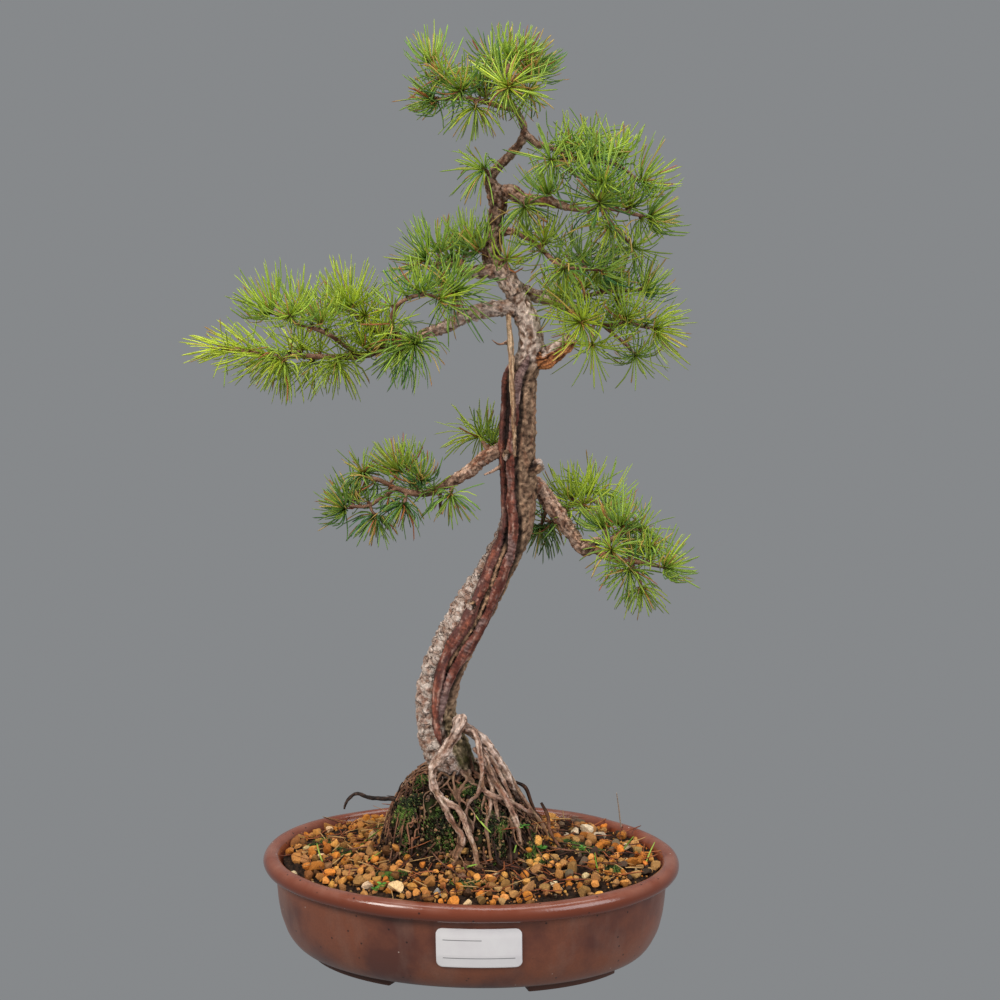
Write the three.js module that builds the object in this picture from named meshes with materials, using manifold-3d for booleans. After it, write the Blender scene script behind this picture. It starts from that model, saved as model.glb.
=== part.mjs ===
// European larch bonsai in an oval glazed pot, a tree about half a metre tall.
// Millimetres, +Z up, the front of the tree towards -Y. The pot's middle on its resting plane is the origin
// of every size below, and the group is then shifted so that the whole object's box stands on the origin.
import * as THREE from 'three';
import { ConvexHull } from 'three/addons/math/ConvexHull.js';
import { mergeVertices } from 'three/addons/utils/BufferGeometryUtils.js';
import Module from 'manifold-3d';

// Driving dimensions of the pot.
const POT_HALF_LENGTH = 133;
const POT_HALF_DEPTH = 99;
const POT_HEIGHT = 67;
const FOOT_HEIGHT = 5;
const FLOOR_TOP = 13;
const DRAIN_HOLE_RADIUS = 9;
const DRAIN_HOLE_OFFSET = 52;
const SCREEN_SIDE = 30;
const SCREEN_THICKNESS = 1.2;
const LABEL_WIDTH = 52;
const LABEL_HEIGHT = 26;
const LABEL_CORNER = 4;
const LABEL_THICKNESS = 1;
const LABEL_STAND_OFF = 0.45;
const LABEL_MIDDLE_X = 15.5;
const LABEL_MIDDLE_Z = 38;

// Driving dimensions of the soil.
const SOIL_EDGE_LEVEL = 61;
const SOIL_CROWN_RISE = 12;
const ROOT_MOUND_RISE = 50;
const ROOT_MOUND_CENTRE = [-8, 6];
const ROOT_MOUND_REACH = { left: 50, right: 60, front: 41, back: 48 };
const GRAIN_SPACING = 9.8;
const GRAIN_RELIEF = 3;
const PEBBLE_COUNT = 10;

// Driving dimensions of the foliage.
const NEEDLE_LENGTH = 29;
const NEEDLE_RADIUS = 0.75;
const NEEDLE_FAN_EDGE = -0.3;
const CORNERS_PER_NEEDLE = 0.58;
const BUD_RADIUS_FACTOR = 0.35;
const SPUR_FOOT_RADIUS = 0.6;
const SPUR_HEAD_RADIUS = 0.9;
const GOLDEN_ANGLE = 2.39996;

// Clear space left between neighbouring pieces.
const GAP = 0.35;

// The group's shift, which centres the object's box on the origin.
const GROUP_SHIFT = [15, 0, 0];

const wasm = await Module();
wasm.setup();

// A repeatable stream of numbers from 0 to 1.
function seededRandom(seed) {
  let state = seed;
  return () => {
    state = (state + 0x6d2b79f5) | 0;
    let mixed = Math.imul(state ^ (state >>> 15), 1 | state);
    mixed = (mixed + Math.imul(mixed ^ (mixed >>> 7), 61 | mixed)) ^ mixed;
    return ((mixed ^ (mixed >>> 14)) >>> 0) / 4294967296;
  };
}

// A closed geometry as a solid, turned the right way round if its faces point inwards.
function solidFrom(geometry) {
  const bare = geometry.clone();
  bare.deleteAttribute('normal');
  bare.deleteAttribute('uv');
  const merged = mergeVertices(bare, 1e-4);
  const triVerts = new Uint32Array(merged.index.array);
  const vertProperties = merged.attributes.position.array;
  const build = () => new wasm.Manifold(new wasm.Mesh({ numProp: 3, vertProperties, triVerts }));
  const first = build();
  if (first.volume() > 0) return first;
  for (let i = 0; i < triVerts.length; i += 3) {
    [triVerts[i + 1], triVerts[i + 2]] = [triVerts[i + 2], triVerts[i + 1]];
  }
  return build();
}

function joinAll(solids) {
  return wasm.Manifold.union(solids);
}

// The largest connected body of a solid, without any loose scrap.
function largestBody(solid) {
  const bodies = solid.decompose().filter((body) => body.volume() > 0);
  bodies.sort((a, b) => b.volume() - a.volume());
  return bodies[0];
}

function geometryFrom(solid) {
  const mesh = solid.getMesh();
  const geometry = new THREE.BufferGeometry();
  geometry.setAttribute('position', new THREE.BufferAttribute(new Float32Array(mesh.vertProperties), 3));
  geometry.setIndex(new THREE.BufferAttribute(new Uint32Array(mesh.triVerts), 1));
  const facets = geometry.toNonIndexed();
  facets.computeVertexNormals();
  return facets;
}

function finish(colour, roughness, metalness = 0) {
  return new THREE.MeshStandardMaterial({ color: colour, roughness, metalness, flatShading: true });
}

function named(name, solid, material) {
  const mesh = new THREE.Mesh(geometryFrom(solid), material);
  mesh.name = name;
  return mesh;
}

// Skins a row of rings, each a list of points, and closes both ends with a fan.
function skinRings(rings) {
  const sides = rings[0].length;
  const positions = rings.flat().flatMap((point) => [point.x, point.y, point.z]);
  const index = [];
  for (let ring = 0; ring + 1 < rings.length; ring += 1) {
    for (let side = 0; side < sides; side += 1) {
      const next = (side + 1) % sides;
      const a = ring * sides + side;
      const b = ring * sides + next;
      index.push(a, b, b + sides, a, b + sides, a + sides);
    }
  }
  const last = (rings.length - 1) * sides;
  for (let side = 1; side + 1 < sides; side += 1) {
    index.push(0, side + 1, side);
    index.push(last, last + side, last + side + 1);
  }
  const geometry = new THREE.BufferGeometry();
  geometry.setAttribute('position', new THREE.Float32BufferAttribute(positions, 3));
  geometry.setIndex(index);
  return solidFrom(geometry);
}

const FRONT = new THREE.Vector3(0, -1, 0);
const RIGHT = new THREE.Vector3(1, 0, 0);

const evenAngles = (sides) => Array.from({ length: sides }, (_, i) => (2 * Math.PI * i) / sides);

// A tapered limb along a smooth route of [x, y, z, radius] points, with flat ends.
// grow makes it fatter and longer by that much, and relief(angle, point) shapes its section.
function limb(route, { angles = evenAngles(6), step = 9, grow = 0, relief = () => 1 } = {}) {
  const curve = new THREE.CatmullRomCurve3(
    route.map(([x, y, z]) => new THREE.Vector3(x, y, z)),
    false,
    'centripetal',
  );
  const spans = route.length - 1;
  const stations = [];
  for (let span = 0; span < spans; span += 1) {
    const [from, to] = [curve.points[span], curve.points[span + 1]];
    const pieces = Math.max(1, Math.round(from.distanceTo(to) / step));
    for (let piece = 0; piece < pieces; piece += 1) stations.push((span + piece / pieces) / spans);
  }
  stations.push(1);
  let normal = null;
  const rings = stations.map((t, place) => {
    const centre = curve.getPoint(t);
    const tangent = curve.getTangent(t);
    if (!normal) normal = Math.abs(tangent.y) < 0.9 ? FRONT.clone() : RIGHT.clone();
    normal = normal.clone().addScaledVector(tangent, -normal.dot(tangent)).normalize();
    const binormal = new THREE.Vector3().crossVectors(tangent, normal);
    if (place === 0) centre.addScaledVector(tangent, -grow);
    if (place === stations.length - 1) centre.addScaledVector(tangent, grow);
    const span = Math.min(Math.floor(t * spans), spans - 1);
    const radius = THREE.MathUtils.lerp(route[span][3], route[span + 1][3], t * spans - span);
    return angles.map((angle) => {
      const reach = radius * relief(angle, centre) + grow;
      return centre
        .clone()
        .addScaledVector(normal, Math.cos(angle) * reach)
        .addScaledVector(binormal, Math.sin(angle) * reach);
    });
  });
  return skinRings(rings);
}

// The pot's outlines are circles of a lathe pressed into ovals: whatever the radius, the wall keeps its
// thickness all round, because the depth is shorter than the length by the same amount.
const OVAL_SHORTFALL = POT_HALF_LENGTH - POT_HALF_DEPTH;
const OVAL_CORE_RADIUS = 70;

function ovalDepth(radius) {
  if (radius > OVAL_CORE_RADIUS) return radius - OVAL_SHORTFALL;
  return (radius * (OVAL_CORE_RADIUS - OVAL_SHORTFALL)) / OVAL_CORE_RADIUS;
}

function ovalPoint(radius, angle) {
  return [radius * Math.cos(angle), ovalDepth(radius) * Math.sin(angle)];
}

function pressToOval(geometry) {
  const position = geometry.attributes.position;
  for (let i = 0; i < position.count; i += 1) {
    const radius = Math.hypot(position.getX(i), position.getY(i));
    const angle = Math.atan2(position.getY(i), position.getX(i));
    const [x, y] = ovalPoint(radius, angle);
    position.setXY(i, x, y);
  }
  return geometry;
}

function ovalLathe(profile, segments) {
  const points = profile.map(([radius, height]) => new THREE.Vector2(radius, height));
  return solidFrom(pressToOval(new THREE.LatheGeometry(points, segments).rotateX(Math.PI / 2)));
}

const POT_SEGMENTS = 36;
const POT_OUTSIDE = [
  [0, FOOT_HEIGHT],
  [107, FOOT_HEIGHT],
  [112, 7],
  [117, 13],
  [121, 22],
  [123.5, 33],
  [124.7, 45],
  [125, 55],
  [130.5, 56.5],
  [133, 59.5],
  [133, 63.5],
  [131, 66.3],
  [127.5, POT_HEIGHT],
];
const POT_INSIDE = [
  [123.5, 65.5],
  [119.5, 58],
  [118, 39],
  [114, 23],
  [103, FLOOR_TOP],
];

function footSector(quarter) {
  const [outer, inner] = [104, 92];
  const [start, end] = [0.42, 1.14];
  const steps = 4;
  const outline = [];
  for (let i = 0; i <= steps; i += 1) {
    outline.push(new THREE.Vector2(...ovalPoint(outer, start + ((end - start) * i) / steps)));
  }
  for (let i = steps; i >= 0; i -= 1) {
    outline.push(new THREE.Vector2(...ovalPoint(inner, start + ((end - start) * i) / steps)));
  }
  const foot = new THREE.ExtrudeGeometry(new THREE.Shape(outline), {
    depth: FOOT_HEIGHT + 3,
    bevelEnabled: false,
  });
  const [alongX, alongY] = [quarter < 2 ? 1 : -1, quarter % 2 ? 1 : -1];
  return solidFrom(foot.scale(alongX, alongY, 1));
}

function drainHole(side) {
  const bore = new THREE.CylinderGeometry(DRAIN_HOLE_RADIUS, DRAIN_HOLE_RADIUS, 40, 14);
  return solidFrom(bore.rotateX(Math.PI / 2).translate(side * DRAIN_HOLE_OFFSET, 0, FLOOR_TOP));
}

function potSolid() {
  const shell = ovalLathe([...POT_OUTSIDE, ...POT_INSIDE, [0, FLOOR_TOP]], POT_SEGMENTS);
  const feet = [0, 1, 2, 3].map(footSector);
  return joinAll([shell, ...feet]).subtract(joinAll([drainHole(-1), drainHole(1)]));
}

// A square plastic net over a drain hole.
function screenSolid(side) {
  const cells = 2;
  const pitch = SCREEN_SIDE / cells;
  const window = pitch * 0.72;
  const plate = solidFrom(new THREE.BoxGeometry(SCREEN_SIDE, SCREEN_SIDE, SCREEN_THICKNESS));
  const windows = [];
  for (let column = 0; column < cells; column += 1) {
    for (let row = 0; row < cells; row += 1) {
      const x = (column - (cells - 1) / 2) * pitch;
      const y = (row - (cells - 1) / 2) * pitch;
      windows.push(solidFrom(new THREE.BoxGeometry(window, window, 4).translate(x, y, 0)));
    }
  }
  const net = plate.subtract(joinAll(windows));
  return net.translate([side * DRAIN_HOLE_OFFSET, 0, FLOOR_TOP + GAP + SCREEN_THICKNESS / 2]);
}

// A thin blank plate bent round the front of the pot's wall, made as a lower and an upper band.
function labelBand(bottom, top) {
  const columns = 10;
  const wallRadius = (height) => {
    const above = POT_OUTSIDE.findIndex(([, level], i) => i > 1 && level >= height);
    const [[lowRadius, low], [highRadius, high]] = [POT_OUTSIDE[above - 1], POT_OUTSIDE[above]];
    return THREE.MathUtils.lerp(lowRadius, highRadius, (height - low) / (high - low));
  };
  const onWall = (x, height, lift) => {
    const radius = wallRadius(height) + lift;
    return new THREE.Vector3(x, -ovalDepth(radius) * Math.sqrt(1 - (x / radius) ** 2), height);
  };
  const outward = LABEL_STAND_OFF + LABEL_THICKNESS;
  const rings = [];
  for (let column = 0; column <= columns; column += 1) {
    const along = (LABEL_WIDTH * (column - columns / 2)) / columns;
    const intoCorner = Math.max(0, LABEL_CORNER - (LABEL_WIDTH / 2 - Math.abs(along)));
    const notch = LABEL_CORNER - Math.sqrt(LABEL_CORNER ** 2 - intoCorner ** 2);
    const low = bottom < LABEL_MIDDLE_Z ? bottom + notch : bottom;
    const high = top > LABEL_MIDDLE_Z ? top - notch : top;
    const x = LABEL_MIDDLE_X + along;
    rings.push([
      onWall(x, low, LABEL_STAND_OFF),
      onWall(x, high, LABEL_STAND_OFF),
      onWall(x, high, outward),
      onWall(x, low, outward),
    ]);
  }
  return skinRings(rings);
}

function labelSolid() {
  const half = LABEL_HEIGHT / 2;
  const lower = labelBand(LABEL_MIDDLE_Z - half, LABEL_MIDDLE_Z);
  const upper = labelBand(LABEL_MIDDLE_Z, LABEL_MIDDLE_Z + half);
  return lower.add(upper);
}

// The wood: every route is a list of [x, y, z, radius] points from the thick end to the thin one.
const LOWER_TRUNK = [
  [-1, 6, 92, 10], [-4, 4, 111, 12.2], [-9, 3, 121, 13.6], [-14, 2, 132, 14.8], [-18.5, 2, 143, 14.2],
  [-21.5, 2, 158, 12.9], [-21, 3, 171, 12.8], [-17, 4, 187, 13], [-9, 5, 205, 13.1], [2, 7, 226, 13.3],
  [10.5, 8, 241, 12], [17.5, 9, 254, 11], [25.5, 9, 270, 10.6], [30, 8, 286, 10.6], [30.5, 7, 303, 10.8],
  [30, 4, 328, 11.2], [31, 1, 354, 10.6], [32, -1, 373, 10.2], [38.4, -3, 390, 8.4], [37.6, -4, 404, 7.6],
  [34, -3, 415, 7], [29.5, -1, 424, 6.2],
];
const UPPER_TRUNK = [
  [35, -4, 411, 6.6], [29.5, -1, 424, 6.2], [23.5, 1, 434, 6.1], [16.5, 3, 442, 6.3], [13.5, 4, 448, 6],
  [15, 5, 457, 5], [15, 5, 467, 4.6], [17, 5, 477, 5.4], [17, 5, 485, 6.6], [14, 4, 490, 4.4],
  [13, 3, 495, 3.4], [17, 2, 501, 2.8], [25, 0, 509, 2.8], [31, -2, 516, 2.8], [34, -3, 522, 2.6],
  [32, -4, 531, 2.2], [27, -5, 539, 2.1], [21, -5, 545, 2],
];
const DEADWOOD_STRIP = [
  [29, -6, 330, 2.6], [28.6, -10.4, 350, 2.7], [28.2, -11.8, 374, 2.7], [27, -11.6, 396, 2.3],
  [25, -9, 413, 1.7],
];
const TORN_SNAG = [[39, -2, 390, 8], [47, -4, 387, 7], [54, -6, 391, 5.6], [64, -8, 400, 4]];
const TRUNK_KNOB = [[34, -2, 316, 4], [41, -4, 317.5, 4], [44.5, -5, 319, 2.8]];
const BRANCHES = {
  long: [
    [33, -2, 413, 5.2], [26, -4, 417, 5.2], [18, -6, 417, 5], [5, -10, 415, 4.6], [-4, -13, 411, 4.2],
    [-14, -15, 406, 3.8], [-23, -17, 403, 3.4], [-33, -18, 399, 3.1], [-46, -18, 395, 3],
  ],
  longSpur: [[-2, -12, 410, 3.2], [-4, -13, 419, 2.4], [-6, -14, 423, 2]],
  innerLeft: [[22, 0, 436, 5], [17, -1, 439, 4.6], [8, -4, 439, 4.2], [-2, -6, 438, 3.4]],
  lowLeft: [
    [27, 8, 330, 5.2], [19, 4, 328, 5], [9, 0, 323, 4.4], [1, -3, 316, 4], [-7, -6, 311, 3.6],
    [-15, -8, 307, 3.2],
  ],
  lowRight: [
    [35, 12, 308, 5.6], [43, 13, 301, 5.2], [51, 11, 291, 4.8], [59, 8, 281, 4.4], [65, 5, 273, 4.2],
    [71, 2, 267, 4.4], [78, 0, 268, 3.6],
  ],
  lowRightStub: [[72, 0, 267, 3.4], [78, -1, 272, 2.8], [82, -1, 273, 2.2]],
  shoulderLower: [
    [17, 5, 484, 5], [25, 3, 487, 4.6], [33, 0, 483, 3.8], [48, -5, 482, 3], [61, -10, 479, 2.4],
  ],
  shoulderUpper: [[33, -3, 522, 2.6], [37, -3, 520, 2.4], [42, -3, 516, 2.2], [51, -5, 514, 2]],
  innerRight: [[15, 5, 464, 3.8], [20, 4, 463, 3], [28, 2, 463, 2.2]],
  crownRight: [[26, 1, 428, 5], [33, 5, 427, 4.2], [40, 8, 423, 3.6], [50, 9, 420, 3.2]],
  crownRightFork: [[38, 7, 424, 3], [45, 12, 424, 2.6], [53, 17, 424, 2.2]],
};
const ROOTS = [
  [
    [-8, -4, 153, 4], [-4, -12, 157.5, 4.7], [-8, -17, 149, 4.2], [-14, -20, 139, 3.7],
    [-21.5, -22, 127, 3.4], [-19, -24, 115, 3.2], [-13, -27, 106, 3], [-6, -30, 94, 2.6],
    [-1, -32, 89, 2.4], [-3, -34.5, 79, 2.3], [-11, -38, 61, 2],
  ],
  [
    [-16, -25, 111, 2.6], [-11, -27, 108, 2.6], [-5, -29, 106, 2.6], [0, -32, 98, 2.5],
    [4, -35, 89, 2.4], [8, -38, 79, 2.2], [10, -41, 62, 2],
  ],
  [
    [-9, -2, 152, 4], [-1, -5, 150, 4], [10.5, -7, 141.5, 3.9], [19, -6, 129.3, 3.6],
    [25.7, -3, 116.7, 3.3], [30.8, 2, 104.9, 3], [36.4, 8, 93, 2.5], [39, 14, 72, 2.1],
  ],
  [
    [-2, -8, 150, 3], [3.4, -10, 149.7, 2.7], [7.2, -13, 139.6, 2.4], [9.5, -16, 127.5, 2.2],
    [10.5, -19, 115.5, 2.2], [16.7, -20, 111.5, 2.4], [25, -14, 106.5, 2.3], [34, -6, 99, 2.2],
    [42, 6, 89, 2], [47, 16, 77, 1.8], [50, 22, 64, 1.6],
  ],
  [
    [4, -9, 140, 2.8], [10.5, -13, 133.9, 2.9], [16.3, -15, 122, 2.8], [23.4, -17, 111, 2.6],
    [28.9, -19, 101, 2.4], [32.5, -21, 92, 2.2], [36, -24, 66, 1.9],
  ],
  [
    [-12, 0, 112, 3.4], [-28, -6, 106, 2.5], [-38, -8, 104.5, 2.2], [-46, -10, 104, 1.9],
    [-64, -9, 104, 1.6], [-72, -8, 106, 1.5], [-78, -8, 101, 1.3], [-80, -8, 95, 1],
  ],
  [
    [-13, -6, 118, 3], [-21.6, -16, 112, 2.3], [-28, -20, 102, 2.1], [-36.4, -24, 86, 1.9],
    [-42, -27, 66, 1.7],
  ],
  [[-14, 8, 128, 4.6], [-28, 20, 118, 4], [-42, 33, 98, 3.2], [-54, 46, 64, 2.4]],
  [[-6, 12, 126, 4.6], [-4, 28, 114, 4], [3, 46, 88, 3.2], [8, 62, 62, 2.4]],
  [[2, 8, 124, 4.4], [16, 22, 110, 3.8], [31, 37, 85, 3], [44, 50, 62, 2.2]],
];

// Two rolls of live bark bulge from the front of the lower trunk on either side of a dark groove.
const ROLL_BOTTOM = 140;
const ROLL_TOP = 335;
const ROLL_ANGLE = 0.5;
const TRUNK_ANGLES = [-2.6, -2.0, -1.45, -1.0, -0.75, -0.5, -0.25, 0, 0.25, 0.5, 0.75, 1.0, 1.45, 2.0, 2.6];

function trunkRelief(angle, point) {
  const fade = THREE.MathUtils.smoothstep(point.z, ROLL_BOTTOM, ROLL_BOTTOM + 25)
    * (1 - THREE.MathUtils.smoothstep(point.z, ROLL_TOP - 25, ROLL_TOP));
  const rolls = Math.exp(-(((Math.abs(angle) - ROLL_ANGLE) / 0.22) ** 2));
  const groove = Math.exp(-((angle / 0.16) ** 2));
  const flank = Math.exp(-(((Math.abs(angle) - 1.0) / 0.16) ** 2));
  const bark = 0.03 * Math.sin(point.z / 5 + 3 * angle) + 0.02 * Math.sin(point.z / 3.1 - 5 * angle);
  return 1 + fade * (0.08 * rolls - 0.16 * groove - 0.07 * flank) + bark;
}

function treeSolids(grow) {
  const knotted = (angle, point) => 1 + 0.05 * Math.sin(point.z / 2.6 + 2 * angle);
  const gnarled = (angle, point) => 1 + 0.06 * Math.sin(point.x / 4 + 2 * angle);
  const lowerTrunk = limb(LOWER_TRUNK, { angles: TRUNK_ANGLES, step: 18, grow, relief: trunkRelief });
  const upperTrunk = limb(UPPER_TRUNK, { angles: evenAngles(7), step: 8, grow, relief: knotted });
  const strip = limb(DEADWOOD_STRIP, { angles: evenAngles(6), step: 14, grow });
  const snag = limb(TORN_SNAG, { angles: evenAngles(7), step: 8, grow });
  const knob = limb(TRUNK_KNOB, { angles: evenAngles(6), step: 8, grow });
  const branches = Object.values(BRANCHES).map((route) => (
    limb(route, { angles: evenAngles(6), step: 11, grow, relief: gnarled })
  ));
  const roots = ROOTS.map((route) => limb(route, { angles: evenAngles(5), step: 14, grow }));
  return [lowerTrunk, upperTrunk, strip, snag, knob, ...branches, ...roots];
}

// Height of the soil's smooth surface: a low crown over the whole pot and the root ball that stands out of it,
// steep at the front and the left and sloping at the right and the back.
function soilLevel(x, y) {
  const spread = (x / POT_HALF_LENGTH) ** 2 + (y / POT_HALF_DEPTH) ** 2;
  const [aside, behind] = [x - ROOT_MOUND_CENTRE[0], y - ROOT_MOUND_CENTRE[1]];
  const { left, right, front, back } = ROOT_MOUND_REACH;
  const fallX = aside < 0 ? (aside / left) ** 4 : (aside / right) ** 2;
  const fallY = behind < 0 ? (behind / front) ** 4 : (behind / back) ** 2;
  const mound = ROOT_MOUND_RISE * Math.max(0, 1 - fallX - fallY);
  return SOIL_EDGE_LEVEL + SOIL_CROWN_RISE * Math.max(0, 1 - spread) + mound;
}

// A slab whose top is a triangular lattice: one vertex in three is a grain, raised over the two beside it.
function grainSlab() {
  const random = seededRandom(11);
  const rowPitch = (GRAIN_SPACING * Math.sqrt(3)) / 2;
  const columns = Math.ceil((2 * POT_HALF_LENGTH) / GRAIN_SPACING) + 1;
  const rows = Math.ceil((2 * POT_HALF_DEPTH) / rowPitch) + 1;
  const base = FLOOR_TOP - 5;
  const top = [];
  for (let row = 0; row < rows; row += 1) {
    for (let column = 0; column < columns; column += 1) {
      const shove = () => (random() - 0.5) * GRAIN_SPACING * 0.34;
      const x = (column + (row % 2) / 2 - (columns - 0.5) / 2) * GRAIN_SPACING + shove();
      const y = (row - (rows - 1) / 2) * rowPitch + shove();
      const isGrain = (column + 2 * (row % 2)) % 3 === 0;
      const lift = isGrain ? GRAIN_RELIEF * (0.4 + 0.6 * random()) : -GRAIN_RELIEF * 0.3 * random();
      top.push([x, y, soilLevel(x, y) + lift]);
    }
  }
  const index = [];
  const at = (row, column) => row * columns + column;
  for (let row = 0; row + 1 < rows; row += 1) {
    for (let column = 0; column + 1 < columns; column += 1) {
      const [a, b] = [at(row, column), at(row, column + 1)];
      const [c, d] = [at(row + 1, column), at(row + 1, column + 1)];
      if (row % 2) index.push(a, b, d, a, d, c);
      else index.push(a, b, c, b, d, c);
    }
  }
  const edge = [];
  for (let column = 0; column < columns; column += 1) edge.push(at(0, column));
  for (let row = 1; row < rows; row += 1) edge.push(at(row, columns - 1));
  for (let column = columns - 2; column >= 0; column -= 1) edge.push(at(rows - 1, column));
  for (let row = rows - 2; row > 0; row -= 1) edge.push(at(row, 0));
  const positions = top.flat();
  edge.forEach((corner) => positions.push(top[corner][0], top[corner][1], base));
  positions.push(0, 0, base);
  const under = top.length;
  const middle = under + edge.length;
  edge.forEach((corner, i) => {
    const next = (i + 1) % edge.length;
    index.push(corner, under + i, edge[next]);
    index.push(edge[next], under + i, under + next);
    index.push(middle, under + next, under + i);
  });
  const geometry = new THREE.BufferGeometry();
  geometry.setAttribute('position', new THREE.Float32BufferAttribute(positions, 3));
  geometry.setIndex(index);
  return solidFrom(geometry);
}

function pebbles() {
  const random = seededRandom(29);
  const stones = [];
  for (let i = 0; i < PEBBLE_COUNT; i += 1) {
    const angle = 2.4 * i;
    const radius = 42 + 64 * Math.sqrt((i + 0.5) / PEBBLE_COUNT);
    const [x, y] = ovalPoint(radius, angle);
    const size = 4.4 + 2.6 * random();
    const stone = new THREE.OctahedronGeometry(1, 0)
      .scale(size * 1.2, size * 0.9, size * 0.75)
      .rotateZ(6 * random())
      .translate(x, y, soilLevel(x, y) + size * 0.15);
    stones.push(solidFrom(stone));
  }
  return stones;
}

function soilSolid(grownTree) {
  const inside = [...POT_INSIDE].reverse().map(([radius, height]) => [radius - GAP - 0.4, height]);
  const [, rimHeight] = POT_INSIDE[0];
  const plug = ovalLathe([
    [0, FLOOR_TOP + GAP],
    [inside[0][0] - 3, FLOOR_TOP + GAP],
    ...inside.slice(1),
    [inside.at(-1)[0] - 3, rimHeight + 1],
    [inside.at(-1)[0] - 7, 130],
    [0, 130],
  ], POT_SEGMENTS);
  const recesses = [-1, 1].map((side) => {
    const width = SCREEN_SIDE + 2 * GAP;
    const height = 2 * (SCREEN_THICKNESS + 2 * GAP);
    return solidFrom(new THREE.BoxGeometry(width, width, height)
      .translate(side * DRAIN_HOLE_OFFSET, 0, FLOOR_TOP));
  });
  const filled = joinAll([grainSlab(), ...pebbles()]).intersect(plug);
  return largestBody(filled.subtract(joinAll([grownTree, ...recesses])));
}

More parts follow.
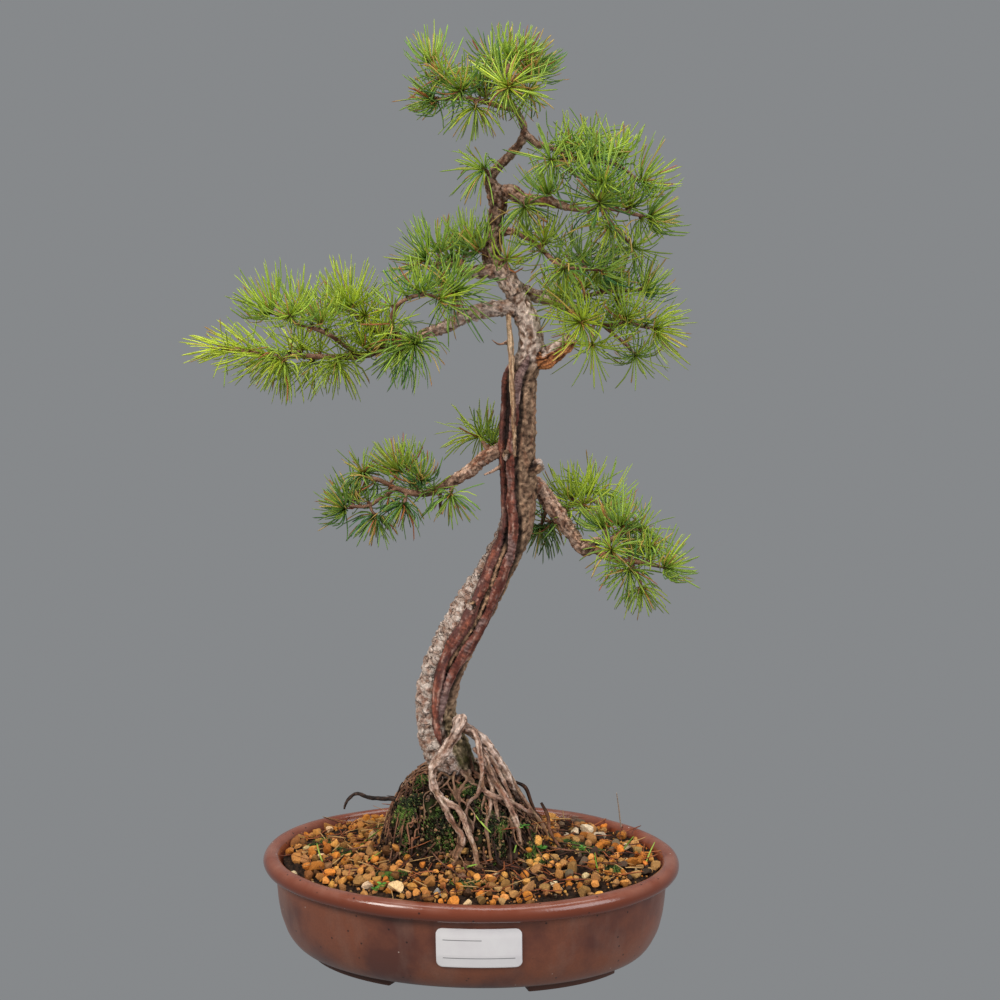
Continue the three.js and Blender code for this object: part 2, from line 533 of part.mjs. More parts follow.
// The foliage: each spray is its twigs, each a route of [x, y, z, radius], and its tufts of needles.
const SPRAYS = [
  {
    name: 'spray_apex_right',
    twigs: [
      [[23, -5, 543, 1.6], [19, -6, 549, 1.7], [22, -8, 555, 1.6], [24, -6, 560, 1.4], [26, -2, 566, 1.2]],
      [[22, -8, 552, 1.4], [31, -4, 554, 1.3], [40, 0, 555, 1.2], [48, 2, 556, 1.1]],
      [[23, -7, 556, 1.3], [18, 10, 559, 1.2], [13, 22, 562, 1.1]],
    ],
    tufts: [
      { at: [26, -20, 550], facing: [0, -1, 0.1], needles: 20 },
      { at: [26, -2, 567], facing: [0.1, 0, 1], needles: 16 },
      { at: [12, 24, 563], facing: [-0.2, 0.8, 0.6], needles: 14 },
      { at: [49, 2, 556], facing: [0.8, 0, 0.5], needles: 16 },
      { at: [44, -10, 545], facing: [0.5, -0.6, -0.4], needles: 14 },
      { at: [35, 8, 564], facing: [0.4, 0.5, 0.8], needles: 14 },
    ],
  },
  {
    name: 'spray_apex_left',
    twigs: [
      [
        [28, -5, 536, 1.4], [21, -9, 538, 1.7], [11, -10, 541, 1.7],
        [0, -11, 543, 1.5], [-11, -13, 543, 1.3], [-17, -14, 543, 1.1],
      ],
      [[-6, -12, 543, 1.3], [-12, -8, 551, 1.2], [-18, -4, 560, 1.1], [-22, -2, 564, 1]],
    ],
    tufts: [
      { at: [6, -16, 538], facing: [0, -0.6, -0.8], needles: 14 },
      { at: [8, -2, 548], facing: [-0.1, 0.5, 0.8], needles: 12 },
      { at: [-13, -12, 555], facing: [-0.3, -0.6, 0.8], needles: 14 },
      { at: [-22, -1, 564], facing: [-0.4, 0.2, 0.9], needles: 12 },
      { at: [-19, -14, 543], facing: [-1, -0.2, -0.1], needles: 16 },
      { at: [-2, -22, 548], facing: [-0.1, -0.9, 0.4], needles: 14 },
    ],
  },
  {
    name: 'spray_leader_left',
    twigs: [
      [[14, 3, 496, 1.6], [11, 0, 499, 1.4]],
    ],
    tufts: [
      { at: [10, -2, 500], facing: [-0.8, -0.4, 0.5], needles: 14 },
    ],
  },
  {
    name: 'spray_shoulder_upper',
    twigs: [
      [
        [47, -4, 515, 1.7], [51, -5, 514, 1.9], [59, -6, 511, 1.7], [68, -4, 507, 1.6],
        [76, -2, 505, 1.5], [84, 2, 505, 1.4], [92, 5, 502, 1.2], [102, 7, 494, 1.1],
      ],
      [[56, -6, 513, 1.4], [62, -12, 501, 1.3], [71, -16, 497, 1.2], [81, -18, 495, 1.1]],
    ],
    tufts: [
      { at: [51, -12, 507], facing: [0, -0.8, 0.1], needles: 12 },
      { at: [61, 2, 515], facing: [0, 0.2, 1], needles: 14 },
      { at: [75, -8, 508], facing: [0.2, -0.4, 0.9], needles: 16 },
      { at: [71, 20, 514], facing: [0, 0.7, 0.7], needles: 12 },
      { at: [89, 6, 509], facing: [0.3, 0, 1], needles: 16 },
      { at: [83, -22, 495], facing: [0.1, -1, 0.1], needles: 16 },
      { at: [104, 8, 494], facing: [0.9, 0, 0.3], needles: 16 },
    ],
  },
  {
    name: 'spray_shoulder_lower',
    twigs: [
      [
        [56, -8, 480, 2], [61, -10, 479, 2.2], [71, -14, 478, 1.8], [80, -12, 479, 1.6],
        [91, -4, 477, 1.4], [100, 4, 474, 1.2], [107, 9, 472, 1.1],
      ],
      [[81, -12, 479, 1.4], [86, -4, 470, 1.3], [92, 4, 462, 1.2], [96, 10, 457, 1.1]],
    ],
    tufts: [
      { at: [49, -10, 487], facing: [-0.2, -0.3, 0.9], needles: 12 },
      { at: [81, -24, 483], facing: [0, -1, 0.1], needles: 18 },
      { at: [109, 10, 472], facing: [1, 0, 0.1], needles: 16 },
      { at: [98, 12, 454], facing: [0.5, 0.1, -0.8], needles: 16 },
      { at: [86, -12, 468], facing: [0.1, -0.7, -0.6], needles: 12 },
      { at: [81, 8, 483], facing: [0.1, 0.8, 0.5], needles: 12 },
      { at: [98, 0, 479], facing: [0.3, -0.5, 0.8], needles: 12 },
    ],
  },
  {
    name: 'spray_shoulder_near',
    twigs: [
      [[33, 0, 483, 1.4], [35, -5, 480, 1.3]],
    ],
    tufts: [
      { at: [35, -8, 479], facing: [0.1, -0.6, -0.7], needles: 12 },
    ],
  },
  {
    name: 'spray_inner_right',
    twigs: [
      [
        [25, 3, 463, 1.8], [28, 2, 463, 2], [38, -2, 458, 1.8], [46, -5, 452, 1.6],
        [56, -8, 444, 1.4], [68, -6, 442, 1.2], [79, -2, 441, 1.1],
      ],
    ],
    tufts: [
      { at: [47, -8, 458], facing: [0, -0.3, 0.9], needles: 12 },
      { at: [59, -14, 442], facing: [0, -0.8, -0.4], needles: 14 },
      { at: [81, 0, 440], facing: [0.9, 0.1, 0], needles: 14 },
      { at: [68, 8, 446], facing: [0.2, 0.8, 0.5], needles: 12 },
    ],
  },
  {
    name: 'spray_trunk_left',
    twigs: [
      [[13, 3, 447, 1.6], [9, 0, 450, 1.4]],
    ],
    tufts: [
      { at: [7, -2, 452], facing: [-0.8, -0.3, 0.6], needles: 14 },
    ],
  },
  {
    name: 'spray_trunk_right',
    twigs: [
      [[17, 2, 446, 1.6], [21, -2, 446, 1.4]],
    ],
    tufts: [
      { at: [24, -6, 447], facing: [0.6, -0.6, 0.3], needles: 12 },
    ],
  },
  {
    name: 'spray_crown_right_front',
    twigs: [
      [[47, 9, 421, 2.3], [53, 8, 419, 2.4], [59, 4, 415, 2], [66, -4, 412, 1.6], [69, -12, 410, 1.3]],
      [[60, 3, 415, 1.6], [74, 5, 408, 1.5], [86, 8, 406, 1.4], [96, 10, 407, 1.2], [109, 12, 404, 1.1]],
      [[80, 7, 407, 1.2], [91, 8, 398, 1.1], [99, 8, 391, 1]],
    ],
    tufts: [
      { at: [70, -20, 411], facing: [0, -1, 0.1], needles: 20 },
      { at: [58, 0, 424], facing: [-0.1, -0.5, 0.8], needles: 12 },
      { at: [76, -6, 396], facing: [0, -0.5, -0.9], needles: 14 },
      { at: [96, 2, 411], facing: [0.3, -0.8, 0.4], needles: 16 },
      { at: [113, 12, 403], facing: [1, 0, -0.1], needles: 16 },
      { at: [101, 8, 388], facing: [0.4, 0, -0.9], needles: 14 },
    ],
  },
  {
    name: 'spray_crown_right_back',
    twigs: [
      [[52, 17, 422, 1.8], [58, 19, 422, 1.8], [67, 20, 422, 1.6], [86, 22, 425, 1.3], [102, 20, 426, 1.1]],
    ],
    tufts: [
      { at: [68, 24, 427], facing: [-0.1, 0.2, 1], needles: 14 },
      { at: [90, 14, 421], facing: [0.1, -0.9, -0.2], needles: 12 },
      { at: [84, 32, 427], facing: [0, 0.8, 0.5], needles: 12 },
      { at: [105, 20, 427], facing: [0.9, 0, 0.4], needles: 16 },
    ],
  },
  {
    name: 'spray_long_branch_end',
    twigs: [
      [
        [-41, -18, 396, 2.6], [-46, -18, 395, 2.8], [-61, -17, 389, 2.4], [-79, -15, 387, 2],
        [-97, -13, 387, 1.7], [-109, -12, 387, 1.5], [-118, -12, 385, 1.4], [-130, -16, 388, 1.2],
        [-142, -18, 391, 1.1], [-152, -20, 393, 1],
      ],
      [
        [-65, -17, 389, 1.6], [-73, -22, 395, 1.6], [-81, -28, 402, 1.5],
        [-88, -32, 406, 1.4], [-102, -36, 411, 1.3], [-111, -38, 415, 1.2],
      ],
    ],
    tufts: [
      { at: [-115, -38, 417], facing: [-0.7, -0.3, 0.6], needles: 20 },
      { at: [-102, -47, 416], facing: [0.1, -1, 0.3], needles: 14 },
      { at: [-102, -26, 416], facing: [0, 0.6, 0.8], needles: 12 },
      { at: [-86, -34, 411], facing: [0.1, -0.2, 1], needles: 12 },
      { at: [-112, -18, 384], facing: [-0.3, -0.7, -0.6], needles: 14 },
      { at: [-104, -4, 389], facing: [-0.2, 0.5, 0.8], needles: 12 },
      { at: [-80, -16, 384], facing: [0, -0.4, -0.9], needles: 14 },
      { at: [-96, -8, 383], facing: [0, 0.7, -0.5], needles: 12 },
      { at: [-61, -20, 394], facing: [0.1, -0.4, 0.9], needles: 10 },
      { at: [-132, -16, 387], facing: [-0.6, -0.3, -0.3], needles: 12 },
      { at: [-144, -18, 391], facing: [-0.8, -0.2, 0.4], needles: 10 },
      { at: [-154, -20, 394], facing: [-1, -0.1, 0], needles: 12 },
    ],
  },
  {
    name: 'spray_long_branch_crest',
    twigs: [
      [
        [-37, -17, 398, 1.6], [-42, -13, 401, 1.7], [-54, -9, 402, 1.6], [-65, -8, 408, 1.4],
        [-71, -8, 415, 1.2],
      ],
    ],
    tufts: [
      { at: [-71, -12, 418], facing: [0, -0.5, 0.9], needles: 20 },
      { at: [-80, 2, 414], facing: [-0.5, 0.6, 0.6], needles: 14 },
      { at: [-62, -16, 413], facing: [0.3, -0.9, 0.4], needles: 14 },
      { at: [-54, -2, 397], facing: [0.4, 0.8, 0.5], needles: 14 },
    ],
  },
  {
    name: 'spray_long_branch_near',
    twigs: [
      [[-33, -19, 398, 1.6], [-31, -24, 398, 1.5]],
      [[-31, -21, 398, 1.3], [-37, -26, 393, 1.2]],
    ],
    tufts: [
      { at: [-30, -28, 398], facing: [0.1, -1, -0.2], needles: 20 },
      { at: [-40, -25, 393], facing: [-0.5, -0.4, -0.7], needles: 12 },
    ],
  },
  {
    name: 'spray_inner_left',
    twigs: [
      [[1, -5, 438, 2.6], [-2, -6, 438, 2.8], [-8, -8, 443, 2], [-18, -10, 444, 1.5], [-24, -11, 445, 1.2]],
      [[-5, -7, 440, 1.5], [-3, -2, 447, 1.3], [-1, 2, 452, 1.2]],
    ],
    tufts: [
      { at: [-17, -8, 451], facing: [-0.1, 0, 1], needles: 12 },
      { at: [-25, -12, 447], facing: [-0.8, -0.3, 0.4], needles: 14 },
      { at: [0, 3, 454], facing: [0.1, 0.2, 1], needles: 12 },
      { at: [-11, 4, 445], facing: [-0.2, 0.9, 0.3], needles: 12 },
    ],
  },
  {
    name: 'spray_inner_left_face',
    twigs: [
      [[-6, -13, 422, 1.8], [-6, -15, 424, 1.7], [-7, -20, 428, 1.4]],
    ],
    tufts: [
      { at: [-6, -23, 429], facing: [0, -1, 0.2], needles: 20 },
      { at: [-12, -12, 431], facing: [-0.5, 0.2, 0.8], needles: 12 },
    ],
  },
  {
    name: 'spray_long_branch_sprig',
    twigs: [
      [
        [-43, -18, 396, 1.4], [-44, -22, 401, 1.5], [-44, -27, 411, 1.4], [-40, -30, 421, 1.3],
        [-25, -32, 428, 1.2], [-16, -33, 427, 1.1],
      ],
    ],
    tufts: [
      { at: [-26, -33, 430], facing: [0, -0.3, 1], needles: 12 },
      { at: [-14, -34, 426], facing: [0.9, -0.4, 0.1], needles: 10 },
    ],
  },
  {
    name: 'spray_low_left_end',
    twigs: [
      [
        [-11, -7, 308, 2.6], [-15, -8, 307, 2.8], [-27, -10, 302, 2.2],
        [-42, -13, 305, 1.7], [-54, -15, 311, 1.4], [-63, -14, 313, 1.2],
      ],
      [[-44, -14, 306, 1.4], [-54, -16, 299, 1.3], [-62, -18, 295, 1.2], [-72, -19, 295, 1.1]],
    ],
    tufts: [
      { at: [-42, -16, 317], facing: [0, -0.4, 0.9], needles: 20 },
      { at: [-28, -20, 313], facing: [0.2, -0.8, 0.5], needles: 14 },
      { at: [-64, -12, 314], facing: [-0.6, 0.2, 0.8], needles: 14 },
      { at: [-39, -20, 297], facing: [0, -0.5, -0.8], needles: 12 },
      { at: [-56, -18, 289], facing: [-0.1, -0.3, -1], needles: 14 },
      { at: [-75, -20, 294], facing: [-0.8, -0.4, 0.1], needles: 16 },
      { at: [-71, -8, 298], facing: [-0.5, 0.7, 0.4], needles: 12 },
      { at: [-36, 2, 304], facing: [0.1, 0.9, 0.3], needles: 12 },
    ],
  },
  {
    name: 'spray_low_left_near',
    twigs: [
      [[-10, -7, 308, 1.5], [-10, -11, 304, 1.4]],
    ],
    tufts: [
      { at: [-10, -13, 302], facing: [0, -0.5, -0.8], needles: 12 },
    ],
  },
  {
    name: 'spray_low_left_back',
    twigs: [
      [[13, 2, 325, 1.8], [9, 12, 328, 1.6], [5, 22, 331, 1.3]],
    ],
    tufts: [
      { at: [4, 25, 332], facing: [-0.3, 0.6, 0.8], needles: 14 },
      { at: [13, 14, 330], facing: [0.4, 0.3, 0.9], needles: 12 },
    ],
  },
  {
    name: 'spray_low_right_end',
    twigs: [
      [[78, 0, 267, 2.4], [86, -2, 263, 2.4], [98, -5, 261, 1.8], [108, -7, 261, 1.4], [119, -8, 259, 1.2]],
      [[100, -5, 261, 1.3], [105, -8, 254, 1.2], [107, -8, 248, 1.1]],
    ],
    tufts: [
      { at: [112, -2, 269], facing: [0.4, 0, 1], needles: 14 },
      { at: [122, -9, 259], facing: [1, -0.2, 0], needles: 16 },
      { at: [100, -14, 258], facing: [-0.1, -0.8, -0.4], needles: 14 },
      { at: [107, -8, 245], facing: [0.1, -0.1, -1], needles: 12 },
      { at: [100, 4, 264], facing: [0.1, 0.9, 0.4], needles: 12 },
      { at: [89, -10, 269], facing: [-0.1, -0.8, 0.6], needles: 12 },
    ],
  },
  {
    name: 'spray_low_right_crest',
    twigs: [
      [[83, 0, 272, 1.8], [87, 0, 273, 1.7], [95, 2, 277, 1.4], [102, 5, 278, 1.2]],
    ],
    tufts: [
      { at: [84, 3, 280], facing: [-0.3, 0.1, 1], needles: 14 },
      { at: [95, -6, 284], facing: [0.1, -0.6, 0.8], needles: 14 },
      { at: [106, 8, 278], facing: [0.6, 0.4, 0.7], needles: 14 },
    ],
  },
  {
    name: 'spray_low_right_back',
    twigs: [
      [[55, 14, 284, 2], [58, 26, 287, 1.7], [65, 38, 289, 1.4], [72, 44, 289, 1.2], [81, 48, 285, 1.1]],
    ],
    tufts: [
      { at: [72, 46, 293], facing: [0.1, 0.3, 1], needles: 16 },
      { at: [61, 34, 292], facing: [-0.3, 0.2, 1], needles: 14 },
      { at: [82, 50, 284], facing: [0.8, 0.4, 0.3], needles: 12 },
      { at: [69, 28, 289], facing: [0.1, -0.9, 0.3], needles: 10 },
    ],
  },
  {
    name: 'spray_low_right_under',
    twigs: [
      [[49, 15, 292, 1.6], [45, 26, 284, 1.4], [42, 34, 275, 1.2]],
    ],
    tufts: [
      { at: [41, 35, 273], facing: [-0.3, 0.2, -0.9], needles: 14 },
      { at: [49, 32, 277], facing: [0.4, 0.3, -0.6], needles: 12 },
    ],
  },
];

// The shortest distance between two segments, and how far along each it lies.
function segmentDistance(p, q, r, s) {
  const d1 = q.clone().sub(p);
  const d2 = s.clone().sub(r);
  const gap = p.clone().sub(r);
  const a = d1.dot(d1);
  const e = d2.dot(d2);
  const b = d1.dot(d2);
  const c = d1.dot(gap);
  const f = d2.dot(gap);
  const clamp = (value) => Math.min(1, Math.max(0, value));
  const denominator = a * e - b * b;
  let along = denominator > 1e-9 ? clamp((b * f - c * e) / denominator) : 0;
  let other = (b * along + f) / e;
  if (other < 0 || other > 1) {
    other = clamp(other);
    along = clamp((b * other - c) / a);
  }
  const nearest = gap.addScaledVector(d1, along).addScaledVector(d2, -other);
  return { distance: nearest.length(), along, other };
}

const rods = [];

function addRods(route, owner) {
  for (let i = 0; i + 1 < route.length; i += 1) {
    const [from, to] = [route[i], route[i + 1]];
    rods.push({
      owner,
      from: new THREE.Vector3(...from.slice(0, 3)),
      to: new THREE.Vector3(...to.slice(0, 3)),
      fromRadius: from[3],
      toRadius: to[3],
    });
  }
}

// True where a needle would touch another piece, or cross a needle of its own spray.
function collides(needle) {
  const reach = 3 * NEEDLE_LENGTH;
  return rods.some((rod) => {
    if (rod.tuft === needle.tuft || rod.from.distanceTo(needle.from) > reach) return false;
    const sameSpray = rod.owner === needle.owner;
    const start = sameSpray && !rod.tuft ? needle.free : needle.from;
    const { distance, along, other } = segmentDistance(start, needle.to, rod.from, rod.to);
    const needleRadius = THREE.MathUtils.lerp(needle.fromRadius, needle.toRadius, along);
    const rodRadius = THREE.MathUtils.lerp(rod.fromRadius, rod.toRadius, other);
    return distance < needleRadius + rodRadius + (sameSpray ? 0.1 : GAP + 0.25);
  });
}

// The outward triangles of the smallest closed form round some points.
function hullFaces(points) {
  return new ConvexHull().setFromPoints(points).faces.map((face) => {
    const corners = [];
    let edge = face.edge;
    do {
      corners.push(edge.head().point);
      edge = edge.next;
    } while (edge !== face.edge);
    return corners;
  });
}

// A direction near the given one, off by up to the given share of its length.
function strayed(direction, share, random) {
  const stray = () => (random() - 0.5) * 2 * share;
  return direction.clone().add(new THREE.Vector3(stray(), stray(), stray())).normalize();
}

// A bud whose every face on the side that the tuft faces is drawn out into a three-sided needle.
function tuftSolid(tuft, owner, random) {
  const centre = new THREE.Vector3(...tuft.at);
  const facing = new THREE.Vector3(...tuft.facing).normalize();
  const corners = Math.round(tuft.needles * CORNERS_PER_NEEDLE) + 2;
  const radius = BUD_RADIUS_FACTOR * Math.sqrt(2 * corners - 4);
  const points = [];
  for (let i = 0; i < corners; i += 1) {
    const height = 1 - (2 * (i + 0.5)) / corners;
    const flat = Math.sqrt(1 - height * height);
    const around = GOLDEN_ANGLE * i;
    const even = new THREE.Vector3(flat * Math.cos(around), flat * Math.sin(around), height);
    points.push(strayed(even, 0.12, random).multiplyScalar(radius).add(centre));
  }
  const positions = [];
  hullFaces(points).forEach(([a, b, c]) => {
    const outward = a.clone().add(b).add(c).divideScalar(3).sub(centre).normalize();
    const isFanned = outward.dot(facing) > NEEDLE_FAN_EDGE;
    const tip = isFanned ? needleTip({ centre, radius, outward, owner, tuft }, random) : null;
    const facets = tip ? [[a, b, tip], [b, c, tip], [c, a, tip]] : [[a, b, c]];
    facets.flat().forEach((point) => positions.push(point.x, point.y, point.z));
  });
  const geometry = new THREE.BufferGeometry();
  geometry.setAttribute('position', new THREE.Float32BufferAttribute(positions, 3));
  return solidFrom(geometry);
}

// Where a needle's tip can stand clear of all that is placed so far, or null where there is no room.
function needleTip({ centre, radius, outward, owner, tuft }, random) {
  for (let attempt = 0; attempt < 10; attempt += 1) {
    const direction = strayed(outward, 0.1 + 0.02 * attempt, random);
    const length = NEEDLE_LENGTH * (0.82 + 0.26 * random());
    const needle = {
      owner,
      tuft,
      from: centre.clone().addScaledVector(direction, radius + 1),
      free: centre.clone().addScaledVector(direction, 3 * radius),
      to: centre.clone().addScaledVector(direction, length),
      fromRadius: NEEDLE_RADIUS,
      toRadius: 0.05,
    };
    if (!collides(needle)) {
      rods.push(needle);
      return needle.to;
    }
  }
  return null;
}

// The route of a short spur from the nearest point of a spray's own twigs to the middle of a tuft.
function spurRoute(tuft, twigs) {
  const centre = new THREE.Vector3(...tuft.at);
  let nearest = null;
  twigs.forEach((route) => {
    for (let i = 0; i + 1 < route.length; i += 1) {
      const line = new THREE.Line3(
        new THREE.Vector3(...route[i].slice(0, 3)),
        new THREE.Vector3(...route[i + 1].slice(0, 3)),
      );
      const foot = line.closestPointToPoint(centre, true, new THREE.Vector3());
      if (!nearest || foot.distanceTo(centre) < nearest.distanceTo(centre)) nearest = foot;
    }
  });
  return [[...nearest.toArray(), SPUR_FOOT_RADIUS], [...centre.toArray(), SPUR_HEAD_RADIUS]];
}

function spurRoutes(spray) {
  return spray.tufts
    .map((tuft) => spurRoute(tuft, spray.twigs))
    .filter(([foot, head]) => Math.hypot(head[0] - foot[0], head[1] - foot[1], head[2] - foot[2]) > 1);
}

function spraySolid(spray, grownTree, random) {
  const twigs = spray.twigs.map((route) => limb(route, { angles: evenAngles(4), step: 16 }));
  const spurs = spurRoutes(spray).map((route) => limb(route, { angles: evenAngles(3), step: 60 }));
  const wood = joinAll([...twigs, ...spurs]).subtract(grownTree);
  const tufts = spray.tufts.map((tuft) => tuftSolid(tuft, spray.name, random));
  return largestBody(joinAll([wood, ...tufts]));
}

const potFinish = finish(0x7a4a3c, 0.42);
const screenFinish = finish(0x1d1f1e, 0.6);
const labelFinish = finish(0xf4f1ec, 0.5);
const soilFinish = finish(0x7a4f2c, 0.95);
const barkFinish = finish(0x8a6a58, 0.9);
const foliageFinish = finish(0x6f9a3a, 0.6);

const grownTree = joinAll(treeSolids(GAP));
const bonsai = new THREE.Group();
bonsai.add(named('pot', potSolid(), potFinish));
bonsai.add(named('drain_screen_left', screenSolid(-1), screenFinish));
bonsai.add(named('drain_screen_right', screenSolid(1), screenFinish));
bonsai.add(named('plant_label', labelSolid(), labelFinish));
bonsai.add(named('soil', soilSolid(grownTree), soilFinish));
bonsai.add(named('tree', largestBody(joinAll(treeSolids(0))), barkFinish));

[LOWER_TRUNK, UPPER_TRUNK, DEADWOOD_STRIP, TORN_SNAG].forEach((route) => addRods(route, 'tree'));
Object.values(BRANCHES).forEach((route) => addRods(route, 'tree'));
SPRAYS.forEach((spray) => {
  [...spray.twigs, ...spurRoutes(spray)].forEach((route) => addRods(route, spray.name));
  spray.tufts.forEach(({ at: [x, y, z] }) => addRods([[x, y, z, 2], [x, y, z + 0.1, 2]], spray.name));
});
const needleRandom = seededRandom(5);
SPRAYS.forEach((spray) => {
  bonsai.add(named(spray.name, spraySolid(spray, grownTree, needleRandom), foliageFinish));
});

bonsai.position.set(...GROUP_SHIFT);
bonsai.updateMatrixWorld(true);

export default bonsai;
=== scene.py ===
"""European larch bonsai in an oval glazed pot.

The wood, the foliage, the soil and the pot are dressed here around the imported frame. Lengths are millimetres
from the middle of the pot's resting plane, +Z up, with the front of the tree towards -Y. They become metres,
in the frame's own place, when a piece is made.
"""
import logging
import math
from dataclasses import dataclass
from enum import Enum
from typing import Callable, Sequence

import bpy
import numpy as np
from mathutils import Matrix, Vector, noise


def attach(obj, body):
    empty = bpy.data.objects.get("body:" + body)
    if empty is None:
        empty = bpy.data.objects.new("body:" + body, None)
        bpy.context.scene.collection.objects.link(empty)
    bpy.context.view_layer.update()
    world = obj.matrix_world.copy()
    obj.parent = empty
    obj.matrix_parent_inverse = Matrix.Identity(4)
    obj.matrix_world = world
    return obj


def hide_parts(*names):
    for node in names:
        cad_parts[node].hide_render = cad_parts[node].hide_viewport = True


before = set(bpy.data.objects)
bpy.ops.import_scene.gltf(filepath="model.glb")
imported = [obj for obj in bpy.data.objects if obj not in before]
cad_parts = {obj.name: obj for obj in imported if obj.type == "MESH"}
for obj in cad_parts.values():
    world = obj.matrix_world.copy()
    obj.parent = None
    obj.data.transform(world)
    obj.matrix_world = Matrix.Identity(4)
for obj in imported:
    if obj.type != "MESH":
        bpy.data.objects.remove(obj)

LOG = logging.getLogger("bonsai")
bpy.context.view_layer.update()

MM = 0.001
GROUP_SHIFT = np.array([15.0, 0.0, 0.0])
UP = np.array([0.0, 0.0, 1.0])
FRONT = np.array([0.0, -1.0, 0.0])
RIGHT = np.array([1.0, 0.0, 0.0])
GOLDEN_ANGLE = math.pi * (3.0 - math.sqrt(5.0))
NOISE_SEED = 7

Route = Sequence[Sequence[float]]
Faces = np.ndarray
Piece = bpy.types.Object
Material = bpy.types.Material
Socket = bpy.types.NodeSocket


def tint(code: str) -> np.ndarray:
    """The linear colour of a hexadecimal screen colour.

    Args:
        code: Six hexadecimal digits.

    Returns:
        Red, green and blue from 0 to 1, linear.
    """
    screen = np.array([int(code[i:i + 2], 16) / 255.0 for i in (0, 2, 4)])
    return np.where(screen <= 0.04045, screen / 12.92, ((screen + 0.055) / 1.055) ** 2.4)


def tints(*codes: str) -> np.ndarray:
    """The linear colours of several screen colours, one to a row."""
    return np.array([tint(code) for code in codes])


def blend(low: np.ndarray | str, high: np.ndarray | str, share: np.ndarray | float) -> np.ndarray:
    """Mixes two colours, each linear or a screen colour's code, by a share that runs from 0 to 1."""
    low, high = (tint(colour) if isinstance(colour, str) else colour for colour in (low, high))
    return low + (high - low) * np.asarray(share)[..., None]


def ease(low: float, high: float, values: np.ndarray) -> np.ndarray:
    """A smooth step from 0 at low to 1 at high."""
    share = np.clip((np.asarray(values) - low) / (high - low), 0.0, 1.0)
    return share * share * (3.0 - 2.0 * share)


def unit(vectors: np.ndarray) -> np.ndarray:
    """Vectors of length 1 along the given ones."""
    vectors = np.asarray(vectors, float)
    return vectors / np.maximum(np.linalg.norm(vectors, axis=-1, keepdims=True), 1e-9)


def clouds(points: np.ndarray, size: float | Sequence[float], seed: float = 0.0,
           octaves: int = 3) -> np.ndarray:
    """Soft lumpy noise at each point.

    Args:
        points: Places in millimetres.
        size: The lumps' size in millimetres, or one size for each axis.
        seed: Moves the pattern, so that each use has its own.
        octaves: How many finer layers are laid on top of each other.

    Returns:
        One value for each point, mostly from -1 to 1.
    """
    places = (points / np.asarray(size, float) + seed).tolist()
    return np.array([noise.fractal(place, 0.8, 2.0, octaves) for place in places])


def cells(points: np.ndarray, size: float | Sequence[float],
          seed: float = 0.0) -> tuple[np.ndarray, np.ndarray]:
    """Plates parted by cracks.

    Args:
        points: Places in millimetres.
        size: The plates' size in millimetres, or one size for each axis.
        seed: Moves the pattern.

    Returns:
        The distance into a plate from its crack, and a tone from 0 to 1 that is the same all over a plate.
    """
    places = (points / np.asarray(size, float) + seed).tolist()
    depth = np.empty(len(places))
    tone = np.empty(len(places))
    for i, place in enumerate(places):
        distances, centres = noise.voronoi(place)
        depth[i] = distances[1] - distances[0]
        nearest = centres[0]
        tone[i] = (math.sin(nearest.x * 12.99 + nearest.y * 78.23 + nearest.z * 37.72) * 43758.5) % 1.0
    return depth, tone


def drifted(points: np.ndarray, size: float, reach: float, seed: float = 0.0) -> np.ndarray:
    """Points pushed about by noise of a size, over a reach, so that a pattern on them loses its evenness."""
    pushes = [noise.noise_vector(place) for place in (points / size + seed).tolist()]
    return points + reach * np.array(pushes)


def deselect() -> None:
    """Leaves edit mode and selects nothing."""
    if bpy.context.object and bpy.context.object.mode != "OBJECT":
        bpy.ops.object.mode_set(mode="OBJECT")
    bpy.ops.object.select_all(action="DESELECT")


def take(piece: Piece) -> Piece:
    """Makes a piece the only selected one, and the active one.

    Args:
        piece: The piece.

    Returns:
        The same piece.
    """
    deselect()
    piece.select_set(True)
    bpy.context.view_layer.objects.active = piece
    return piece


def linked(name: str, data: bpy.types.ID) -> Piece:
    """A new object in the scene, with this data.

    Args:
        name: The object's name.
        data: Its mesh, curve, light or camera.

    Returns:
        The object.
    """
    piece = bpy.data.objects.new(name, data)
    bpy.context.scene.collection.objects.link(piece)
    return piece


def settled() -> Piece:
    """The piece that was just added, with its place moved into its mesh.

    Returns:
        The piece.
    """
    piece = bpy.context.object
    piece.data.transform(piece.matrix_world)
    piece.matrix_world.identity()
    return piece


def dress(piece: Piece, material: Material) -> None:
    """Gives a piece one material."""
    piece.data.materials.clear()
    piece.data.materials.append(material)


def modify(piece: Piece, kind: str, **settings: object) -> None:
    """Adds a modifier with its settings and applies it.

    Args:
        piece: The piece.
        kind: The modifier's type.
        settings: Values for its properties.
    """
    take(piece)
    modifier = piece.modifiers.new(kind.lower(), kind)
    for name, value in settings.items():
        setattr(modifier, name, value)
    bpy.ops.object.modifier_apply(modifier=modifier.name)


def round_edges(piece: Piece, width: float) -> None:
    """Rounds a solid's sharp edges, over a width in millimetres."""
    modify(piece, "BEVEL", width=width * MM, segments=2, limit_method="ANGLE", angle_limit=math.radians(50))


def smooth_below(piece: Piece, degrees: float) -> None:
    """Shades a piece smoothly across edges that are blunter than an angle."""
    take(piece)
    bpy.ops.object.shade_smooth_by_angle(angle=math.radians(degrees))


def select_whole() -> None:
    """Selects the whole of the mesh that is being edited."""
    bpy.ops.mesh.select_all(action="SELECT")


def shape(piece: Piece, *steps: Callable[[], object]) -> None:
    """Runs edit-mode steps on the whole of a piece.

    Args:
        piece: The piece.
        steps: What is called in edit mode, in order.
    """
    take(piece)
    bpy.ops.object.mode_set(mode="EDIT")
    select_whole()
    for step in steps:
        step()
    bpy.ops.object.mode_set(mode="OBJECT")


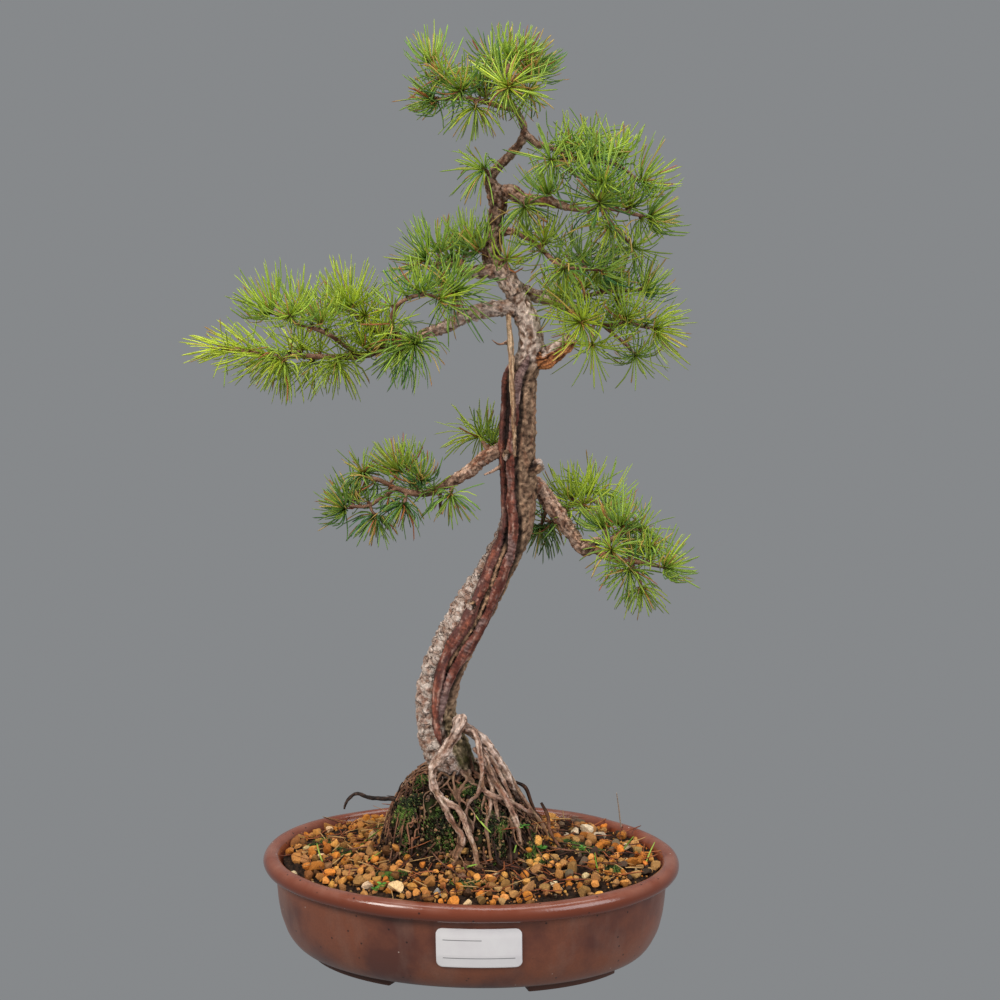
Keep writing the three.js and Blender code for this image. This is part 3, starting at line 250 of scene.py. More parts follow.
def close_and_turn_out() -> None:
    """Merges doubled corners and turns all faces outwards."""
    bpy.ops.mesh.remove_doubles(threshold=1e-6)
    bpy.ops.mesh.normals_make_consistent(inside=False)


def join(pieces: Sequence[Piece], name: str) -> Piece:
    """Joins pieces into the first of them.

    Args:
        pieces: The pieces.
        name: The name of what they become.

    Returns:
        The first piece, with the others in it.
    """
    take(pieces[0])
    for piece in pieces[1:]:
        piece.select_set(True)
    if len(pieces) > 1:
        bpy.ops.object.join()
    pieces[0].name = name
    pieces[0].data.name = name
    return pieces[0]


def new_mesh(name: str, points: np.ndarray, faces: Sequence[Faces], smooth: bool = True) -> Piece:
    """A mesh object from arrays.

    Args:
        name: The object's name.
        points: Corners in millimetres from the pot's middle.
        faces: Arrays of corner numbers, each array with faces of one number of corners.
        smooth: Whether the shading runs smoothly over the faces.

    Returns:
        The linked object, at the origin.
    """
    mesh = bpy.data.meshes.new(name)
    corners = np.concatenate([np.ravel(block) for block in faces]).astype(np.int32)
    sizes = np.concatenate([np.full(len(block), np.shape(block)[1]) for block in faces])
    starts = np.concatenate([[0], np.cumsum(sizes)[:-1]]).astype(np.int32)
    mesh.vertices.add(len(points))
    mesh.vertices.foreach_set("co", ((points + GROUP_SHIFT) * MM).astype(np.float32).ravel())
    mesh.loops.add(len(corners))
    mesh.loops.foreach_set("vertex_index", corners)
    mesh.polygons.add(len(sizes))
    mesh.polygons.foreach_set("loop_start", starts)
    mesh.update(calc_edges=True)
    mesh.validate()
    if smooth:
        mesh.shade_smooth()
    return linked(name, mesh)


def new_line(name: str, line: Sequence[Sequence[float]]) -> Piece:
    """A mesh of corners that edges join in a line, in metres.

    Args:
        name: The object's name.
        line: The corners in order.

    Returns:
        The linked object.
    """
    mesh = bpy.data.meshes.new(name)
    mesh.from_pydata(line, [(i, i + 1) for i in range(len(line) - 1)], [])
    return linked(name, mesh)


def numbers_in(rows: Sequence, name: str, width: int = 3, kind: type = np.float32) -> np.ndarray:
    """One property of every corner, edge or face corner of a mesh, with a row of numbers for each.

    Args:
        rows: The mesh's corners, edges or face corners.
        name: The property.
        width: How many numbers the property has.
        kind: The type of those numbers.

    Returns:
        The numbers, with one row for each.
    """
    flat = np.empty(len(rows) * width, kind)
    rows.foreach_get(name, flat)
    return flat.reshape(-1, width)


def places_of(piece: Piece) -> np.ndarray:
    """A mesh's corners in millimetres from the pot's middle."""
    return numbers_in(piece.data.vertices, "co").astype(float) / MM - GROUP_SHIFT


def move_to(piece: Piece, points: np.ndarray) -> None:
    """Puts a mesh's corners at places in millimetres from the pot's middle."""
    piece.data.vertices.foreach_set("co", ((points + GROUP_SHIFT) * MM).astype(np.float32).ravel())
    piece.data.update()


def normals_of(piece: Piece) -> np.ndarray:
    """The outward direction at each corner of a mesh."""
    return numbers_in(piece.data.vertices, "normal").astype(float)


def hollows_of(piece: Piece, rounds: int = 6) -> np.ndarray:
    """How far each corner lies below the smoothed surface, in millimetres, and above it where negative.

    Args:
        piece: The piece.
        rounds: How often the surface is smoothed.

    Returns:
        One depth for each corner.
    """
    pairs = numbers_in(piece.data.edges, "vertices", 2, np.int32)
    first, second = np.concatenate([pairs, pairs[:, ::-1]]).T
    points = places_of(piece)
    count = np.maximum(np.bincount(first, minlength=len(points)), 1)
    soft = points
    for _ in range(rounds):
        soft = np.stack([np.bincount(first, soft[second, k], len(points)) / count for k in range(3)], 1)
    return ((soft - points) * normals_of(piece)).sum(1)


def paint(piece: Piece, colours: np.ndarray) -> None:
    """Stores a colour at each corner of a mesh.

    Args:
        piece: The piece.
        colours: A linear colour for each corner.
    """
    opaque = np.ones((len(colours), 4), np.float32)
    opaque[:, :3] = np.clip(colours, 0.0, 1.0)
    layer = piece.data.color_attributes.new("tint", "FLOAT_COLOR", "POINT")
    layer.data.foreach_set("color", opaque.ravel())


def store(piece: Piece, name: str, values: np.ndarray) -> None:
    """Stores a number or a vector at each corner of a mesh.

    Args:
        piece: The piece.
        name: The attribute's name.
        values: A number or a vector for each corner.
    """
    values = np.asarray(values, np.float32)
    if values.ndim == 1:
        piece.data.attributes.new(name, "FLOAT", "POINT").data.foreach_set("value", values)
    else:
        piece.data.attributes.new(name, "FLOAT_VECTOR", "POINT").data.foreach_set("vector", values.ravel())


@dataclass(frozen=True)
class Pattern:
    """One small shape that is modelled once and then copied: its corners and its triangles."""

    points: np.ndarray
    faces: Faces

    @classmethod
    def lifted(cls, piece: Piece) -> "Pattern":
        """Takes the shape of a piece modelled at the origin, in its own units, and removes the piece.

        Args:
            piece: The piece.

        Returns:
            The pattern.
        """
        shape(piece, bpy.ops.mesh.quads_convert_to_tris)
        points = numbers_in(piece.data.vertices, "co").astype(float)
        faces = numbers_in(piece.data.loops, "vertex_index", 1, np.int32).reshape(-1, 3)
        bpy.data.objects.remove(piece)
        return cls(points, faces)

    def copied(self, places: np.ndarray, turns: np.ndarray) -> tuple[np.ndarray, Faces]:
        """Copies of the shape.

        Args:
            places: Where each copy's origin goes.
            turns: For each copy, the three rows that its x, y and z axes become, with its size in them.

        Returns:
            The corners and triangles of all the copies.
        """
        points = np.einsum("vi,nij->nvj", self.points, turns) + places[:, None, :]
        steps = np.arange(len(places))[:, None, None] * len(self.points)
        return points.reshape(-1, 3), (self.faces[None] + steps).reshape(-1, 3)

    def spread(self, values: np.ndarray) -> np.ndarray:
        """Repeats one value for each copy over all its corners."""
        return np.repeat(values, len(self.points), axis=0)


def random_turns(rng: np.random.Generator, count: int) -> np.ndarray:
    """Evenly spread random turns, as three rows each.

    Args:
        rng: The draw.
        count: How many turns.

    Returns:
        Three rows for each turn.
    """
    x = unit(rng.normal(size=(count, 3)))
    y = unit(np.cross(x, rng.normal(size=(count, 3))))
    return np.stack([x, y, np.cross(x, y)], 1)


def turns_along(direction: np.ndarray, spin: np.ndarray) -> np.ndarray:
    """Turns that lay the z axis along each direction, with the y axis near the given spin vector.

    Args:
        direction: Where each z axis points.
        spin: What each y axis leans to.

    Returns:
        Three rows for each turn.
    """
    z = unit(direction)
    x = unit(np.cross(spin, z))
    return np.stack([x, np.cross(z, x), z], 1)


class Wood(Enum):
    """What kind of wood a limb is, which settles its bark."""

    TRUNK = 0
    ROLL = 1
    LEADER = 2
    BRANCH = 3
    ROOT = 4
    STRIP = 5
    SNAG = 6
    KNOT = 7
    RUNNER = 8
    TWIG = 9


@dataclass
class Limb:
    """A tapered length of wood along a smooth line."""

    kind: Wood
    points: np.ndarray
    radii: np.ndarray

    @classmethod
    def through(cls, kind: Wood, route: Route, spacing: float = 1.6) -> "Limb":
        """A limb on a centripetal spline through [x, y, z, radius] points.

        Args:
            kind: The kind of wood.
            route: The points from the thick end to the thin one.
            spacing: The distance between stations.

        Returns:
            The limb, with its stations about evenly spaced.
        """
        knots = np.array(route, float)
        first = 2 * knots[0, :3] - knots[1, :3]
        last = 2 * knots[-1, :3] - knots[-2, :3]
        line = np.vstack([first, knots[:, :3], last])
        points = []
        radii = []
        for i in range(len(knots) - 1):
            p0, p1, p2, p3 = line[i:i + 4]
            steps = (b - a for a, b in zip(line[i:i + 3], line[i + 1:i + 4]))
            d0, d1, d2 = (max(math.sqrt(np.linalg.norm(step)), 1e-4) for step in steps)
            start = ((p1 - p0) / d0 - (p2 - p0) / (d0 + d1) + (p2 - p1) / d1) * d1
            end = ((p2 - p1) / d1 - (p3 - p1) / (d1 + d2) + (p3 - p2) / d2) * d1
            count = max(2, round(float(np.linalg.norm(p2 - p1)) / spacing))
            for t in np.linspace(0.0, 1.0, count, endpoint=False):
                square = -3 * p1 + 3 * p2 - 2 * start - end
                cube = 2 * p1 - 2 * p2 + start + end
                points.append(p1 + start * t + square * t * t + cube * t ** 3)
                radii.append(knots[i, 3] + (knots[i + 1, 3] - knots[i, 3]) * t)
        points.append(knots[-1, :3])
        radii.append(knots[-1, 3])
        return cls(kind, np.array(points), np.array(radii))

    def __post_init__(self) -> None:
        """Works out the tangents, the carried frame and the length along the limb."""
        self.tangents = unit(np.gradient(self.points, axis=0))
        self.lengths = np.concatenate([[0], np.cumsum(np.linalg.norm(np.diff(self.points, axis=0), axis=1))])
        normal = FRONT if abs(self.tangents[0][1]) < 0.9 else RIGHT
        normals = []
        for tangent in self.tangents:
            normal = unit(normal - tangent * float(normal @ tangent))
            normals.append(normal)
        self.normals = np.array(normals)
        self.binormals = np.cross(self.tangents, self.normals)


def limbs_mesh(name: str, limbs: Sequence[Limb], roundness: int) -> Piece:
    """One mesh of round tubes along limbs.

    Args:
        name: The object's name.
        limbs: The limbs to skin.
        roundness: The curve's bevel resolution.

    Returns:
        The mesh object, with closed ends.
    """
    curve = bpy.data.curves.new(name, "CURVE")
    curve.dimensions = "3D"
    curve.bevel_depth = 1.0
    curve.bevel_resolution = roundness
    curve.use_fill_caps = True
    for limb in limbs:
        spline = curve.splines.new("POLY")
        spline.points.add(len(limb.points) - 1)
        flat = np.ones((len(limb.points), 4), np.float32)
        flat[:, :3] = (limb.points + GROUP_SHIFT) * MM
        spline.points.foreach_set("co", flat.ravel())
        spline.points.foreach_set("radius", (limb.radii * MM).astype(np.float32))
    take(linked(name, curve))
    bpy.ops.object.convert(target="MESH")
    return bpy.context.object


def nearest_on(limbs: Sequence[Limb], points: np.ndarray,
               reach: float = 6.0) -> tuple[np.ndarray, np.ndarray]:
    """Finds the limb whose surface is nearest to each point.

    Args:
        limbs: The limbs.
        points: Places in millimetres.
        reach: How far outside its surface a limb is still looked for.

    Returns:
        For each point, the number of its limb and the number of the station on it.
    """
    chunk_size = 4000
    limb_of = np.zeros(len(points), int)
    station = np.zeros(len(points), int)
    gap = np.full(len(points), np.inf)
    for number, limb in enumerate(limbs):
        margin = limb.radii.max() + reach
        inside = (points > limb.points.min(0) - margin) & (points < limb.points.max(0) + margin)
        near = np.flatnonzero(inside.all(1))
        for chunk in np.array_split(near, max(1, len(near) // chunk_size)):
            away = np.linalg.norm(points[chunk][:, None, :] - limb.points[None], axis=2) - limb.radii
            best = away.argmin(1)
            distance = away[np.arange(len(chunk)), best]
            better = distance < gap[chunk]
            limb_of[chunk[better]] = number
            station[chunk[better]] = best[better]
            gap[chunk[better]] = distance[better]
    return limb_of, station


class Shader:
    """A material whose nodes are laid down one at a time, all on Object coordinates or attributes."""

    def __init__(self, name: str, **surface: float | tuple) -> None:
        """Starts a material.

        Args:
            name: The material's name.
            surface: Values for the Principled shader's own sockets, with _ for a space.
        """
        self.material = bpy.data.materials.new(name)
        self.material.use_nodes = True
        self.nodes = self.material.node_tree.nodes
        self.links = self.material.node_tree.links
        self.nodes.clear()
        self.surface = self.nodes.new("ShaderNodeBsdfPrincipled")
        output = self.nodes.new("ShaderNodeOutputMaterial")
        self.links.new(self.surface.outputs["BSDF"], output.inputs["Surface"])
        for socket, value in surface.items():
            self.surface.inputs[socket.replace("_", " ")].default_value = value
        self.place = self.add("ShaderNodeTexCoord").outputs["Object"]

    def add(self, kind: str, inputs: dict | None = None, **settings: object) -> bpy.types.Node:
        """Adds a node, sets its properties, and sets or links its inputs.

        Args:
            kind: The node's type.
            inputs: A value, or a socket to link, for each input.
            settings: Values for the node's properties.

        Returns:
            The node.
        """
        node = self.nodes.new(kind)
        for name, value in settings.items():
            setattr(node, name, value)
        for socket, value in (inputs or {}).items():
            if isinstance(value, Socket):
                self.links.new(value, node.inputs[socket])
            else:
                node.inputs[socket].default_value = value
        return node

    def drive(self, socket: str, source: Socket) -> None:
        """Links a source to a socket of the Principled shader."""
        self.links.new(source, self.surface.inputs[socket])

    def attribute(self, name: str, output: str = "Color") -> Socket:
        """A stored attribute of the mesh."""
        return self.add("ShaderNodeAttribute", attribute_name=name).outputs[output]

    def stretched(self, source: Socket, scale: Sequence[float]) -> Socket:
        """Coordinates scaled by axis."""
        return self.add("ShaderNodeMapping", {"Vector": source, "Scale": tuple(scale)}).outputs["Vector"]

    def warped(self, place: Socket, size: float, reach: float) -> Socket:
        """Coordinates pushed about by noise of a size, over a reach, both in millimetres.

        Args:
            place: Coordinates in metres.
            size: The noise's size.
            reach: How far a place moves.

        Returns:
            The moved coordinates.
        """
        push = self.add("ShaderNodeTexNoise", {"Vector": place, "Scale": 1.0 / (size * MM), "Detail": 3.0})
        centred = self.add("ShaderNodeVectorMath", {0: push.outputs["Color"], 1: (0.5, 0.5, 0.5)},
                           operation="SUBTRACT")
        sized = self.add("ShaderNodeVectorMath", {0: centred.outputs["Vector"], "Scale": 2 * reach * MM},
                         operation="SCALE")
        moved = self.add("ShaderNodeVectorMath", {0: place, 1: sized.outputs["Vector"]}, operation="ADD")
        return moved.outputs["Vector"]

    def noise(self, size: float, detail: float = 4.0, place: Socket | None = None,
              rough: float = 0.55) -> Socket:
        """Noise with lumps of a size in millimetres.

        Args:
            size: The lumps' size.
            detail: How many finer layers lie on top.
            place: The coordinates, or none for Object coordinates.
            rough: How strong the finer layers are.

        Returns:
            The noise, from 0 to 1.
        """
        inputs = {"Vector": place or self.place, "Scale": 1.0 / (size * MM), "Detail": detail,
                  "Roughness": rough}
        return self.add("ShaderNodeTexNoise", inputs).outputs["Fac"]

    def cracks(self, size: float, place: Socket, width: float) -> Socket:
        """Winding lines, as round flakes of bark: 0 on a line and 1 off it."""
        level = self.maths("SUBTRACT", self.noise(size, 2.0, place, 0.5), 0.5)
        return self.ramp(self.maths("ABSOLUTE", level), 0.0, width)

    def specks(self, spacing: float, low: float, high: float,
               place: Socket | None = None) -> Socket:
        """Scattered round specks a spacing in millimetres apart, soft from high to low of a cell's width."""
        inputs = {"Vector": place or self.place, "Scale": 1.0 / (spacing * MM)}
        return self.ramp(self.add("ShaderNodeTexVoronoi", inputs).outputs["Distance"], high, low)

    def ramp(self, factor: Socket, low: float, high: float, start: float = 0.0,
             end: float = 1.0) -> Socket:
        """A clamped straight ramp from start at low to end at high."""
        inputs = {"Value": factor, "From Min": low, "From Max": high, "To Min": start, "To Max": end}
        return self.add("ShaderNodeMapRange", inputs).outputs["Result"]

    def mix(self, factor: Socket | float, low: object, high: object,
            blend_type: str = "MIX") -> Socket:
        """Mixes two colours, each a socket or a hexadecimal code.

        Args:
            factor: The second colour's share.
            low: The first colour.
            high: The second colour.
            blend_type: How they are mixed.

        Returns:
            The mixed colour.
        """
        node = self.add("ShaderNodeMix", data_type="RGBA", blend_type=blend_type)
        for socket, value in (("Factor", factor), ("A", low), ("B", high)):
            target = next(i for i in node.inputs if i.name == socket and i.enabled)
            if isinstance(value, Socket):
                self.links.new(value, target)
            elif isinstance(value, str):
                target.default_value = (*tint(value), 1.0)
            else:
                target.default_value = value
        return next(o for o in node.outputs if o.enabled)

    def maths(self, operation: str, *values: object) -> Socket:
        """One sum on sockets or numbers."""
        return self.add("ShaderNodeMath", dict(enumerate(values)), operation=operation).outputs["Value"]

    def times(self, first: Socket, second: object) -> Socket:
        """A product of sockets or numbers."""
        return self.maths("MULTIPLY", first, second)

    def shaded(self, colour: Socket, shade: Socket) -> Socket:
        """A colour made darker or brighter by a factor."""
        grey = self.add("ShaderNodeCombineColor", dict.fromkeys(("Red", "Green", "Blue"), shade))
        return self.mix(1.0, colour, grey.outputs["Color"], "MULTIPLY")

    def bump(self, height: Socket, depth: float, strength: float = 1.0) -> None:
        """Raises the surface's normal by a height, over a depth in millimetres."""
        inputs = {"Height": height, "Distance": depth * MM, "Strength": strength}
        self.drive("Normal", self.add("ShaderNodeBump", inputs).outputs["Normal"])


LOWER_TRUNK: Route = (
    (-1, 6, 92, 10), (-4, 4, 111, 12.2), (-9, 3, 121, 13.6), (-14, 2, 132, 14.8), (-18.5, 2, 143, 14.2),
    (-21.5, 2, 158, 12.9), (-21, 3, 171, 12.8), (-17, 4, 187, 13), (-9, 5, 205, 13.1), (2, 7, 226, 13.3),
    (10.5, 8, 241, 12), (17.5, 9, 254, 11), (25.5, 9, 270, 10.6), (30, 8, 286, 10.6), (30.5, 7, 303, 10.8),
    (30, 4, 328, 11.2), (31, 1, 354, 10.6), (32, -1, 373, 10.2), (38.4, -3, 390, 8.4), (37.6, -4, 404, 7.6),
    (34, -3, 415, 7), (29.5, -1, 424, 6.2),
)
UPPER_TRUNK: Route = (
    (35, -4, 411, 6.6), (29.5, -1, 424, 6.2), (23.5, 1, 434, 6.1), (16.5, 3, 442, 6.3), (13.5, 4, 448, 6),
    (15, 5, 457, 5), (15, 5, 467, 4.6), (17, 5, 477, 5.4), (17, 5, 485, 6.6), (14, 4, 490, 4.4),
    (13, 3, 495, 3.4), (17, 2, 501, 2.8), (25, 0, 509, 2.8), (31, -2, 516, 2.8), (34, -3, 522, 2.6),
    (32, -4, 531, 2.2), (27, -5, 539, 2.1), (21, -5, 545, 2),
)
DEADWOOD_STRIP: Route = (
    (29, -7, 326, 0.9), (28.4, -10.8, 350, 1.2), (27.6, -12, 374, 1.6), (26.6, -11.8, 396, 2),
    (25, -9, 413, 1.7),
)
TORN_SNAG: Route = ((39, -2, 390, 8), (47, -4, 387, 7), (54, -6, 391, 5.6), (64, -8, 400, 4))
BRANCHES: tuple[Route, ...] = (
    ((33, -2, 413, 5.2), (26, -4, 417, 5.2), (18, -6, 417, 5), (5, -10, 415, 4.6), (-4, -13, 411, 4.2),
     (-14, -15, 406, 3.8), (-23, -17, 403, 3.4), (-33, -18, 399, 3.1), (-46, -18, 395, 3)),
    ((-2, -12, 410, 3.2), (-4, -13, 419, 2.4), (-6, -14, 423, 2)),
    ((22, 0, 436, 5), (17, -1, 439, 4.6), (8, -4, 439, 4.2), (-2, -6, 438, 3.4)),
    ((27, 8, 330, 5.2), (19, 4, 328, 5), (9, 0, 323, 4.4), (1, -3, 316, 4), (-7, -6, 311, 3.6),
     (-15, -8, 307, 3.2)),
    ((35, 12, 308, 5.6), (43, 13, 301, 5.2), (51, 11, 291, 4.8), (59, 8, 281, 4.4), (65, 5, 273, 4.2),
     (71, 2, 267, 4.4), (78, 0, 268, 3.6)),
    ((72, 0, 267, 3.4), (78, -1, 272, 2.8), (82, -1, 273, 2.2)),
    ((17, 5, 484, 5), (25, 3, 487, 4.6), (33, 0, 483, 3.8), (48, -5, 482, 3), (61, -10, 479, 2.4)),
    ((33, -3, 522, 2.6), (37, -3, 520, 2.4), (42, -3, 516, 2.2), (51, -5, 514, 2)),
    ((15, 5, 464, 3.8), (20, 4, 463, 3), (28, 2, 463, 2.2)),
    ((26, 1, 428, 5), (33, 5, 427, 4.2), (40, 8, 423, 3.6), (50, 9, 420, 3.2)),
    ((38, 7, 424, 3), (45, 12, 424, 2.6), (53, 17, 424, 2.2)),
)
ROOTS: tuple[Route, ...] = (
    ((-8, -4, 153, 3.55), (-4, -12, 157.5, 4.05), (-8, -17, 149, 3.55), (-14, -20, 139, 3.05),
     (-21.5, -22, 127, 2.75), (-19, -24, 115, 2.55), (-13, -27, 106, 2.35), (-6, -30, 94, 1.95),
     (-1, -32, 89, 1.85), (-3, -34.5, 79, 1.75), (-11, -38, 61, 1.7)),
    ((-16, -25, 111, 1.95), (-11, -27, 108, 1.95), (-5, -29, 106, 1.95), (0, -32, 98, 1.85),
     (4, -35, 89, 1.75), (8, -38, 79, 1.55), (10, -41, 62, 1.6)),
    ((-9, -2, 152, 3.55), (-1, -5, 150, 3.55), (10.5, -7, 141.5, 3.25), (19, -6, 129.3, 2.95),
     (25.7, -3, 116.7, 2.65), (30.8, 2, 104.9, 2.35), (36.4, 8, 93, 1.95), (39, 14, 72, 1.55)),
    ((-2, -8, 150, 2.35), (3.4, -10, 149.7, 2.05), (7.2, -13, 139.6, 1.75), (9.5, -16, 127.5, 1.55),
     (10.5, -19, 115.5, 1.55), (16.7, -20, 111.5, 1.75), (25, -14, 106.5, 1.65), (34, -6, 99, 1.55),
     (42, 6, 89, 1.6), (47, 16, 77, 1.4), (50, 22, 64, 1.4)),
    ((4, -9, 140, 2.15), (10.5, -13, 133.9, 2.25), (16.3, -15, 122, 2.15), (23.4, -17, 111, 1.95),
     (28.9, -19, 101, 1.75), (32.5, -21, 92, 1.55), (36, -24, 66, 1.5)),
    ((-13, -6, 118, 2.15), (-21.6, -16, 112, 1.65), (-28, -20, 102, 1.7), (-36.4, -24, 86, 1.5),
     (-42, -27, 66, 1.3)),
    ((-14, 8, 128, 4.15), (-28, 20, 118, 3.55), (-42, 33, 98, 2.75), (-54, 46, 64, 1.95)),
    ((-6, 12, 126, 4.15), (-4, 28, 114, 3.55), (3, 46, 88, 2.75), (8, 62, 62, 1.95)),
    ((2, 8, 124, 3.95), (16, 22, 110, 3.35), (31, 37, 85, 2.55), (44, 50, 62, 1.75)),
    ((8, -8, 143, 1.55), (14, -10, 133, 1.6), (20, -9, 122, 1.5), (25, -8, 111, 1.3), (29, -10, 99, 1.3)),
    ((12, -8, 140, 1.4), (12, -13, 128, 1.3), (15, -16, 117, 1.4), (19, -21, 104, 1.3), (21, -25, 92, 1.1),
     (22, -31, 74, 0.9)),
    ((21, -5, 127, 1.4), (29, -3, 114, 1.3), (36, 0, 101, 1.3), (43, 2, 90, 1.2), (50, 2, 78, 1)),
    ((9, -17, 121, 1.3), (7, -21, 112, 1.4), (2, -24, 108, 1.2), (1, -29, 100, 1.1), (5, -31, 90, 1)),
    ((14, -18, 113, 1.4), (15, -23, 103, 1.3), (13, -27, 96, 1.2), (15, -31, 85, 1.1), (17, -34, 72, 0.9)),
    ((-18, 0, 123, 1.75), (-30, -2, 118, 1.7), (-41, -1, 111, 1.4), (-50, 2, 98, 1.3), (-56, 4, 80, 1)),
    ((-16, -6, 121, 1.6), (-27, -10, 114, 1.3), (-38, -12, 106, 1.3), (-47, -12, 96, 1.1),
     (-54, -13, 78, 0.9)),
)
DEAD_RUNNER: Route = (
    (-12, 0, 112, 3.4), (-28, -6, 106, 2.3), (-38, -8, 104.5, 1.9), (-46, -10, 104, 1.6),
    (-64, -9, 104, 1.3), (-72, -8, 106, 1.3), (-78, -8, 101, 1.1), (-80, -8, 95, 0.8),
)
KNOTS: tuple[Route, ...] = (
    ((38, 1, 316, 4.4), (42, -2, 318.5, 4.2), (43.5, -4, 321, 3)),
    ((25, -2, 326, 4.2), (23.5, -6, 327, 3.4)),
    ((3, -2, 229, 4.2), (1.5, -6, 231, 3.4)),
)
DEAD_TWIGS: tuple[Route, ...] = (
    ((24, 4, 322, 1.6), (19, 1, 318, 1.3), (14, -1, 315, 1), (9, -3, 313, 0.8)),
    ((-17, -9, 307, 1.4), (-17, -10, 299, 1.2), (-17, -10, 289, 0.9)),
    ((26, -11, 398, 1.2), (20, -13, 396, 0.8), (15, -13, 399, 0.5)),
    ((62, -8, 398, 1.6), (68, -9, 405, 1), (71, -9, 411, 0.5)),
)


@dataclass
class LarchWood:
    """The trunk with its two rolls of live bark, the branches, the deadwood and the roots, as one piece."""

    voxel: float = 0.74
    faces: int = 190000
    roll_rise: float = 1.13
    right_roll: Route = (
        (152, 0.36, 0.12), (160, 0.4, 0.17), (168, 0.45, 0.21), (179, 0.55, 0.26), (193, 0.64, 0.35),
        (204, 0.84, 0.41), (217, 0.96, 0.42), (228, 0.9, 0.4), (241, 0.72, 0.39), (253, 0.56, 0.39),
        (263, 0.4, 0.38), (276, 0.06, 0.37), (294, -0.38, 0.36), (325, -0.32, 0.3), (340, -0.2, 0.26),
        (350, -0.14, 0.34), (374, -0.08, 0.36), (393, 0, 0.26))
    left_roll: Route = (
        (138, 0.1, 0.13), (150, 0.1, 0.2), (160, 0.1, 0.2), (170, 0.1, 0.21), (179, 0.06, 0.25),
        (193, -0.05, 0.3), (204, -0.06, 0.35), (217, 0.08, 0.36), (228, 0, 0.34), (241, -0.16, 0.37),
        (253, -0.44, 0.38), (263, -0.6, 0.37), (276, -0.8, 0.36), (294, -1.12, 0.34), (335, -1.22, 0.35),
        (362, -1.28, 0.36), (386, -1.22, 0.22))
    rootlets: int = 16
    root_seed: int = 17
    root_points: int = 8

    def roll(self, trunk: Limb, course: Sequence[Sequence[float]]) -> Limb:
        """One roll of live bark up the front of the trunk.

        Args:
            trunk: The lower trunk.
            course: Rows of a height, the angle from the front at which the roll's middle lies there, and its
                radius as a share of the trunk's.

        Returns:
            The roll, thin at both ends.
        """
        heights, angles, shares = np.array(course, float).T
        on = np.flatnonzero((trunk.points[:, 2] > heights[0]) & (trunk.points[:, 2] < heights[-1]))
        level = trunk.points[on, 2]
        angle = np.interp(level, heights, angles)
        out = trunk.normals[on] * np.cos(angle)[:, None] + trunk.binormals[on] * np.sin(angle)[:, None]
        radius = trunk.radii[on]
        fade = ease(heights[0], heights[0] + 12, level) * (1 - ease(heights[-1] - 8, heights[-1], level))
        swell = 1 + 0.06 * np.sin(level / 6.5 + heights[0]) + 0.04 * np.sin(level / 2.9)
        share = np.interp(level, heights, shares) * (0.35 + 0.65 * fade)
        reach = radius * (self.roll_rise - share - 0.12 * (1 - fade))
        return Limb(Wood.ROLL, trunk.points[on] + out * reach[:, None], radius * share * swell)

    def fine_roots(self) -> list[Limb]:
        """Thin roots that run down over the root ball between the thick ones.

        Returns:
            The roots.
        """
        rng = np.random.default_rng(self.root_seed)
        limbs = []
        for _ in range(self.rootlets):
            angle = rng.uniform(-3.3, 0.5)
            drift = rng.uniform(-0.7, 0.7)
            top = rng.uniform(116, 132)
            reach = rng.uniform(26, 44)
            radius = rng.uniform(0.8, 1.3)
            route = []
            for share in np.linspace(0.0, 1.0, self.root_points):
                around = angle + drift * share * share + rng.uniform(-0.2, 0.2)
                spread = 10 + reach * share
                x = -8 + spread * math.cos(around) * 1.2
                y = 4 + spread * math.sin(around) * 0.95
                rest = float(soil_level(x, y)) + rng.uniform(0.2, 2.4)
                level = max(rest, top + (68 - top) * share ** 0.8)
                route.append((x, y, level, radius * (1 - 0.6 * share)))
            limbs.append(Limb.through(Wood.ROOT, route))
        return limbs

    def limbs(self) -> list[Limb]:
        """All the limbs, with the lower trunk first.

        Returns:
            The limbs.
        """
        trunk = Limb.through(Wood.TRUNK, LOWER_TRUNK)
        rolls = [self.roll(trunk, course) for course in (self.right_roll, self.left_roll)]
        groups = {
            Wood.LEADER: (UPPER_TRUNK,), Wood.STRIP: (DEADWOOD_STRIP,), Wood.SNAG: (TORN_SNAG,),
            Wood.RUNNER: (DEAD_RUNNER,), Wood.BRANCH: BRANCHES, Wood.ROOT: ROOTS, Wood.KNOT: KNOTS,
            Wood.TWIG: DEAD_TWIGS,
        }
        others = [Limb.through(kind, route) for kind, routes in groups.items() for route in routes]
        return [trunk, *rolls, *others, *self.fine_roots()]

    def build(self) -> Piece:
        """Models and dresses the wood.

        Returns:
            The piece that stands for the tree's node.
        """
        limbs = self.limbs()
        piece = limbs_mesh("larch_wood", limbs, 4)
        modify(piece, "REMESH", mode="VOXEL", voxel_size=self.voxel * MM)
        modify(piece, "SMOOTH", factor=0.5, iterations=2)
        BarkSurface(piece, limbs, self).carve()
        over = len(piece.data.polygons) * 2 / self.faces
        if over > 1:
            modify(piece, "DECIMATE", ratio=1 / over)
        piece.data.shade_smooth()
        dress(piece, BarkFinish().material())
        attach(piece, "root")
        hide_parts("tree")
        return piece


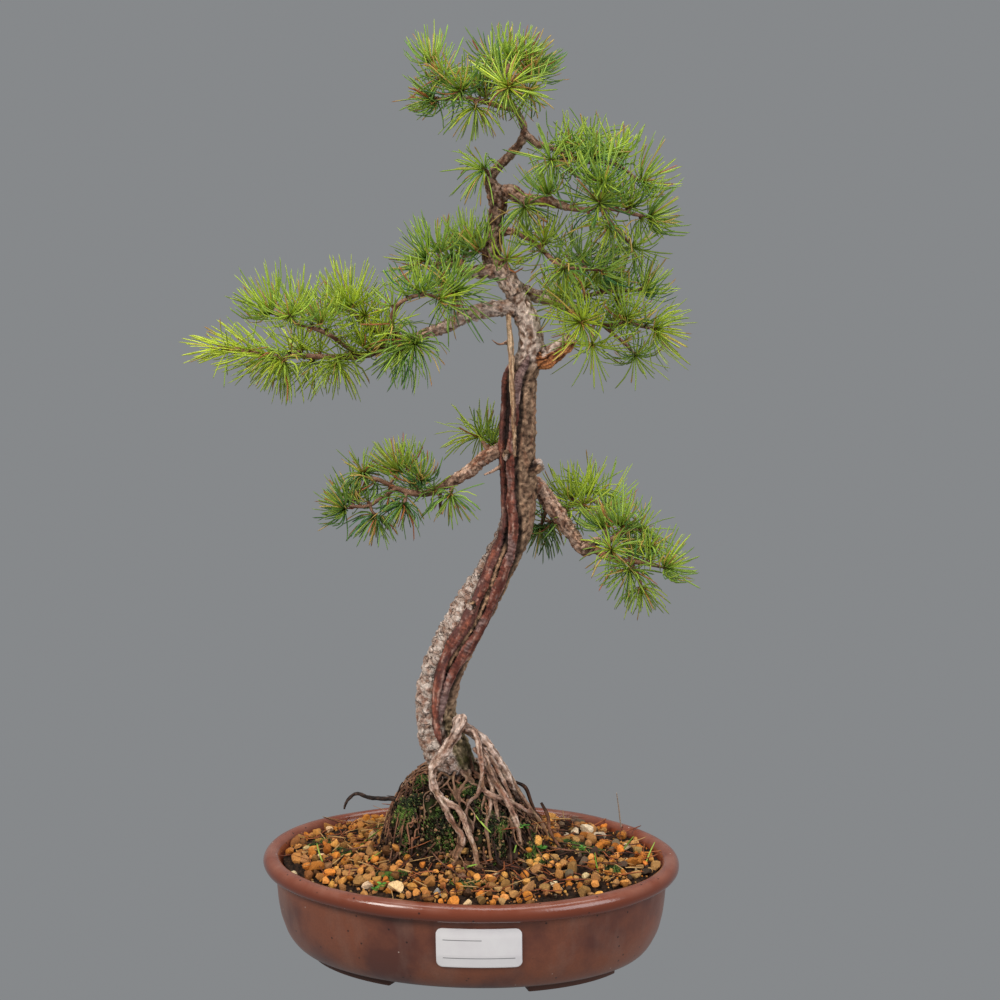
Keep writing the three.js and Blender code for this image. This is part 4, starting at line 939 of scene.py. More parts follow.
class BarkSurface:
    """The relief and the colours of the wood, worked out from where each corner lies on its limb."""

    def __init__(self, piece: Piece, limbs: Sequence[Limb], wood: LarchWood) -> None:
        """Traces the piece's corners on the limbs.

        Args:
            piece: The remeshed wood.
            limbs: The limbs it was made from.
            wood: The wood's sizes.
        """
        self.piece = piece
        self.points = places_of(piece)
        self.normals = normals_of(piece)
        self.limb, station = nearest_on(limbs, self.points)
        count = len(self.points)
        self.kind = np.array([limb.kind.value for limb in limbs])[self.limb]
        self.radius = np.empty(count)
        self.grain = np.empty((count, 3))
        for number, limb in enumerate(limbs):
            mine = np.flatnonzero(self.limb == number)
            at = station[mine]
            offset = self.points[mine] - limb.points[at]
            self.radius[mine] = limb.radii[at]
            across = (offset * limb.normals[at]).sum(1), (offset * limb.binormals[at]).sum(1)
            along = limb.lengths[at] + (offset * limb.tangents[at]).sum(1)
            self.grain[mine] = np.stack([*across, along + 37.0 * number], 1)
        self.angle = np.arctan2(self.grain[:, 1], self.grain[:, 0])
        self.level = self.points[:, 2]
        self.right = np.interp(self.level, *np.array(wood.right_roll, float).T[:2])
        self.left = np.interp(self.level, *np.array(wood.left_roll, float).T[:2])
        self.height = np.zeros(count)
        self.colour = np.tile(tint("7d5a43"), (count, 1))
        self.gloss = np.zeros(count)
        self.flaky = np.zeros(count)

    def on(self, *kinds: Wood) -> np.ndarray:
        """The corners that lie on these kinds of wood."""
        return np.flatnonzero(np.isin(self.kind, [kind.value for kind in kinds]))

    def lay(self, on: np.ndarray, colour: np.ndarray, height: np.ndarray, gloss: np.ndarray | float) -> None:
        """Keeps the colour, the relief in millimetres and the gloss of some corners.

        Args:
            on: The corners' numbers.
            colour: Their linear colours.
            height: How far each is moved out.
            gloss: From 0, dull, to 1, waxy.
        """
        self.colour[on] = colour
        self.height[on] = height
        self.gloss[on] = gloss

    def carve(self) -> None:
        """Lays down the relief and the colours, with a painted highlight on the crests and painted shade in
        the hollows, and moves the corners along their normals.
        """
        self.trunk_bark()
        self.roll_bark()
        self.branch_bark()
        self.root_bark()
        self.bleached_strip()
        self.torn_snag()
        self.dead_runner()
        move_to(self.piece, self.points + self.normals * self.height[:, None])
        hollow = hollows_of(self.piece)
        self.moss_soil_and_painted_shade(hollow)
        # painted highlight: corners that stand above the smoothed surface, on crests and ridges, are made up
        # to 30% brighter
        paint(self.piece, self.colour * (1 + 0.3 * ease(-0.05, -0.4, hollow))[:, None])
        store(self.piece, "grain", self.grain * MM)
        store(self.piece, "gloss", self.gloss)
        store(self.piece, "flaky", self.flaky)

    def trunk_bark(self) -> None:
        """Flaky plates on the left, rough tan bark on the right, a groove with bare wood in between, and
        painted shade in the groove and along the rolls' edges.
        """
        on = self.on(Wood.TRUNK, Wood.KNOT)
        grain = self.grain[on]
        angle = self.angle[on]
        level = self.level[on]
        worn = drifted(grain, 4.0, 1.6)
        rise = clouds(worn, (6.0, 6.0, 3.4), 14.0, 3)
        tone = (ease(-0.35, -0.28, rise) + ease(-0.05, 0.02, rise) + ease(0.25, 0.32, rise)) / 3
        lumps = clouds(grain, (7, 7, 9), 2.0)
        knobbly = clouds(worn, 3.4, 5.0, 2)
        streaks = clouds(grain, (3.0, 3.0, 16.0), 8.0)
        plates = blend("9c7b6b", "d9c8bd", ease(0.1, 0.9, tone))
        plates = blend(plates, "96603f", ease(0.2, 0.65, lumps) * 0.6)
        plates *= (1 - 0.3 * ease(215, 250, level) * ease(400, 340, level))[:, None]
        brown = blend("6f5340", "ad8c70", ease(-0.6, 0.6, knobbly + 0.3 * streaks))
        brown = blend(brown, "8d5a40", ease(0.1, 0.6, streaks) * 0.45) * 0.93
        cream = blend("8f6a55", "dcc5b6", ease(-0.55, 0.35, knobbly + 0.4 * lumps))
        left_edge = np.where(level > 158, self.left[on] - 0.25, self.left[on] + 0.3)
        is_left = ease(0.1, -0.1, angle - left_edge) * ease(-2.6, -2.2, angle)
        is_left = is_left * (1 - 0.7 * ease(300, 345, level))
        behind = ease(1.9, 2.4, np.abs(angle)) * ease(-0.2, 0.3, lumps)
        flaky = np.maximum(is_left, behind)
        colour = blend(brown, plates, flaky)
        above = ease(378, 392, level)
        colour = blend(colour, cream, above)
        low = ease(172, 150, level) * (1 - is_left)
        colour = blend(colour, blend("5d5a36", "a89b7a", ease(-0.4, 0.5, knobbly)), low * 0.6)
        beyond = angle - self.right[on]
        # painted shade: dark lines (25160f) along the crevices where the two rolls meet the bark
        seam_shade = ease(0.52, 0.38, np.abs(angle - self.left[on]) + 0.07 * knobbly) * ease(140, 150, level)
        edge = ease(0.62, 0.48, np.abs(beyond)) * ease(160, 176, level)
        edge = np.maximum(edge, seam_shade) * ease(385, 370, level)
        colour = blend(colour, "25160f", edge * 0.85)
        strip = ease(0.62, 0.7, beyond) * ease(1.1, 0.95, beyond)
        colour = blend(colour, "b98f66", strip * ease(222, 230, level) * ease(250, 243, level))
        middle = (self.right[on] + self.left[on]) / 2
        half = np.maximum((self.right[on] - self.left[on]) / 2, 0.12)
        aside = np.abs(angle - middle) / half
        groove = ease(1.0, 0.7, aside) * ease(176, 190, level) * ease(382, 366, level)
        bare = ease(0.26, 0.1, aside + 0.12 * streaks) * ease(184, 192, level) * ease(272, 262, level)
        # painted shade: the groove between the rolls is near black (2a1712) wherever no bare wood shows in it
        colour = blend(colour, blend("2a1712", "b38b6b", bare), groove)
        height = 1.5 * tone * flaky + 0.9 * knobbly * (1 - flaky) + 0.8 * lumps - 0.4
        height += 1.4 * bare - groove * 0.12 * self.radius[on] - 0.5 * edge
        self.flaky[on] = flaky * (1 - above) * (1 - groove)
        self.lay(on, colour, height, 0.05 + 0.2 * groove)

    def roll_bark(self) -> None:
        """Smooth reddish bark on the rolls, wrinkled across, with grey-violet patches on the right one,
        painted highlights in pale streaks and painted shade in the wrinkles' troughs.
        """
        on = self.on(Wood.ROLL)
        grain = self.grain[on]
        level = self.level[on]
        is_right = (self.limb[on] == 1).astype(float)
        wrinkles = clouds(grain, (5.0, 5.0, 1.2), 3.0)
        patches = clouds(grain, (5.0, 5.0, 14.0), 6.0)
        streaks = clouds(grain, (1.5, 1.5, 13.0), 11.0)
        colour = blend("5c2a20", "9d5a45", ease(-0.5, 0.5, patches + 0.5 * streaks))
        dusky = ease(-0.35, 0.15, clouds(grain, (4, 4, 22), 41.0)) * (1 - is_right)
        colour = blend(colour, "5a3a38", dusky * 0.75)
        grey = (ease(0.0, 0.4, patches) + ease(184, 172, level) + ease(352, 362, level)) * is_right
        violet = blend("5d4644", "97807a", ease(-0.4, 0.5, wrinkles))
        colour = blend(colour, violet, np.clip(grey, 0, 1) * 0.8)
        # painted highlight: pale pinkish streaks stand in for the gloss on the rolls
        colour = blend(colour, "c8a594", ease(0.3, 0.7, streaks) * 0.65)
        # painted shade: the troughs of the wrinkles are darkened
        colour = blend(colour, "331813", ease(0.2, 0.7, -wrinkles) * 0.6)
        colour = blend(colour, "4d3427", ease(0.3, 0.7, clouds(grain, 3.6, 21.0)) * 0.7)
        self.lay(on, colour, 0.26 * wrinkles + 0.3 * clouds(grain, (6, 6, 10), 14.0) + 0.15 * streaks, 0.6)

    def branch_bark(self) -> None:
        """Brown furrowed bark on the leader and the branches, with painted light: paler on top and darker
        below.
        """
        on = self.on(Wood.LEADER, Wood.BRANCH, Wood.TWIG)
        grain = self.grain[on]
        worn = drifted(grain, 3.0, 1.2)
        furrows = clouds(grain, (1.8, 1.8, 6.5), 3.0)
        lumps = clouds(worn, (3.6, 3.6, 3.2), 7.0)
        depth, tone = cells(worn, (2.2, 2.2, 3.0), 5.0)
        bark = blend("6d4b38", "b08d76", ease(-0.5, 0.5, furrows + 0.5 * lumps))
        bark = blend(bark, "8f4f33", ease(0.1, 0.6, clouds(grain, 6.0, 31.0)) * 0.5)
        bark = blend(bark, "ccb09d", ease(0.6, 0.95, tone) * 0.5)
        # painted light and shade: upward faces are brightened and downward faces darkened
        lit = ease(-0.2, 0.8, self.normals[on][:, 2])
        bark = bark * (0.72 + 0.55 * lit)[:, None]
        bark = blend(bark, "35231a", ease(0.12, 0.0, depth) * 0.6)
        small = np.minimum(1.0, self.radius[on] / 4.5)
        self.lay(on, bark, small * (0.5 * furrows + lumps + 0.4 * ease(0.0, 0.2, depth) - 0.3), 0.1)
        crown = self.on(Wood.LEADER, Wood.BRANCH)
        near = ease(60, 30, np.abs(self.points[crown][:, 0] - 20)) * ease(402, 410, self.level[crown])
        near = near * ease(446, 432, self.level[crown])
        cream = blend("8f6a55", "dcc5b6", ease(-0.6, 0.5, clouds(self.grain[crown], 3.0, 2.0)))
        self.colour[crown] = blend(self.colour[crown], cream, near * 0.75)

    def root_bark(self) -> None:
        """Pale skin on the roots, streaked lengthwise, darker towards the soil."""
        on = self.on(Wood.ROOT)
        grain = self.grain[on]
        streaks = clouds(grain, (1.3, 1.3, 12.0), 5.0)
        lumps = clouds(drifted(grain, 4.0, 1.0), (3.4, 3.4, 6.0), 15.0)
        patches = clouds(grain, (3.0, 3.0, 14.0), 25.0)
        skin = blend("8a6552", "c9ab97", ease(-0.5, 0.6, streaks + 0.3 * lumps))
        skin = blend(skin, "8a5640", ease(0.0, 0.5, patches + 0.3 * lumps) * 0.7)
        skin = blend(skin, "402a1e", ease(0.25, 0.6, -streaks) * 0.8)
        skin = blend(skin, "e6d3c6", ease(0.35, 0.8, streaks + 0.4 * lumps) * 0.6)
        skin = blend(skin, "dcc8ba", ease(-0.1, 0.5, lumps) * ease(1.9, 3.0, self.radius[on]) * 0.45)
        thin = ease(1.7, 1.0, self.radius[on])
        several = blend("4a2a1d", "9a7358", ((self.limb[on] * 0.37) % 1.0))
        skin = blend(skin, several, thin * 0.85)
        low = ease(98, 72, self.level[on] + 6 * lumps)
        skin = blend(skin, "8a6240", low * 0.7)
        small = np.minimum(1.0, self.radius[on] / 3.0)
        self.lay(on, skin, small * (0.45 * streaks + 1.15 * lumps), 0.25)

    def bleached_strip(self) -> None:
        """Tan weathered deadwood up the front, with grey drying cracks."""
        on = self.on(Wood.STRIP)
        grain = self.grain[on]
        cracks = clouds(grain, (1.1, 1.1, 14.0), 5.0)
        colour = blend("9a7152", "dcbb96", ease(-0.45, 0.5, cracks))
        colour = blend(colour, "7f7068", ease(0.2, 0.7, clouds(grain, (3, 3, 12), 9.0)) * 0.5)
        colour = blend(colour, "3b281d", ease(0.5, 0.85, -cracks))
        self.lay(on, colour, 0.5 * cracks + 0.4 * clouds(grain, (4, 4, 10), 2.0), 0.15)

    def torn_snag(self) -> None:
        """A broken branch end: rusty torn fibres in front, grey bark behind."""
        on = self.on(Wood.SNAG)
        grain = self.grain[on]
        fibres = clouds(grain, (1.3, 1.3, 8.0), 5.0)
        lumps = clouds(grain, 4.0, 12.0)
        top = ease(0.25, 0.6, self.normals[on][:, 2] + 0.25 * lumps)
        torn = blend("5a2c18", "c07b4a", ease(-0.5, 0.4, fibres + 0.4 * lumps))
        skin = blend("8f6a55", "dcc5b6", ease(-0.5, 0.4, lumps))
        hollow = ease(42, 50, self.points[on][:, 0]) * ease(0.5, 0.9, np.cos(self.angle[on]))
        height = 0.9 * fibres + 0.9 * lumps - hollow * 0.5 * self.radius[on]
        self.lay(on, blend(torn, skin, top), height, 0.1)

    def dead_runner(self) -> None:
        """A thin black root that lies out to the left."""
        on = self.on(Wood.RUNNER)
        rough = clouds(self.grain[on], (1.6, 1.6, 4.0), 5.0)
        self.lay(on, blend("1c1512", "4d3a30", ease(-0.2, 0.7, rough)), 0.35 * rough, 0.0)

    def moss_soil_and_painted_shade(self, hollow: np.ndarray) -> None:
        """Moss and soil on the root base, and painted shade: darker wood in every fork and hollow.

        Args:
            hollow: How far each corner lies below the smoothed surface.
        """
        # painted shade: the wood is darkened in forks, creases and hollows, where shade falls
        shade = ease(0.06, 0.5, hollow) * 0.8
        self.colour = blend(self.colour, "1d130d", shade)
        on = self.on(Wood.TRUNK, Wood.ROOT, Wood.ROLL)
        spots = clouds(self.points[on], 4.0, 40.0)
        base = ease(150, 122, self.level[on] + 8 * spots)
        base *= ease(-1.5, 1.0, self.normals[on][:, 1] + 2 * spots)
        trunk = self.kind[on] == Wood.TRUNK.value
        mossy = blend("33331a", "6f7a38", ease(-0.2, 0.6, spots))
        self.colour[on] = blend(self.colour[on], mossy, base * np.where(trunk, 0.6, 0.15))
        soil = ease(76, 62, self.level[on] + 3 * spots)
        self.colour[on] = blend(self.colour[on], "2b1d14", soil * 0.8)


@dataclass(frozen=True)
class BarkFinish:
    """Bark: painted colours with fine lengthwise grain, flakes and pits on top, darker in the bump's lows and
    lighter on its highs as painted shade and light.
    """

    dull: float = 0.88
    waxy: float = 0.42

    def material(self) -> Material:
        """The bark's material.

        Returns:
            The material.
        """
        shader = Shader("bark", Specular_IOR_Level=0.35)
        grain = shader.attribute("grain", "Vector")
        gloss = shader.attribute("gloss", "Fac")
        flaky = shader.attribute("flaky", "Fac")
        worn = shader.warped(grain, 4.0, 1.0)
        leaf = shader.stretched(worn, (1.0, 1.0, 1.9))
        edges = shader.cracks(7.0, leaf, 0.026)
        chips = shader.ramp(shader.cracks(3.6, leaf, 0.034), 0.0, 1.0, 0.42, 1.0)
        tone = shader.noise(5.5, 4.0, leaf, 0.6)
        fine = shader.noise(1.0, 5.0, shader.stretched(grain, (1, 1, 0.45)), 0.65)
        coarse = shader.noise(1.9, 5.0, worn, 0.65)
        pale = shader.mix(shader.ramp(tone, 0.38, 0.6), "a67f69", "f1e0d2")
        rusty = shader.ramp(shader.noise(7.0, 4.0, worn), 0.55, 0.62, 0.0, 0.6)
        pale = shader.mix(rusty, pale, "a05f3e")
        pale = shader.mix(shader.times(edges, chips), "2f1d15", pale)
        colour = shader.mix(shader.times(flaky, 0.8), shader.attribute("tint"), pale)
        matt = shader.maths("SUBTRACT", 1.0, gloss)
        rough = shader.times(matt, shader.maths("SUBTRACT", 1.0, shader.times(flaky, 0.7)))
        # painted shade and light: the colour darkens in the low places of the coarse and fine bump noise and
        # brightens on its highs, over the bark's own tint
        lumps = shader.maths("MULTIPLY_ADD", shader.ramp(coarse, 0.36, 0.62, -0.34, 0.24), rough, 1.0)
        shade = shader.times(shader.ramp(fine, 0.3, 0.72, 0.66, 1.36), lumps)
        shader.drive("Base Color", shader.shaded(colour, shade))
        shader.drive("Roughness", shader.ramp(gloss, 0.0, 1.0, self.dull, self.waxy))
        plates = shader.times(shader.maths("MULTIPLY_ADD", tone, 0.7, edges), flaky)
        height = shader.maths("ADD", shader.maths("MULTIPLY_ADD", coarse, 1.4, fine), plates)
        shader.bump(height, 0.8, 0.9)
        return shader.material


@dataclass(frozen=True)
class PaintedFinish:
    """Painted colours under a fine mottle, with small bumps: needles, twigs, clay and soft growth.

    The mottle and the bumps are noises, each given by its size in millimetres, its detail and its roughness.
    The paint is shaded from one of the two shades to the other as the mottle runs between the two levels.
    """

    name: str
    roughness: float
    specular: float = 0.3
    mottle: tuple[float, float, float] = (3.0, 3.0, 0.55)
    levels: tuple[float, float] = (0.3, 0.7)
    shades: tuple[float, float] = (0.8, 1.2)
    bumps: tuple[float, float, float] = (1.0, 2.0, 0.55)
    depth: float = 0.3
    strength: float = 0.5

    def material(self) -> Material:
        """The finish's material.

        Returns:
            The material.
        """
        shader = Shader(self.name, Roughness=self.roughness, Specular_IOR_Level=self.specular)
        size, detail, rough = self.mottle
        shade = shader.ramp(shader.noise(size, detail, rough=rough), *self.levels, *self.shades)
        shader.drive("Base Color", shader.shaded(shader.attribute("tint"), shade))
        if self.depth:
            size, detail, rough = self.bumps
            shader.bump(shader.noise(size, detail, rough=rough), self.depth, self.strength)
        return shader.material


NEEDLE_SKIN = PaintedFinish(
    "needles", roughness=0.42, specular=0.4, mottle=(5.0, 2.0, 0.55), shades=(0.88, 1.12), depth=0.0)
TWIG_BARK = PaintedFinish(
    "twigs", roughness=0.8, mottle=(1.1, 4.0, 0.55), shades=(0.6, 1.4), bumps=(1.1, 4.0, 0.55), depth=0.5,
    strength=0.8)
BAKED_CLAY = PaintedFinish(
    "baked_clay", roughness=0.85, mottle=(1.0, 4.0, 0.65), levels=(0.3, 0.72), shades=(0.68, 1.3),
    bumps=(1.0, 4.0, 0.65), depth=0.5, strength=0.8)


class Hue(Enum):
    """The needles' colours, the greens first and then the dry ones."""

    LIME = "cbdb3c"
    FRESH = "abc948"
    LEAF = "7fa447"
    DEEP = "456f38"
    BLUE = "4c8a52"
    STRAW = "d2b25c"
    RUST = "b0683c"


PALETTE = tints(*(hue.value for hue in Hue))
GREENS = 5


class Tone(Enum):
    """How fresh a spray is: the share of each hue in it."""

    BRIGHT = (0.36, 0.34, 0.18, 0.06, 0.02, 0.03, 0.01)
    FRESH = (0.14, 0.3, 0.3, 0.15, 0.07, 0.03, 0.01)
    MIXED = (0.11, 0.22, 0.29, 0.2, 0.09, 0.06, 0.03)
    AGED = (0.06, 0.13, 0.28, 0.29, 0.09, 0.09, 0.06)

    @property
    def reach(self) -> float:
        """How long the needles are, as a share of the usual length."""
        return {"BRIGHT": 1.04, "FRESH": 1.0, "MIXED": 0.87, "AGED": 0.8}[self.name]


@dataclass(frozen=True)
class Tuft:
    """A rosette of needles on one bud: its middle, the way it faces and its share of the needles."""

    at: Sequence[float]
    facing: Sequence[float]
    needles: int


@dataclass(frozen=True)
class SprayPlan:
    """One spray: its CAD node, its freshness, its twigs, its tufts and, on one spray, a long young shoot."""

    node: str
    tone: Tone
    twigs: tuple[Route, ...]
    tufts: tuple[Tuft, ...]
    long_shoot: Route = ()


SPRAYS: tuple[SprayPlan, ...] = (
    SprayPlan("spray_apex_right", Tone.MIXED, (
        ((23, -5, 543, 1.6), (19, -6, 549, 1.7), (22, -8, 555, 1.6), (24, -6, 560, 1.4),
         (26, -2, 566, 1.2)),
        ((22, -8, 552, 1.4), (29, -4, 554, 1.3), (35, 0, 555, 1.2), (39, 2, 557, 1.1)),
        ((23, -7, 556, 1.3), (18, 10, 559, 1.2), (13, 22, 562, 1.1)),
    ), (
        Tuft((26, -20, 550), (0, -1, 0.1), 20),
        Tuft((26, -2, 567), (0.1, 0, 1), 16),
        Tuft((12, 24, 563), (-0.2, 0.8, 0.6), 14),
        Tuft((39, 2, 558), (0.45, 0, 0.8), 16),
        Tuft((37, -12, 548), (0.4, -0.8, -0.3), 14),
        Tuft((35, 8, 564), (0.4, 0.5, 0.8), 14),
    )),
    SprayPlan("spray_apex_left", Tone.MIXED, (
        ((28, -5, 536, 1.4), (21, -9, 538, 1.7), (11, -10, 541, 1.7), (0, -11, 543, 1.5),
         (-11, -13, 543, 1.3), (-17, -14, 543, 1.1)),
        ((-6, -12, 543, 1.3), (-12, -8, 551, 1.2), (-18, -4, 560, 1.1), (-22, -2, 564, 1)),
    ), (
        Tuft((6, -16, 538), (0, -0.6, -0.8), 14),
        Tuft((8, -2, 548), (-0.1, 0.5, 0.8), 12),
        Tuft((-13, -12, 555), (-0.3, -0.6, 0.8), 14),
        Tuft((-22, -1, 564), (-0.4, 0.2, 0.9), 12),
        Tuft((-19, -14, 543), (-1, -0.2, -0.1), 16),
        Tuft((-2, -22, 548), (-0.1, -0.9, 0.4), 14),
    )),
    SprayPlan("spray_leader_left", Tone.FRESH, (
        ((14, 3, 496, 1.6), (11, 0, 499, 1.4)),
    ), (
        Tuft((10, -2, 500), (-0.8, -0.4, 0.5), 14),
    )),
    SprayPlan("spray_shoulder_upper", Tone.FRESH, (
        ((47, -4, 515, 1.7), (51, -5, 514, 1.9), (59, -6, 511, 1.7), (68, -4, 507, 1.6),
         (76, -2, 505, 1.5), (84, 2, 505, 1.4), (92, 5, 502, 1.2), (102, 7, 494, 1.1)),
        ((56, -6, 513, 1.4), (62, -12, 501, 1.3), (71, -16, 497, 1.2), (81, -18, 495, 1.1)),
    ), (
        Tuft((51, -12, 507), (0, -0.8, 0.1), 12),
        Tuft((61, 2, 515), (0, 0.2, 1), 14),
        Tuft((75, -8, 508), (0.2, -0.4, 0.9), 16),
        Tuft((71, 20, 514), (0, 0.7, 0.7), 12),
        Tuft((89, 6, 509), (0.3, 0, 1), 16),
        Tuft((83, -22, 495), (0.1, -1, 0.1), 16),
        Tuft((104, 8, 494), (0.9, 0, 0.3), 16),
    )),
    SprayPlan("spray_shoulder_lower", Tone.FRESH, (
        ((56, -8, 480, 2), (61, -10, 479, 2.2), (71, -14, 478, 1.8), (80, -12, 479, 1.6),
         (91, -4, 477, 1.4), (100, 4, 474, 1.2), (107, 9, 472, 1.1)),
        ((81, -12, 479, 1.4), (86, -4, 470, 1.3), (92, 4, 462, 1.2), (96, 10, 457, 1.1)),
    ), (
        Tuft((49, -10, 487), (-0.2, -0.3, 0.9), 12),
        Tuft((81, -24, 483), (0, -1, 0.1), 18),
        Tuft((109, 10, 472), (1, 0, 0.1), 16),
        Tuft((98, 12, 454), (0.5, 0.1, -0.8), 16),
        Tuft((86, -12, 468), (0.1, -0.7, -0.6), 12),
        Tuft((81, 8, 483), (0.1, 0.8, 0.5), 12),
        Tuft((98, 0, 479), (0.3, -0.5, 0.8), 12),
    )),
    SprayPlan("spray_shoulder_near", Tone.MIXED, (
        ((33, 0, 483, 1.4), (35, -5, 480, 1.3)),
    ), (
        Tuft((35, -8, 479), (0.1, -0.6, -0.7), 12),
    )),
    SprayPlan("spray_inner_right", Tone.FRESH, (
        ((25, 3, 463, 1.8), (28, 2, 463, 2), (38, -2, 458, 1.8), (46, -5, 452, 1.6), (56, -8, 444, 1.4),
         (68, -6, 442, 1.2), (79, -2, 441, 1.1)),
    ), (
        Tuft((47, -8, 458), (0, -0.3, 0.9), 12),
        Tuft((59, -14, 442), (0, -0.8, -0.4), 14),
        Tuft((81, 0, 440), (0.9, 0.1, 0), 14),
        Tuft((68, 8, 446), (0.2, 0.8, 0.5), 12),
    )),
    SprayPlan("spray_trunk_left", Tone.MIXED, (
        ((13, 3, 447, 1.6), (9, 0, 450, 1.4)),
    ), (
        Tuft((7, -2, 452), (-0.8, -0.3, 0.6), 14),
    )),
    SprayPlan("spray_trunk_right", Tone.FRESH, (
        ((17, 2, 446, 1.6), (21, -2, 446, 1.4)),
    ), (
        Tuft((24, -6, 447), (0.6, -0.6, 0.3), 12),
    )),
    SprayPlan("spray_crown_right_front", Tone.BRIGHT, (
        ((47, 9, 421, 2.3), (53, 8, 419, 2.4), (59, 4, 415, 2), (66, -4, 412, 1.6), (69, -12, 410, 1.3)),
        ((60, 3, 415, 1.6), (74, 5, 408, 1.5), (86, 8, 406, 1.4), (96, 10, 407, 1.2), (109, 12, 404, 1.1)),
        ((80, 7, 407, 1.2), (91, 8, 398, 1.1), (99, 8, 391, 1)),
    ), (
        Tuft((70, -20, 411), (0, -1, 0.1), 20),
        Tuft((58, 0, 424), (-0.1, -0.5, 0.8), 12),
        Tuft((76, -6, 396), (0, -0.5, -0.9), 14),
        Tuft((96, 2, 411), (0.3, -0.8, 0.4), 16),
        Tuft((113, 12, 403), (1, 0, -0.1), 16),
        Tuft((101, 8, 388), (0.4, 0, -0.9), 14),
    )),
    SprayPlan("spray_crown_right_back", Tone.FRESH, (
        ((52, 17, 422, 1.8), (58, 19, 422, 1.8), (67, 20, 422, 1.6), (86, 22, 425, 1.3),
         (102, 20, 426, 1.1)),
    ), (
        Tuft((68, 24, 427), (-0.1, 0.2, 1), 14),
        Tuft((90, 14, 421), (0.1, -0.9, -0.2), 12),
        Tuft((84, 32, 427), (0, 0.8, 0.5), 12),
        Tuft((105, 20, 427), (0.9, 0, 0.4), 16),
    )),
    SprayPlan("spray_long_branch_end", Tone.BRIGHT, (
        ((-41, -18, 396, 2.6), (-46, -18, 395, 2.8), (-61, -17, 389, 2.4), (-79, -15, 387, 2),
         (-97, -13, 387, 1.7), (-109, -12, 387, 1.5), (-118, -12, 385, 1.4), (-130, -16, 388, 1.2),
         (-142, -18, 391, 1.1), (-152, -20, 393, 1)),
        ((-65, -17, 389, 1.6), (-73, -22, 395, 1.6), (-81, -28, 402, 1.5), (-88, -32, 406, 1.4),
         (-102, -36, 411, 1.3), (-111, -38, 415, 1.2)),
    ), (
        Tuft((-115, -38, 417), (-0.7, -0.3, 0.6), 20),
        Tuft((-102, -47, 416), (0.1, -1, 0.3), 14),
        Tuft((-102, -26, 416), (0, 0.6, 0.8), 12),
        Tuft((-86, -34, 411), (0.1, -0.2, 1), 12),
        Tuft((-112, -18, 384), (-0.3, -0.7, -0.6), 14),
        Tuft((-104, -4, 389), (-0.2, 0.5, 0.8), 12),
        Tuft((-80, -16, 384), (0, -0.4, -0.9), 14),
        Tuft((-96, -8, 383), (0, 0.7, -0.5), 12),
        Tuft((-61, -20, 394), (0.1, -0.4, 0.9), 10),
        Tuft((-118, -13, 386), (-0.5, -0.2, -0.7), 14),
    ), ((-118, -13, 386, 1.1), (-130, -15, 389, 1), (-144, -17, 392, 0.9), (-156, -19, 392, 0.7))),
    SprayPlan("spray_long_branch_crest", Tone.BRIGHT, (
        ((-37, -17, 398, 1.6), (-42, -13, 401, 1.7), (-54, -9, 402, 1.6), (-65, -8, 408, 1.4),
         (-71, -8, 415, 1.2)),
    ), (
        Tuft((-71, -12, 418), (0, -0.5, 0.9), 20),
        Tuft((-80, 2, 414), (-0.5, 0.6, 0.6), 14),
        Tuft((-62, -16, 413), (0.3, -0.9, 0.4), 14),
        Tuft((-54, -2, 397), (0.4, 0.8, 0.5), 14),
    )),
    SprayPlan("spray_long_branch_near", Tone.FRESH, (
        ((-33, -19, 398, 1.6), (-31, -24, 398, 1.5)),
        ((-31, -21, 398, 1.3), (-37, -26, 393, 1.2)),
    ), (
        Tuft((-30, -28, 398), (0.1, -1, -0.2), 20),
        Tuft((-40, -25, 393), (-0.5, -0.4, -0.7), 12),
    )),
    SprayPlan("spray_inner_left", Tone.FRESH, (
        ((1, -5, 438, 2.6), (-2, -6, 438, 2.8), (-8, -8, 443, 2), (-18, -10, 444, 1.5),
         (-24, -11, 445, 1.2)),
        ((-5, -7, 440, 1.5), (-3, -2, 447, 1.3), (-1, 2, 452, 1.2)),
    ), (
        Tuft((-17, -8, 451), (-0.1, 0, 1), 12),
        Tuft((-25, -12, 447), (-0.8, -0.3, 0.4), 14),
        Tuft((0, 3, 454), (0.1, 0.2, 1), 12),
        Tuft((-11, 4, 445), (-0.2, 0.9, 0.3), 12),
    )),
    SprayPlan("spray_inner_left_face", Tone.FRESH, (
        ((-6, -13, 422, 1.8), (-6, -15, 424, 1.7), (-7, -20, 428, 1.4)),
    ), (
        Tuft((-6, -23, 429), (0, -1, 0.2), 20),
        Tuft((-12, -12, 431), (-0.5, 0.2, 0.8), 12),
    )),
    SprayPlan("spray_long_branch_sprig", Tone.FRESH, (
        ((-43, -18, 396, 1.4), (-44, -22, 401, 1.5), (-44, -27, 411, 1.4), (-40, -30, 421, 1.3),
         (-25, -32, 428, 1.2), (-16, -33, 427, 1.1)),
    ), (
        Tuft((-26, -33, 430), (0, -0.3, 1), 12),
        Tuft((-14, -34, 426), (0.9, -0.4, 0.1), 10),
    )),
    SprayPlan("spray_low_left_end", Tone.AGED, (
        ((-11, -7, 308, 2.6), (-15, -8, 307, 2.8), (-27, -10, 302, 2.2), (-42, -13, 305, 1.7),
         (-54, -15, 311, 1.4), (-63, -14, 313, 1.2)),
        ((-44, -14, 306, 1.4), (-54, -16, 299, 1.3), (-62, -18, 295, 1.2), (-72, -19, 295, 1.1)),
    ), (
        Tuft((-42, -16, 317), (0, -0.4, 0.9), 20),
        Tuft((-28, -20, 313), (0.2, -0.8, 0.5), 14),
        Tuft((-64, -12, 314), (-0.6, 0.2, 0.8), 14),
        Tuft((-39, -20, 297), (0, -0.5, -0.8), 12),
